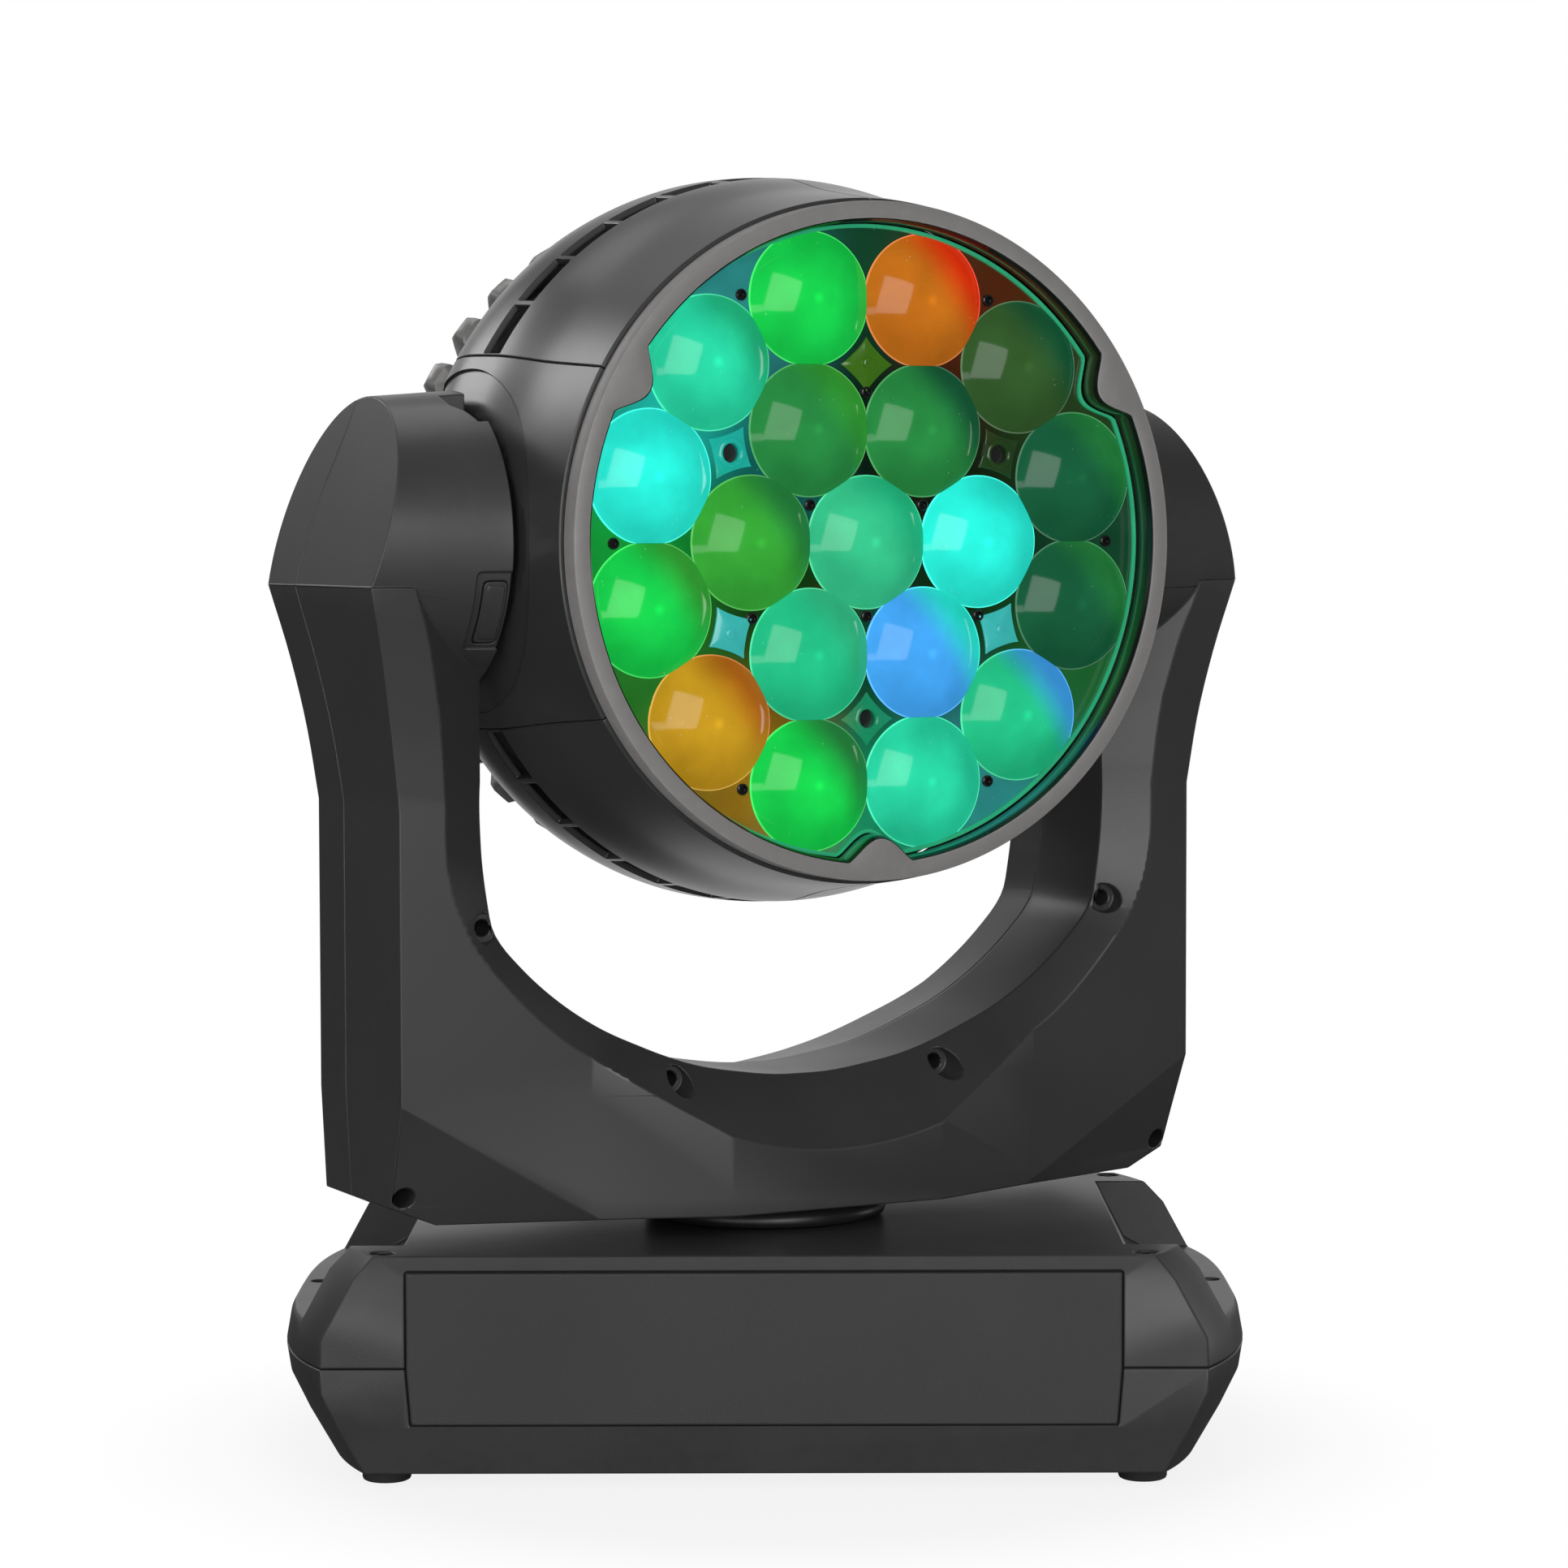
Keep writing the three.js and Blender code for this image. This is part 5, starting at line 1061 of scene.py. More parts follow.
def screw_head(radius: float, axis: Axis, seat: Sequence) -> Shape:
    """A low socket head with a hexagonal recess, its axis towards plus.

    Args:
        radius: Radius of the head.
        axis: Direction of the screw.
        seat: Point on the axis where the head rests.

    Returns:
        The closed head.
    """
    height, hexagon = radius * 0.42, radius * 0.5
    angle = np.radians(np.arange(24) * 15)
    facet = hexagon / np.cos((angle + np.pi / 6) % (np.pi / 3) - np.pi / 6)
    radii = np.stack([np.zeros(24), facet, facet, np.full(24, radius * 0.8), np.full(24, radius),
                      np.full(24, radius), np.zeros(24)], axis=1)
    along = np.array([height * 0.25, height * 0.25, height, height, height * 0.7, 0.0, 0.0])[None, :]
    rings = axis.lift(radii * np.cos(angle)[:, None], radii * np.sin(angle)[:, None], along)
    return loft(rings + np.asarray(seat, float), looped=True)


# Pan bearing

@dataclass
class PanBearing:
    """The ring on the base that the yoke turns on."""

    profile: tuple = ((30.5, 90.0), (45.0, 90.0), (45.0, 101.0), (51.2, 101.0), (53.2, 102.2), (53.9, 104.0),
                      (53.7, 106.0), (52.6, 107.8), (50.6, 109.0), (47.8, 109.4), (46.8, 108.8), (46.2, 105.0),
                      (30.5, 105.0))

    def build(self) -> None:
        """Makes the ring."""
        ring = make("pan_bearing_dressed", turned(self.profile, 120, Axis.UP), Station.BASE)
        dressed(ring, DARK, "base", ["pan_bearing"], edge=0.25, angle=50)


# Yoke

@dataclass
class Yoke:
    """U-shaped yoke of a front and a rear moulding with round pods at the tilt axis."""

    heights: tuple = (112.0, 120.5, 165.3, 290.1, 319.1, 349.9, 382.7)
    outers: tuple = (173.1, 192.8, 195.0, 195.0, 199.0, 204.6, 212.4)
    front_depths: tuple = (29.6, 27.0, 44.6, 44.6, 46.8, 51.4, 57.7)
    rear_depths: tuple = (42.0, 44.6, 44.6, 44.6, 46.8, 51.4, 57.7)
    knees: tuple = (106.0, 106.6, 110.0, 110.0, 110.0, 110.0, 110.0)
    half_depth: float = 70.0
    facet_near: float = 52.0
    knee_depths: tuple = (50.4, 50.4, 50.4, 50.4, 53.0, 58.4, 65.7)
    fold_share: float = 0.6
    leaf_top: float = 188.2
    pod_end: float = 151.0
    pod_radius: float = 65.0
    pod_draft: float = 0.075
    pod_from: float = 305.0
    trim_gap: float = 0.02
    wall: float = 3.0
    inset_shares: tuple = (0.33, 0.5)
    flare_insets: tuple = (1.2, 0.6)
    opening_past: float = 6.0
    opening_centre: float = 300.0
    opening_turn: float = 123.0
    opening_half: float = 154.0
    steps: int = 164
    inner_ring: tuple = ((0.0, 132.7), (11.7, 133.6), (22.4, 136.5), (33.7, 140.6), (42.4, 145.8), (50.9, 151.3),
                         (60.0, 157.5), (64.6, 160.6), (66.8, 161.3), (69.0, 160.6), (71.3, 159.4), (77.8, 156.9),
                         (82.6, 155.4), (90.0, 154.0))
    front_ring: tuple = ((0.0, 162.0), (18.7, 162.3), (30.7, 166.5), (46.3, 184.9), (61.6, 197.9), (69.0, 211.7),
                         (73.9, 222.5), (78.0, 225.0), (88.0, 220.5), (95.0, 217.8), (101.0, 217.0),
                         (106.0, 219.0), (109.0, 222.0), (112.4, 228.0), (123.0, 238.0))
    flare_start: float = 35.6
    rear_start: float = -12.0
    rear_grow: tuple = (9.0, 4.0)
    seam: tuple = ((100.0, -16.0), (290.0, -16.0), (320.0, -18.0), (350.0, -22.0), (385.0, -26.5), (397.0, -27.0),
                   (422.0, -23.0), (440.0, -17.0), (455.0, -12.5), (480.0, -12.0))
    ring_cut: tuple = (46.0, 105.0, 120.0)
    trunnion_cut: tuple = (17.0, 160.0)
    corner_screw: tuple = (187.8, 124.8)
    corner_radius: float = 4.5
    corner_floor: float = 8.0
    corner_head: float = 4.0
    front_of_all: float = 80.0
    post_walls: tuple = (2.0, 1.6, 2.2)
    flare_screws: tuple = ((154.0, 238.2), (66.0, 168.6))
    flare_floor: float = 20.0
    shelf_radius: float = 6.4
    shelf_depth: float = 36.5
    hole_radius: float = 3.6
    flare_head: float = 3.2
    notch_floor: float = 46.5
    notch_screw: tuple = (158.0, 23.0, 3.6)
    notch: tuple = ((163.0, 15.0), (163.0, 27.0), (158.5, 32.5), (155.5, 39.5), (148.0, 39.5), (148.0, 15.0))
    recess: tuple = (-166.6, -147.0, 356.6, 388.8)
    recess_depth: float = 1.4
    button: tuple = (-162.8, -152.6, 359.2, 384.8)
    button_gap: float = 0.35
    button_spans: tuple = ((44.5, 66.0), (46.0, 66.0))
    button_depths: tuple = (0.9, 0.2)
    button_bar: tuple = (140.0, 175.0)
    button_corner: float = 2.6
    button_hole: float = 38.0
    recess_back: float = 40.0
    button_frame: float = 1.4

    def levels(self) -> tuple:
        """The skin's measures from the bottom up to the crease.

        Returns:
            Heights and, at each, outer half width, both corner depths, knee place and knee depth.
        """
        upper = [low + (high - low) * share for low, high in zip(self.heights[3:-1], self.heights[4:])
                 for share in (0, 0.25, 0.5, 0.75)]
        height = np.array([*self.heights[:3], *upper, self.heights[-1]])
        straight = height <= self.heights[3]

        def along(values: Sequence) -> np.ndarray:
            """Straight between the lower levels, smooth through the upper ones."""
            return np.where(straight, np.interp(height, self.heights, values),
                            smooth_through(self.heights[3:], values[3:], height))

        return (height, along(self.outers), along(self.front_depths), along(self.rear_depths),
                np.interp(height, self.heights, self.knees), along(self.knee_depths))

    def body(self, inset: float) -> Shape:
        """The faceted body from the bottom up to the crease.

        The front skin is flat in the middle, straight to the knee and straight to a fold, which runs
        up from the knee at the bottom to the corner and sets off a facet below it.

        Args:
            inset: How far it lies inside the outer skin.

        Returns:
            The closed body without its opening.
        """
        height, outer, front, rear, knee, far = self.levels()
        low = height <= self.heights[2]
        share = (height - self.heights[0]) / (self.heights[2] - self.heights[0])
        fold = np.where(low, self.knees[0] + share * (self.outers[2] - self.knees[0]),
                        knee + self.fold_share * (outer - knee))
        fold_depth = np.where(low, far + share * (self.front_depths[2] - far), far + self.fold_share * (front - far))
        near, middle = np.full_like(height, self.facet_near), np.full_like(height, self.half_depth)
        at_near, at_knee = self.inset_shares
        near, knee = near - inset * at_near, knee - inset * at_knee
        half = np.stack([near, knee, fold - inset, outer - inset], axis=1)
        depth = np.stack([middle, far, fold_depth, front], axis=1) - inset
        back = np.stack([outer - inset, knee, near], axis=1)
        back_depth = np.stack([rear, far, middle], axis=1) - inset
        across = np.concatenate([-half[:, ::-1], half, back, -back[:, ::-1]], axis=1)
        forward = np.concatenate([depth[:, ::-1], depth, -back_depth, -back_depth[:, ::-1]], axis=1)
        lifted = height.copy()
        lifted[0] += inset
        return loft(Axis.UP.lift(across, forward, lifted[:, None]))

    def opening(self, inset: float) -> Shape:
        """The room inside the U: a rear flare, a straight wall and a wide front flare.

        Each section is a curve of radius over the angle from straight down, about the opening's
        centre; past the horizontal the inner one runs straight up. The front flare is ruled from the
        inner curve to one in the plane of the middle face, so it meets the facets in a kinked edge.

        Args:
            inset: How far the wall's inner side lies outside the opening.

        Returns:
            The closed tool.
        """
        turn = np.linspace(-self.opening_turn, self.opening_turn, self.steps + 1)
        angle = np.abs(turn)
        inner = np.where(angle < 90, smooth_through(*zip(*self.inner_ring), np.minimum(angle, 90)),
                         self.opening_half / np.sin(np.radians(np.clip(angle, 90, 179)))) + inset
        at_face, at_start = self.flare_insets
        face = smooth_through(*zip(*self.front_ring), angle) + at_face * inset
        bottom, side = self.rear_grow
        rear = inner + bottom - side * np.sin(np.radians(angle)) ** 2
        past, start = self.opening_past, self.flare_start - at_start * inset
        front = inner + (face - inner) * (self.half_depth + past - start) / (self.half_depth - start)
        back = inner + (rear - inner) * (1 + past / (self.half_depth + self.rear_start))
        places = (-self.half_depth - past, self.rear_start, start, self.half_depth + past)
        rings = [Axis.FORWARD.lift(radius * np.sin(np.radians(turn)),
                                   self.opening_centre - radius * np.cos(np.radians(turn)), place)
                 for radius, place in zip((back, inner, inner, front), places)]
        return loft(np.stack(rings))

    def barrel(self, side: int, inset: float, low: float, high: float, steps: int = 144) -> Shape:
        """The tapered round bar of a pod: its radius falls by the draft with each step outwards.

        Args:
            side: 1 right, -1 left.
            inset: How far it lies inside the outer skin.
            low: Distance of its inner end from the middle.
            high: Distance of its outer end from the middle.
            steps: Steps around.

        Returns:
            The closed bar.
        """
        profile = [(0, side * low), (0, side * high)]
        profile += [(self.pod_radius - self.pod_draft * (place - self.pod_end) - inset, side * place)
                    for place in (high, low)]
        return turned(profile[::side], steps, Axis.ACROSS, (0, 0, TILT_AXIS))

    def pod(self, side: int, inset: float) -> tuple:
        """A round pod and the outline that trims it.

        Args:
            side: 1 right, -1 left.
            inset: How far it lies inside the outer skin.

        Returns:
            The round bar and the trimming prism.
        """
        bar = self.barrel(side, inset, self.pod_end + inset, self.outers[-1])
        height, outer = self.levels()[:2]
        keep = height > self.pod_from
        close = self.trim_gap + inset
        points = [(self.pod_end + inset, height[keep][0]), *zip(outer[keep] - close, height[keep]),
                  (self.leaf_top - close, TILT_AXIS + self.pod_radius),
                  (self.pod_end + inset, TILT_AXIS + self.pod_radius)]
        outline = np.array([(side * x, z) for x, z in points])
        return bar, extrude(outline, -self.half_depth, self.half_depth, Axis.FORWARD)

    def solid(self, inset: float) -> Object:
        """The whole yoke as one body.

        Args:
            inset: How far it lies inside the outer skin.

        Returns:
            The body with both pods.
        """
        piece = make("yoke_body", self.body(inset), Station.YOKE)
        worked(piece, Station.YOKE, [self.opening(inset)])
        for side in (-1, 1):
            bar, trim = self.pod(side, inset)
            pod = worked(make("pod", bar, Station.YOKE), Station.YOKE, [trim], Cut.KEEP)
            worked_with(piece, pod, cut=Cut.ADD)
        return piece

    def plate_outline(self, limits: Sequence) -> np.ndarray:
        """Rounded outline between two places across and two heights."""
        left, right, low, high = limits
        return soft_edged([(left, low), (right, low), (right, high), (left, high)], self.button_corner, 5)

    def grown(self, reach: float) -> tuple:
        """The button's limits moved outwards."""
        left, right, low, high = self.button
        return left - reach, right + reach, low - reach, high + reach

    def plate(self, name: str, limits: Sequence, span: tuple, depth: float, cut: Cut,
              steps: int = 160) -> Object:
        """A rounded plate on the left pod, worked with the pod's own round.

        Args:
            name: Name of the plate.
            limits: Its two places across and two heights.
            span: Its flat back and front.
            depth: How far under the pod's skin the round lies.
            cut: Whether the plate is kept under that round or before it.
            steps: Steps around the whole pod.

        Returns:
            The worked plate.
        """
        block = extrude(self.plate_outline(limits), *span, Axis.FORWARD)
        pod_round = self.barrel(-1, depth, *self.button_bar, steps)
        return worked(make(name, block, Station.YOKE), Station.YOKE, [pod_round], cut)

    def pocket(self, side: int, place: Sequence, radius: float, low: float) -> Shape:
        """A round pocket in the flare, down to a flat floor."""
        return rod(radius, low, self.front_of_all + 10, Axis.FORWARD, (side * place[0], place[1]), 40)

    def notch_tool(self, side: int, grow: float) -> Shape:
        """The notch in the top of a pod that bares a screw.

        Args:
            side: 1 right, -1 left.
            grow: How much larger the tool is on every side.

        Returns:
            The closed tool.
        """
        outline = np.array(self.notch)
        outline = outline + np.sign(outline - outline.mean(axis=0)) * grow
        return extrude(outline * np.array([side, 1]), TILT_AXIS + self.notch_floor - grow, TILT_AXIS + 70, Axis.UP)

    def hollow(self) -> Object:
        """The room inside the walls, kept clear of the screw posts.

        Returns:
            The room as one body.
        """
        posts = []
        corner, flare, notch = self.post_walls
        for side in (-1, 1):
            x, z = self.corner_screw
            posts.append(rod(self.corner_radius + corner, self.corner_floor - 3, self.front_of_all, Axis.FORWARD,
                             (side * x, z), 32))
            posts += [self.pocket(side, place, self.shelf_radius + flare, self.corner_floor + 4)
                      for place in self.flare_screws]
            posts.append(self.notch_tool(side, notch))
        return worked(self.solid(self.wall), Station.YOKE, posts)

    def screw_tools(self) -> list:
        """Pockets and holes of all screws in the front moulding.

        Returns:
            The closed tools.
        """
        tools = []
        for side in (-1, 1):
            x, z = self.corner_screw
            tools += [rod(self.corner_radius, self.corner_floor, self.front_of_all, Axis.FORWARD, (side * x, z), 40),
                      self.notch_tool(side, 0)]
            for place in self.flare_screws:
                tools.append(self.pocket(side, place, self.shelf_radius, self.shelf_depth))
                tools.append(self.pocket(side, place, self.hole_radius, self.flare_floor))
        return tools

    def behind(self, shift: float, front: bool) -> Shape:
        """Everything before or behind the seam, whose depth changes with height.

        Args:
            shift: How far the cut lies from the seam.
            front: True for the room before it.

        Returns:
            The closed tool.
        """
        height = np.linspace(self.seam[0][0], self.seam[-1][0], 60)
        depth = smooth_through(*zip(*self.seam), height) + shift
        end = 110.0 if front else -110.0
        line = np.stack([depth, height], -1)
        corners = np.array([[end, height[-1]], [end, height[0]]])
        return extrude(np.concatenate([line, corners]), -260, 260, Axis.ACROSS)

    def shells(self) -> None:
        """The front and the rear moulding."""
        skin = worked_with(self.solid(0), self.hollow())
        radius, end = self.trunnion_cut
        worked(skin, Station.YOKE, [rod(*self.ring_cut, Axis.UP, (0, 0), 72),
                                    rod(radius, -end, end, Axis.ACROSS, (0, TILT_AXIS), 48)])
        rear = skin.copy()
        rear.data = skin.data.copy()
        bpy.context.scene.collection.objects.link(rear)
        skin.name, rear.name = "yoke_front_dressed", "yoke_rear_dressed"
        worked(skin, Station.YOKE, [self.behind(SEAM / 2, False)])
        worked(rear, Station.YOKE, [self.behind(-SEAM / 2, True)])
        worked_with(skin, self.plate("recess", self.recess, (self.recess_back, self.front_of_all),
                                     self.recess_depth, Cut.AWAY, 144))
        hole = extrude(self.plate_outline(self.grown(self.button_gap)), self.button_hole, self.front_of_all,
                       Axis.FORWARD)
        worked(skin, Station.YOKE, [hole] + self.screw_tools())
        dressed(skin, MOULDED, "yoke", ["yoke_front_shell"], edge=0.6, angle=24)
        dressed(rear, MOULDED, "yoke", ["yoke_rear_shell"], edge=0.45, angle=24)

    def screws(self) -> None:
        """Dark screw heads at the bottom of the pockets."""
        heads = []
        for side in (-1, 1):
            x, z = self.corner_screw
            heads.append(screw_head(self.corner_head, Axis.FORWARD, (side * x, self.corner_floor, z)))
            heads += [screw_head(self.flare_head, Axis.FORWARD, (side * u, self.flare_floor, v))
                      for u, v in self.flare_screws]
            across, forward, radius = self.notch_screw
            heads.append(screw_head(radius, Axis.UP, (side * across, forward, TILT_AXIS + self.notch_floor)))
        dressed(make("yoke_screws", together(heads), Station.YOKE), SCREW, "yoke", edge=0)

    def lock_button(self) -> None:
        """The tilt lock button, rounded like the pod's face, with a raised middle."""
        (low, high), (frame_span, middle_span) = self.button_depths, self.button_spans
        cap = self.plate("tilt_lock_dressed", self.button, frame_span, low, Cut.KEEP)
        raised = self.plate("raised", self.grown(-self.button_frame), middle_span, high, Cut.KEEP)
        worked_with(cap, raised, cut=Cut.ADD)
        dressed(cap, MOULDED, "tilt_lock", ["tilt_lock_button"], edge=0.3)

    def build(self) -> None:
        """Makes the yoke's pieces."""
        self.shells()
        self.screws()
        self.lock_button()


# Head

@dataclass
class HeadShell:
    """Barrel of two cheeks and four slotted covers, with a bezel and a ribbed rear cover."""

    along: tuple = (-60.0, -39.96, -24.0, -8.0, 18.0, 57.0, 96.6)
    radii: tuple = (139.94, 151.0, 158.5, 160.3, 158.9, 151.3, 145.4)
    wall: float = 3.0
    pocket_radius: float = 70.0
    pocket_floor: float = 148.0
    pocket_far: float = 200.0
    collar_width: float = 4.0
    collar_inside: float = 100.0
    collar_proud: float = 1.3
    axle_hole: tuple = (17.0, 170.0)
    wedge_reach: float = 260.0
    cover_sweep: float = 60.0
    cover_gap: float = 0.085
    slots: int = 6
    slot_span: tuple = (6.5, 19.0)
    slot_share: float = 0.9
    slot_reach: tuple = (148.0, 168.0)
    slot_flare: float = 1.5
    bezel_bore: float = 135.0
    bezel_radius: float = 143.7
    bezel_front: float = 107.1
    tab_angles: tuple = (30.0, 150.0, 270.0)
    tab_depth: float = 10.8
    tab_half: float = 6.6
    lip_width: float = 1.2
    ribs: int = 36
    rib_shape: tuple = ((-5, 0), (-4.1, 0), (-3.5, 0.12), (-3.1, 0.5), (-2.7, 0.86), (-1.8, 1), (0, 1), (1.8, 1),
                        (2.7, 0.86), (3.1, 0.5), (3.5, 0.12), (4.1, 0))
    valley: tuple = ((138, -60.5), (138, -62), (136.5, -64), (131, -70.5), (126, -77), (119, -85.5), (114.5, -91),
                     (112, -92.3), (104, -93), (99, -93.4), (97, -93.6), (70, -95), (40, -97.3), (12, -98.6),
                     (0, -98.9))
    crown: tuple = ((138, -60.5), (139.8, -62), (147, -65.8), (149.4, -71.5), (146.8, -79), (140, -88),
                    (130.5, -93.5), (118, -98.6), (107, -102.4), (101.5, -102.9), (98, -99.5), (70, -95),
                    (40, -97.3), (12, -98.6), (0, -98.9))
    lining: tuple = ((0, -95.5), (60, -92.5), (108, -89.5), (112, -87), (134.5, -60.5))
    vents: int = 10
    vent_share: float = 0.6
    vent_rows: tuple = ((40, 52), (56, 68), (72, 84))
    vent_reach: tuple = (-110.0, -80.0)

    def profile(self, inset: float = 0, stretch: float = 0) -> np.ndarray:
        """Outer profile of the barrel, smooth through its levels.

        Args:
            inset: How far it lies inside the outer skin.
            stretch: How far both ends are carried on straight.

        Returns:
            Radius and place along, from back to front.
        """
        place = np.linspace(self.along[0], self.along[-1], 36)
        radius = smooth_through(self.along, self.radii, place) - inset
        radius = np.concatenate([[radius[0]], radius, [radius[-1]]]) if stretch else radius
        place = np.concatenate([[place[0] - stretch], place, [place[-1] + stretch]]) if stretch else place
        return np.stack([radius, place], -1)

    def cover(self, name: str, middle: float) -> None:
        """A quarter cover: part of the barrel wall with six slots.

        Args:
            name: CAD node that it stands for.
            middle: Angle of its middle about the beam.
        """
        wall = np.concatenate([self.profile(), self.profile(self.wall)[::-1]])
        sweep, gap = self.cover_sweep, self.cover_gap
        shape = turned(wall, 40, Axis.FORWARD, start=middle - sweep / 2 + gap, sweep=sweep - 2 * gap)
        cover = make(f"{name}_dressed", shape, Station.HEAD)
        step = sweep / self.slots
        (low, high), (deep, out), flare = self.slot_span, self.slot_reach, self.slot_flare
        profile = soft_edged([(deep, low), (out, low - flare), (out, high + flare), (deep, high)], 0.2, 1)
        first = middle - sweep / 2 + step / 2 - step * self.slot_share / 2
        tools = [turned(profile, 6, Axis.FORWARD, start=first + step * i, sweep=step * self.slot_share)
                 for i in range(self.slots)]
        worked(cover, Station.HEAD, tools)
        dressed(cover, SATIN, "head", [name], edge=0.5)

    def cheek(self, name: str, side: int) -> None:
        """A cheek: part of the barrel with a round pocket for the yoke's pod.

        Args:
            name: CAD node that it stands for.
            side: 1 right, -1 left.
        """
        def barrel(inset: float, stretch: float) -> Shape:
            """The solid barrel, drawn in by an inset."""
            curve = self.profile(inset, stretch)
            return turned([(0, curve[0, 1]), *curve, (0, curve[-1, 1])], 180, Axis.FORWARD)

        def bar(radius: float, near: float, steps: int) -> Shape:
            """A round bar about the tilt axis, from a place on this side outwards."""
            return rod(radius, *sorted((side * near, side * self.pocket_far)), Axis.ACROSS, (0, 0), steps)

        def pocket(inset: float) -> Shape:
            """The round pocket for the pod."""
            return bar(self.pocket_radius + inset, self.pocket_floor - inset, 120)

        cheek = worked(make(f"{name}_dressed", barrel(0, 0), Station.HEAD), Station.HEAD, [pocket(0)])
        room = worked(make("room", barrel(self.wall, 6), Station.HEAD), Station.HEAD, [pocket(self.wall)])
        worked_with(cheek, room)
        collar = make("collar", bar(self.pocket_radius + self.collar_width, self.collar_inside, 144), Station.HEAD)
        worked_with(cheek, worked(collar, Station.HEAD, [barrel(self.collar_proud, 2)]))
        half = math.radians(self.cover_sweep / 2)
        apex, reach = SEAM / 2 / math.sin(half), self.wedge_reach
        wedge = np.array([(apex, 0), (reach, -(reach - apex) * math.tan(half)),
                          (reach, (reach - apex) * math.tan(half))]) * np.array([side, 1])
        worked(cheek, Station.HEAD, [extrude(wedge, -80, 120, Axis.FORWARD)], Cut.KEEP)
        radius, end = self.axle_hole
        worked(cheek, Station.HEAD, [rod(radius, -end, end, Axis.ACROSS, (0, 0), 48)])
        dressed(cheek, SATIN, "head", [name], edge=0.5)

    def inner_radius(self, degrees: np.ndarray) -> np.ndarray:
        """Inner edge of the bezel: its bore, drawn in at each tab by (1 - t^2)^1.35 of the tab's depth."""
        off = np.min(np.abs((degrees[:, None] - np.array(self.tab_angles) + 180) % 360 - 180), axis=1)
        return self.bezel_bore - self.tab_depth * (1 - np.clip(off / self.tab_half, 0, 1) ** 2) ** 1.35

    def bezel(self) -> None:
        """The front ring with three tabs: its section is carried round with a changing inner edge."""
        degrees = np.arange(720) / 2
        inner = self.inner_radius(degrees)
        outer, front = self.bezel_radius, self.bezel_front
        edge = inner + self.lip_width
        full = np.ones_like(inner)
        section = [(139 * full, 88), (141 * full, 88), (141 * full, 96.9), ((outer - 0.7) * full, 96.9),
                   (outer * full, 97.6), (outer * full, front - 1.0), ((outer - 0.35) * full, front - 0.3),
                   ((outer - 1.1) * full, front), (edge + 0.9, front), (edge + 0.25, front - 0.2),
                   (edge + 0.05, front - 0.8), (edge + 0.05, 97.3), (139 * full, 97.0)]
        dressed(make("front_bezel_dressed", self.carried(degrees, section), Station.HEAD), BEZEL, "head",
                ["front_bezel"], edge=0, angle=40)

    def lip(self) -> None:
        """The dark lip inside the bezel: a sloping edge over a glossy wall round the lenses. The wall gets a painted
        reflection of the lens glow; the front edge stays black.
        """
        degrees = np.arange(720) / 2
        inner = self.inner_radius(degrees)
        front, edge = self.bezel_front, inner + self.lip_width
        section = [(edge, front - 0.5), (edge - 0.3, front - 0.35), (inner + 0.25, front - 2.1),
                   (inner, front - 2.6), (inner, front - 5.0), (inner, 97.0), (inner + 0.3, 96.6), (edge, 96.6)]
        lip = make("bezel_lip", self.carried(degrees, section), Station.HEAD)
        local = head_points(lip)
        # painted reflection of the lens glow on the wall behind the black front edge
        deep = ease(front - 2.3 - local[:, 1], 0.0, 0.6)[:, None]
        colour = around(local, 0.5) * deep + np.array(GlowColour.BLACK.linear()) * (1 - deep)
        glow_painted(lip, colour)
        dressed(lip, LIP, "head", edge=0, angle=40)

    def carried(self, degrees: np.ndarray, section: Sequence) -> Shape:
        """A section carried round the beam.

        Args:
            degrees: Angle of each step.
            section: Corner points, each a radius per step and a place along.

        Returns:
            The closed ring.
        """
        radius = np.stack([part[0] for part in section], axis=1)
        place = np.stack([np.broadcast_to(part[1], degrees.shape) for part in section], axis=1)
        angle = np.radians(degrees)[:, None]
        return loft(Axis.FORWARD.lift(radius * np.cos(angle), radius * np.sin(angle), place), looped=True)

    def rear_cover(self) -> None:
        """The cast rear cover: radius and place blend from valley to rib by a rounded mask."""
        valley, crown = np.array(self.valley, float), np.array(self.crown, float)
        offset, height = np.array(self.rib_shape).T
        degrees = (np.arange(self.ribs)[:, None] * 360 / self.ribs + offset[None, :]).ravel()
        mask = np.tile(height, self.ribs)[:, None]
        skin = valley[None] + mask[..., None] * (crown - valley)[None]
        inner = np.broadcast_to(np.array(self.lining, float), (len(degrees), len(self.lining), 2))
        section = np.concatenate([skin, inner], axis=1)
        cover = make("rear_cover_dressed", self.carried(degrees, [tuple(point.T) for point in
                                                                  section.transpose(1, 0, 2)]), Station.HEAD)
        step = 360 / self.vents
        back, front = self.vent_reach
        tools = [turned([(low, back), (high, back), (high, front), (low, front)], 10, Axis.FORWARD,
                        start=step * (i + 0.5) - step * self.vent_share / 2, sweep=step * self.vent_share)
                 for i in range(self.vents) for low, high in self.vent_rows]
        worked(cover, Station.HEAD, tools)
        dressed(cover, CAST, "head", ["rear_cover"], edge=0.35, angle=44)

    def build(self) -> None:
        """Makes the head's outer pieces."""
        for name, middle in (("cover_top_right", 60), ("cover_top_left", 120),
                             ("cover_bottom_left", 240), ("cover_bottom_right", 300)):
            self.cover(name, middle)
        self.cheek("left_cheek", -1)
        self.cheek("right_cheek", 1)
        self.bezel()
        self.lip()
        self.rear_cover()


# Lens face

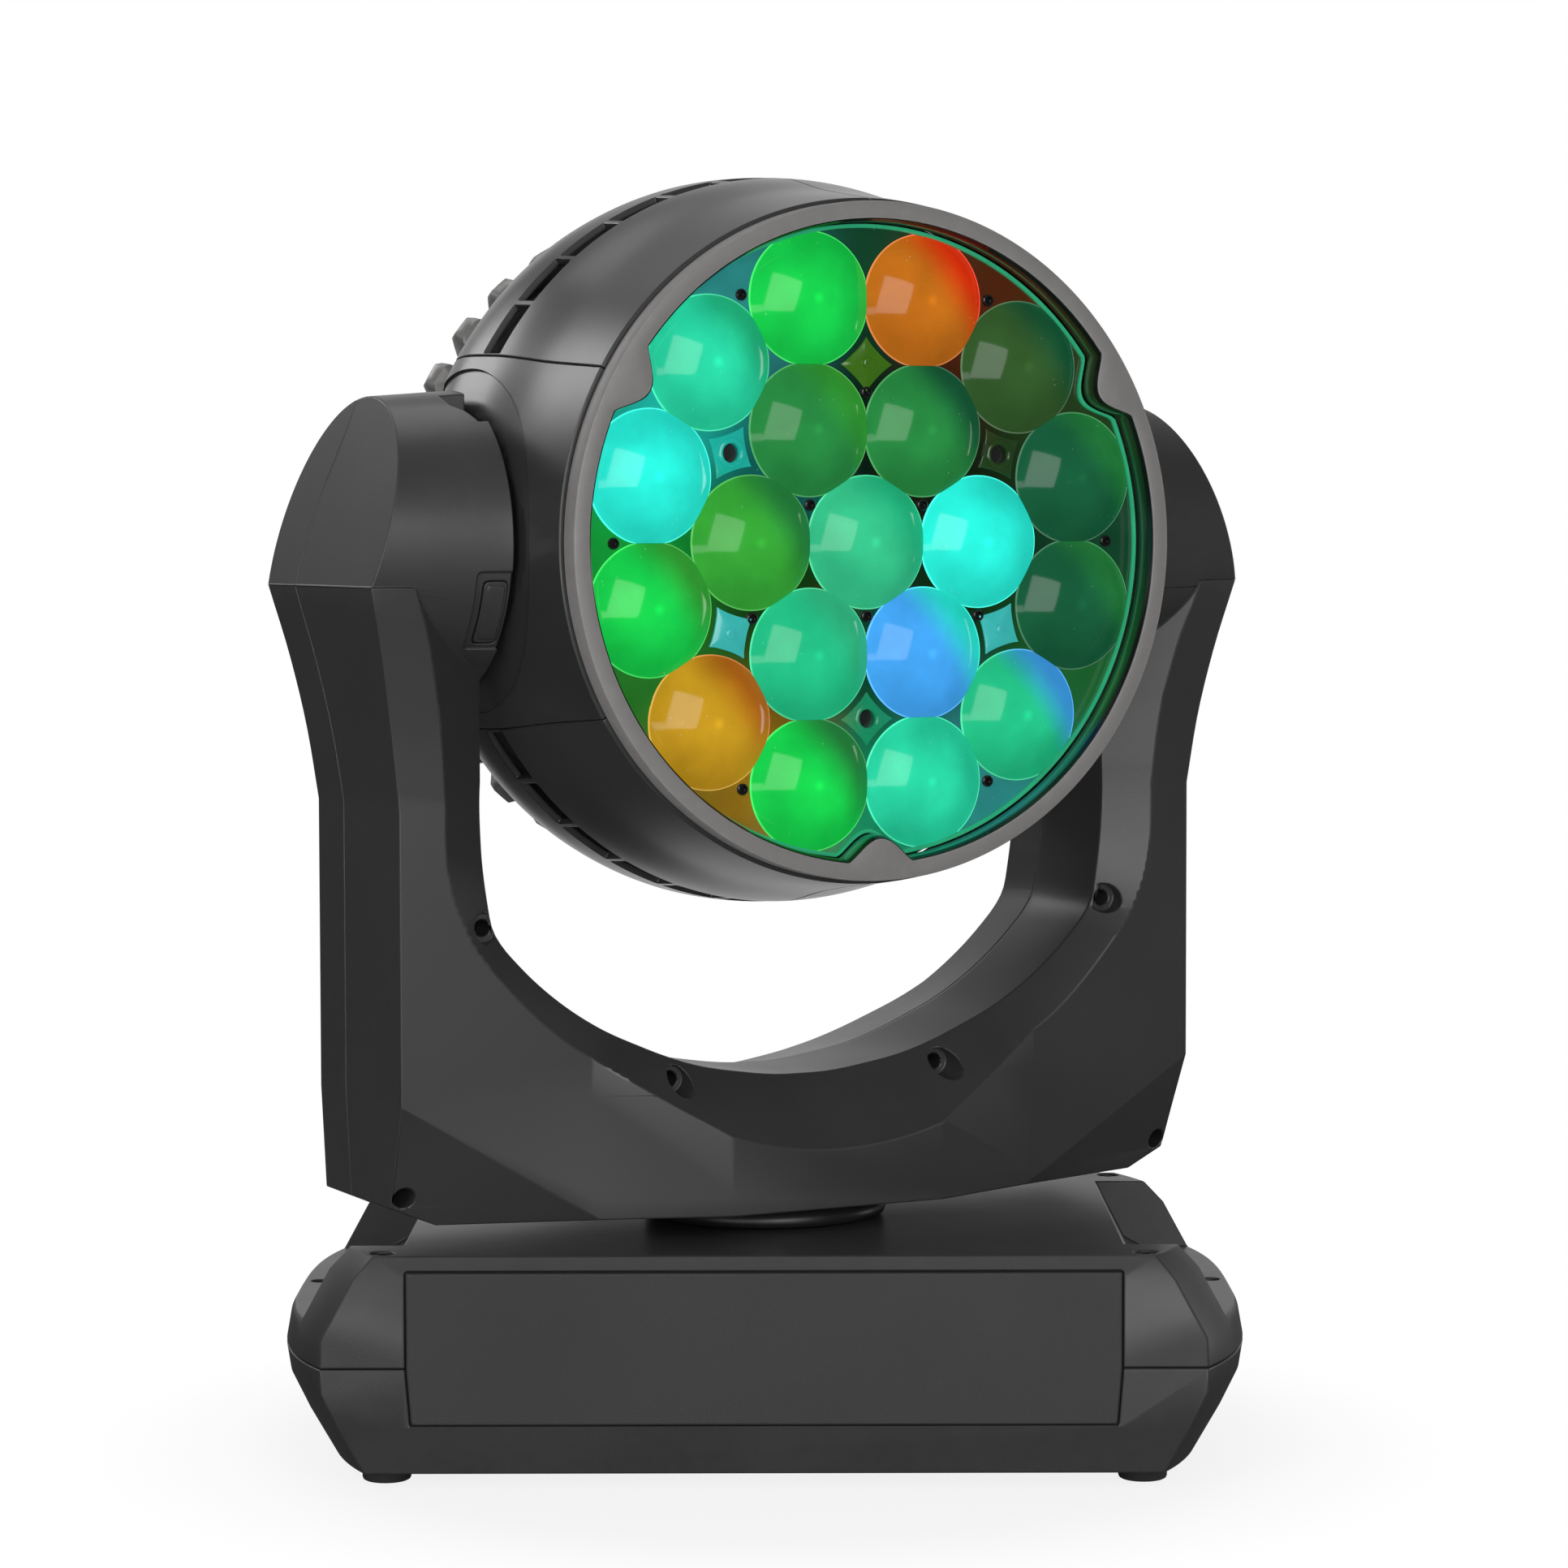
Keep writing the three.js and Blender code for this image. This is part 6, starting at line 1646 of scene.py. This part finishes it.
@dataclass
class LensFace:
    """Plate of nineteen domed lenses that slides with its carrier."""

    plane: float = 93.5
    thickness: float = 3.0
    plate_radius: float = 134.6
    rim_width: float = 1.3
    rim_height: float = 2.3
    lens_radius: float = 28.6
    dome: float = 8.6
    inner_ring: float = 55.0
    outer_ring: float = 106.2
    spokes: int = 96
    foot_width: float = 0.6
    rim_gap: float = 0.5
    field_shares: tuple = (0.97, 0.93, 0.88, 0.82, 0.76, 0.7, 0.64, 0.58, 0.52, 0.46, 0.38, 0.3, 0.2, 0.1)
    boss_angles: tuple = (90, 210, 330)
    boss_ring: float = 76.0
    screw_angles: tuple = (30, 150, 270)
    screw_ring: float = 75.0
    screw_bore: float = 4.2
    pin_rings: tuple = ((31.5, (30, 150, 270)), (63.5, (90, 210, 330)), (119.5, (0, 60, 120, 180, 240, 300)))
    mark_ring: float = 119.5
    mark_angles: tuple = (34, 94, 154, 214, 274, 334)
    pin: tuple = ((0, -0.5), (2.5, -0.5), (2.5, 1.1), (2.1, 1.5), (1.5, 1.5), (1.3, 0.6), (0, 0.6))
    boss: tuple = ((0, 1), (2.3, 1), (2.1, 2.2), (1.6, 2.5), (1.0, 2.5), (0.8, 1.9), (0, 1.9))
    socket: tuple = ((4.2, -0.5), (6.6, -0.5), (6.4, 1.9), (5.9, 2.3), (4.8, 2.3), (4.2, 1.7))
    mark: tuple = ((3.1, -0.4), (3.7, -0.4), (3.7, 0.25), (3.1, 0.25))
    pad_ring: float = 75.3
    pad_reach: tuple = (11.5, 12.5)
    pad_power: float = 0.86
    shell: HeadShell = field(default_factory=HeadShell)

    def glows(self) -> list:
        """Painted glow colours of the lenses.

        Returns:
            Main and side glow colour of each lens, from the middle outwards.
        """
        inner = [(GlowColour.AQUA, GlowColour.AQUA), (GlowColour.MOSS, GlowColour.PINE), (GlowColour.MOSS, GlowColour.LEAF),
                 (GlowColour.LEAF, GlowColour.MOSS), (GlowColour.JADE, GlowColour.MINT), (GlowColour.SKY, GlowColour.AQUA)]
        outer = [(GlowColour.PINE, GlowColour.MOSS), (GlowColour.OLIVE, GlowColour.PINE), (GlowColour.AMBER, GlowColour.FIRE),
                 (GlowColour.EMERALD, GlowColour.EMERALD), (GlowColour.SPRAY, GlowColour.JADE), (GlowColour.AQUA, GlowColour.AQUA),
                 (GlowColour.EMERALD, GlowColour.LEAF), (GlowColour.GOLD, GlowColour.AMBER), (GlowColour.EMERALD, GlowColour.MOSS),
                 (GlowColour.SPRAY, GlowColour.SPRAY), (GlowColour.JADE, GlowColour.SKY), (GlowColour.PINE, GlowColour.MOSS)]
        return [(GlowColour.MINT, GlowColour.JADE)] + inner + outer

    def centres(self) -> np.ndarray:
        """Middles of the lenses: one, six on the inner ring and twelve on the outer ring.

        Returns:
            Places across and up, one row per lens.
        """
        first = np.radians(np.arange(6) * 60)
        second = np.radians(np.arange(12) * 30 + 15)
        inner = self.inner_ring * np.stack([np.cos(first), np.sin(first)], -1)
        outer = self.outer_ring * np.stack([np.cos(second), np.sin(second)], -1)
        return np.concatenate([[[0.0, 0.0]], inner, outer])

    def reach(self, centre: np.ndarray, others: np.ndarray, angle: np.ndarray) -> np.ndarray:
        """How far a lens runs in each direction before it meets a neighbour, the rim or its own edge.

        The limit towards a neighbour at distance d is d/2 over the cosine of the angle between them.
        The limit towards the rim is where small steps first leave the plate's outline.

        Args:
            centre: Middle of the lens.
            others: Middles of all lenses.
            angle: Directions.

        Returns:
            Radius in each direction.
        """
        run = others - centre
        distance = np.hypot(run[:, 0], run[:, 1])
        near = (distance > 1) & (distance < 2.2 * self.lens_radius)
        toward = np.cos(angle[:, None] - np.arctan2(run[near, 1], run[near, 0])[None, :])
        limit = np.where(toward > 0.05, (distance[near] / 2 - 0.06)[None, :] / np.maximum(toward, 0.05), 999)
        step = np.linspace(0, self.lens_radius, 400)
        way = np.stack([np.cos(angle), np.sin(angle)], -1)
        place = centre + step[None, :, None] * way[:, None, :]
        degrees = np.degrees(np.arctan2(place[..., 1], place[..., 0]))
        bound = self.shell.inner_radius(degrees.ravel()).reshape(degrees.shape) - self.rim_width - self.rim_gap
        inside = np.cumprod(np.hypot(place[..., 0], place[..., 1]) < bound, axis=1).sum(axis=1)
        return np.minimum(step[np.clip(inside - 1, 1, 399)], limit.min(axis=1, initial=999))

    def lens(self, centre: np.ndarray, others: np.ndarray) -> Shape:
        """One dome: a part of a sphere inside a narrow flat rim, with a skirt to the plate.

        Height over the plate at radius r is rim + sqrt(R^2 - r^2) - sqrt(R^2 - a^2), where R is the
        radius of the sphere and a that of the dome's foot.

        Args:
            centre: Middle of the lens.
            others: Middles of all lenses.

        Returns:
            The closed dome.
        """
        angle = 2 * np.pi * np.arange(self.spokes) / self.spokes
        edge = self.reach(centre, others, angle)
        foot, rim = self.lens_radius - self.foot_width, 0.6
        sphere = (foot ** 2 + self.dome ** 2) / (2 * self.dome)
        share = np.sin(np.linspace(0, np.pi / 2, 15))
        inner = np.minimum(edge, foot)[:, None] * share[None, :]
        height = rim + np.sqrt(sphere ** 2 - inner ** 2) - math.sqrt(sphere ** 2 - foot ** 2)
        groove = np.where(edge > foot, edge, np.minimum(edge, foot) + 0.01)[:, None]
        top = np.where(edge[:, None] > foot, rim, height[:, -1:])
        radius = np.concatenate([inner, np.minimum(inner[:, -1:] + 0.25, groove), groove - 0.2, groove, groove,
                                 np.zeros_like(groove)], axis=1)
        up = np.concatenate([height, top - 0.25, top - 0.1, top - 0.35, np.full_like(top, -1.0),
                             np.full_like(top, -1.0)], axis=1)
        rings = Axis.FORWARD.lift(centre[0] + radius * np.cos(angle)[:, None],
                                  centre[1] + radius * np.sin(angle)[:, None], self.plane + up)
        return loft(rings, looped=True)

    def domes(self) -> None:
        """All lenses as one piece with painted glow by their place: painted shade towards the edge, a painted
        lighter upper left side, and a painted highlight at the rim and core.
        """
        centres = self.centres()
        piece = make("lens_domes", together(self.lens(centre, centres) for centre in centres), Station.HEAD)
        local = head_points(piece)
        run = local[:, None, [0, 2]] - centres[None]
        nearest = np.argmin(np.hypot(run[..., 0], run[..., 1]), axis=1)
        own = run[np.arange(len(run)), nearest] / self.lens_radius
        main = np.array([pair[0].linear() for pair in self.glows()])[nearest]
        side = np.array([pair[1].linear() for pair in self.glows()])[nearest]
        far = np.hypot(own[:, 0], own[:, 1])
        foot = (self.lens_radius - self.foot_width) / self.lens_radius
        # painted glow turns from main to side colour across each lens
        lean = ease(own[:, 0] * 0.8 + own[:, 1] * 0.6, 0.1, 0.85)[:, None]
        colour = main * (1 - lean) + side * lean
        # painted highlight: a bright spot at each lens's centre
        core_highlight = np.exp(-(far / 0.07) ** 2)
        # painted shade towards the edge, painted light on the upper left side, plus the painted centre highlight
        shade = 1.06 - 0.3 * ease(far, 0.2, 0.9) + 0.22 * ease(-own[:, 0] + own[:, 1] * 0.4, 0.2, 0.9) + 0.35 * core_highlight
        # painted highlight: a bright line along the rim of each dome
        bright = ease(far, foot - 0.004, foot + 0.012)[:, None]
        glow_painted(piece, colour * shade[:, None] * (1 + 0.7 * bright) + 0.07 * bright)
        dressed(piece, LENS, "zoom", edge=0, angle=50)

    def plate(self) -> None:
        """The plate under the domes: a raised rim that follows the bezel's tabs round a flat field. The field gets
        painted glow, brighter towards the edge, and the rim a painted highlight.
        """
        degrees = np.arange(0, 360, 0.75)
        rim = np.minimum(self.plate_radius, self.shell.inner_radius(degrees) - self.rim_gap)
        low, high = self.plane - self.thickness, self.plane + self.rim_height
        field_edge = rim - self.rim_width - 0.5
        section = [(0 * rim, low), (rim, low), (rim, high - 0.35), (rim - 0.3, high), (rim - self.rim_width, high),
                   (rim - self.rim_width - 0.2, high - 0.3), (field_edge, self.plane)]
        section += [(field_edge * share, self.plane) for share in self.field_shares] + [(0 * rim, self.plane)]
        plate = make("lens_plate", self.shell.carried(degrees, section), Station.HEAD)
        holes = [rod(self.screw_bore, 80, 110, Axis.FORWARD, self.polar(self.screw_ring, angle), 32)
                 for angle in self.screw_angles]
        worked(plate, Station.HEAD, holes)
        local = head_points(plate)
        radius = np.hypot(local[:, 0], local[:, 2])
        # painted glow on the field, brighter towards the edge
        field_glow = around(local, 1.0) * (0.1 + 0.4 * ease(radius, 55, 112))[:, None]
        # painted highlight on the raised rim
        raised = ease(local[:, 1] - self.plane, 0.8, self.rim_height - 0.4)[:, None]
        glow_painted(plate, field_glow * (1 - raised) + 0.75 * np.array(GlowColour.MINT.linear()) * raised)
        plate.data.shade_smooth()
        dressed(plate, LENS_PLATE, "zoom", ["lens_array"], edge=0, angle=34)

    def polar(self, radius: float, degrees: float) -> tuple:
        """A place on the face by radius and angle."""
        return radius * math.cos(math.radians(degrees)), radius * math.sin(math.radians(degrees))

    def raised(self, profile: Sequence, steps: int, radius: float, angles: Sequence) -> list:
        """Small turned pieces on the plate.

        Args:
            profile: Its radii and heights over the plate.
            steps: Steps around each.
            radius: Radius of the ring that they stand on.
            angles: Their angles on it.

        Returns:
            One shape for each angle.
        """
        points = [(out, self.plane + up) for out, up in profile]
        return [turned(points, steps, Axis.FORWARD, self.spot(radius, angle)) for angle in angles]

    def details(self) -> None:
        """Pin heads, boss pads and the ringed sockets over the lead screws; pads and sockets get painted glow, with
        its own colour round each boss.
        """
        heads = [head for radius, angles in self.pin_rings for head in self.raised(self.pin, 24, radius, angles)]
        dressed(make("plate_pins", together(heads), Station.HEAD), PIN, "zoom", edge=0)
        pads = [self.pad(angle, 0.0) for angle in self.boss_angles]
        pads += [self.pad(angle, self.screw_bore) for angle in self.screw_angles]
        pads += self.raised(self.boss, 24, self.boss_ring, self.boss_angles)
        pads += self.raised(self.socket, 40, self.screw_ring, self.screw_angles)
        pads += self.raised(self.mark, 32, self.mark_ring, self.mark_angles)
        piece = make("plate_pads", together(pads), Station.HEAD)
        local = head_points(piece)
        turn = np.degrees(np.arctan2(local[:, 2], local[:, 0])) % 360
        inner = (np.hypot(local[:, 0], local[:, 2]) < 100)[:, None]
        # painted glow of the pads and sockets, with other colours round the bosses
        colour = around(local, 0.5)
        for angle, glow_colour in zip(self.boss_angles, (GlowColour.GRASS, GlowColour.TEAL, GlowColour.TEAL)):
            near = (np.abs(turn - angle) < 15)[:, None] & inner
            colour = np.where(near, np.array(glow_colour.linear()), colour)
        glow_painted(piece, colour)
        dressed(piece, LENS_PLATE, "zoom", edge=0, angle=40)

    def pad(self, degrees: float, bore: float) -> Shape:
        """A raised field that fills the gap between four lenses: a rhombus with hollow sides.

        Its edge is where (x/a)^p + (y/b)^p = 1 with p below 1, along and across the radius.

        Args:
            degrees: Its angle about the beam.
            bore: Radius of the hole in it, or 0.

        Returns:
            The closed field.
        """
        angle = np.radians(np.arange(48) * 7.5)
        cos, sin = np.cos(angle), np.sin(angle)
        (far, wide), power = self.pad_reach, self.pad_power
        reach = (np.abs(cos / far) ** power + np.abs(sin / wide) ** power) ** (-1 / power)
        turn = math.radians(degrees)
        middle = self.polar(self.pad_ring, degrees)
        rings = []
        for share, up in ((1.0, -0.5), (1.0, 0.7), (0.94, 0.95), (0.0, 0.95), (0.0, -0.5)):
            radius = bore + np.maximum(reach - bore, 0.3) * share
            along, side = radius * cos, radius * sin
            rings.append(Axis.FORWARD.lift(middle[0] + along * math.cos(turn) - side * math.sin(turn),
                                           middle[1] + along * math.sin(turn) + side * math.cos(turn),
                                           self.plane + up))
        return loft(np.stack(rings), looped=True)

    def spot(self, radius: float, degrees: float) -> tuple:
        """Centre point of a small turned piece on the face."""
        across, up = self.polar(radius, degrees)
        return across, 0.0, up

    def build(self) -> None:
        """Makes the lens face."""
        self.plate()
        self.domes()
        self.details()


# Inner pieces keep their CAD shape and get a finish

@dataclass
class InnerParts:
    """Finishes of the CAD nodes that stay visible through gaps or when the light is opened."""

    finishes: tuple = (SHEET, STEEL, SINK, CASE, BOARD, LED_CORE, RUBBER, LIGHT_ROD, MOTOR, DARK, CAST, MOULDED,
                       BEZEL, BUTTON, LENS_BACK)

    def build(self) -> None:
        """Gives every CAD node the finish of its slot."""
        by_slot = {finish.slot: finish for finish in reversed(self.finishes)}
        slots = {part["node"]: part["material_slot"] for part in frame["record"]["subparts"]}
        for name, piece in frame["nodes"].items():
            finish = SCREW if name.startswith("zoom_lead_screw") else by_slot[slots[name]]
            piece.data.materials.clear()
            piece.data.materials.append(finish.material())
        log.info("inner parts: %d nodes finished", len(frame["nodes"]))


# Studio

@dataclass(frozen=True)
class Lamp:
    """A soft rectangular lamp: where it stands and looks, in metres, its watts and its roll in degrees."""

    name: str
    place: tuple
    size: tuple
    power: float
    target: tuple = (0.0, 0.0, 0.4)
    roll: float = 0.0

    def build(self) -> None:
        """Puts the lamp into the scene."""
        data = bpy.data.lights.new(self.name, "AREA")
        data.shape, data.energy = "RECTANGLE", self.power
        data.size, data.size_y = self.size
        lamp = bpy.data.objects.new(self.name, data)
        lamp.location = self.place
        away = Vector(self.target) - Vector(self.place)
        turn = away.to_track_quat("-Z", "Y") @ Quaternion((0, 0, 1), math.radians(self.roll))
        lamp.rotation_euler = turn.to_euler()
        bpy.context.scene.collection.objects.link(lamp)


@dataclass
class Studio:
    """Pale floor and backdrop, soft lamps and the camera of the photograph."""

    lamps: tuple = (Lamp("softbox", (0.85, -2.56, 0.66), (1.44, 1.92), 50, roll=-18),
                    Lamp("left front", (-1.6, -2.35, 1.5), (1.3, 1.6), 27),
                    Lamp("low front", (-0.9, -2.2, 0.1), (1.9, 0.4), 11, (0, 0, 0.25)),
                    Lamp("strip", (1.85, 0.75, 0.3), (0.35, 1.4), 8),
                    Lamp("overhead", (-0.1, 0.6, 1.9), (1.7, 1.1), 10),
                    Lamp("left rim", (-1.75, 1.25, 1.5), (0.9, 0.7), 10, (-0.15, 0, 0.42)))
    floor_rings: tuple = (0.0, 300.0, 900.0, 3000.0, 9000.0)
    floor_steps: int = 96
    camera_place: tuple = (0.00907, -1.98506, 0.41266)
    camera_turn: tuple = (math.radians(86.54), 0.002, 0.0)
    lens: float = 102.54
    front_level: float = 0.06
    behind_level: float = 0.3

    def seen(self, tree: NodeTree) -> tuple:
        """What kind a ray is.

        Args:
            tree: Node tree that gets the nodes.

        Returns:
            Whether it comes from the camera, and whether it is a mirrored or refracted one.
        """
        path = node(tree, "ShaderNodeLightPath").outputs
        mirrored = maths(tree, "ADD", path["Is Glossy Ray"], path["Is Transmission Ray"], clamp=True)
        return path["Is Camera Ray"], mirrored

    def ramp(self, tree: NodeTree, value: Value, low: float, high: float) -> NodeSocket:
        """Smooth step from 0 at low to 1 at high."""
        return node(tree, "ShaderNodeMapRange", {"Value": value, "From Min": low, "From Max": high},
                    interpolation_type="SMOOTHSTEP").outputs[0]

    def floor(self) -> None:
        """A wide pale floor that fades into the white behind it and keeps a weak shadow."""
        angle = 2 * np.pi * np.arange(self.floor_steps) / self.floor_steps
        radius = np.array(self.floor_rings)[None, :]
        points = Axis.UP.lift(radius * np.cos(angle)[:, None], radius * np.sin(angle)[:, None], -0.02)
        index = np.arange(points[..., 0].size).reshape(points.shape[:2])
        nxt = np.roll(index, -1, axis=0)
        faces = np.stack([index[:, :-1], index[:, 1:], nxt[:, 1:], nxt[:, :-1]], -1).reshape(-1, 4).tolist()
        floor = make("floor", Shape(points.reshape(-1, 3), faces), Station.BASE)
        paint = bpy.data.materials.new("pale floor")
        paint.use_nodes = True
        tree = paint.node_tree
        shader = tree.nodes["Principled BSDF"]
        fill(tree, shader, {"Base Color": (0.9, 0.9, 0.9, 1), "Roughness": 0.6, "Specular IOR Level": 0.15})
        place = own_place(tree)
        far = node(tree, "ShaderNodeVectorMath", {0: place}, operation="LENGTH").outputs["Value"]
        depth = node(tree, "ShaderNodeSeparateXYZ", {0: place}).outputs["Y"]
        camera, mirrored = self.seen(tree)
        fade = maths(tree, "ADD", maths(tree, "MULTIPLY", self.ramp(tree, far, 0.19, 0.32), 0.15), 0.85)
        share = maths(tree, "ADD", maths(tree, "MULTIPLY", camera, fade), mirrored, clamp=True)
        ahead = self.ramp(tree, maths(tree, "DIVIDE", depth, far), 0.8, 0.96)
        behind = maths(tree, "MULTIPLY", maths(tree, "MULTIPLY", self.ramp(tree, depth, 0.1, 0.35), ahead),
                       1.0 - self.front_level)
        dim = maths(tree, "MULTIPLY", maths(tree, "SUBTRACT", 1.0, camera), self.front_level)
        strength = maths(tree, "ADD", maths(tree, "MAXIMUM", camera, behind), dim, clamp=True)
        white = node(tree, "ShaderNodeEmission", {"Color": (1, 1, 1, 1), "Strength": strength})
        mix = node(tree, "ShaderNodeMixShader", {0: share, 1: shader.outputs[0], 2: white.outputs[0]})
        fill(tree, tree.nodes["Material Output"], {"Surface": mix.outputs[0]})
        floor.data.materials.append(paint)

    def world(self) -> None:
        """Surroundings: white to the camera and, behind the light, to mirrored rays; dim towards the front."""
        world = bpy.data.worlds.new("surroundings")
        bpy.context.scene.world = world
        world.use_nodes = True
        tree = world.node_tree
        way = node(tree, "ShaderNodeSeparateXYZ", {0: own_place(tree)}).outputs
        camera, mirrored = self.seen(tree)
        sharp = maths(tree, "MULTIPLY", self.ramp(tree, way["Y"], 0.78, 0.97), mirrored)
        soft = maths(tree, "MULTIPLY", self.ramp(tree, way["Y"], -0.1, 0.8), self.behind_level)
        plain = maths(tree, "MULTIPLY", maths(tree, "SUBTRACT", 1.0, mirrored), soft)
        level = maths(tree, "ADD", maths(tree, "ADD", sharp, plain), self.front_level, clamp=True)
        ground = tree.nodes["Background"]
        fill(tree, ground, {"Color": (1, 1, 1, 1), "Strength": level})
        white = node(tree, "ShaderNodeBackground", {"Color": (1, 1, 1, 1), "Strength": 1.0})
        mix = node(tree, "ShaderNodeMixShader", {0: camera, 1: ground.outputs[0], 2: white.outputs[0]})
        fill(tree, tree.nodes["World Output"], {"Surface": mix.outputs[0]})

    def camera(self) -> None:
        """The camera at the photograph's place."""
        data = bpy.data.cameras.new("camera")
        data.lens, data.sensor_width = self.lens, 36.0
        data.clip_end = 50.0
        camera = bpy.data.objects.new("camera", data)
        camera.location, camera.rotation_euler = self.camera_place, self.camera_turn
        bpy.context.scene.collection.objects.link(camera)
        bpy.context.scene.camera = camera

    def build(self) -> None:
        """Sets up floor, lamps, surroundings and camera."""
        self.floor()
        self.world()
        for lamp in self.lamps:
            lamp.build()
        self.camera()
        bpy.context.scene.view_settings.view_transform = "Standard"


def main() -> None:
    """Builds the light piece by piece."""
    logging.basicConfig(level=logging.INFO, format="%(name)s | %(message)s")
    Studio().build()
    InnerParts().build()
    for part in (BaseHousing(), PanBearing(), Yoke(), HeadShell(), LensFace()):
        log.info("building %s", type(part).__name__)
        part.build()
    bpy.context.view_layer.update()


if __name__ == "__main__":
    main()
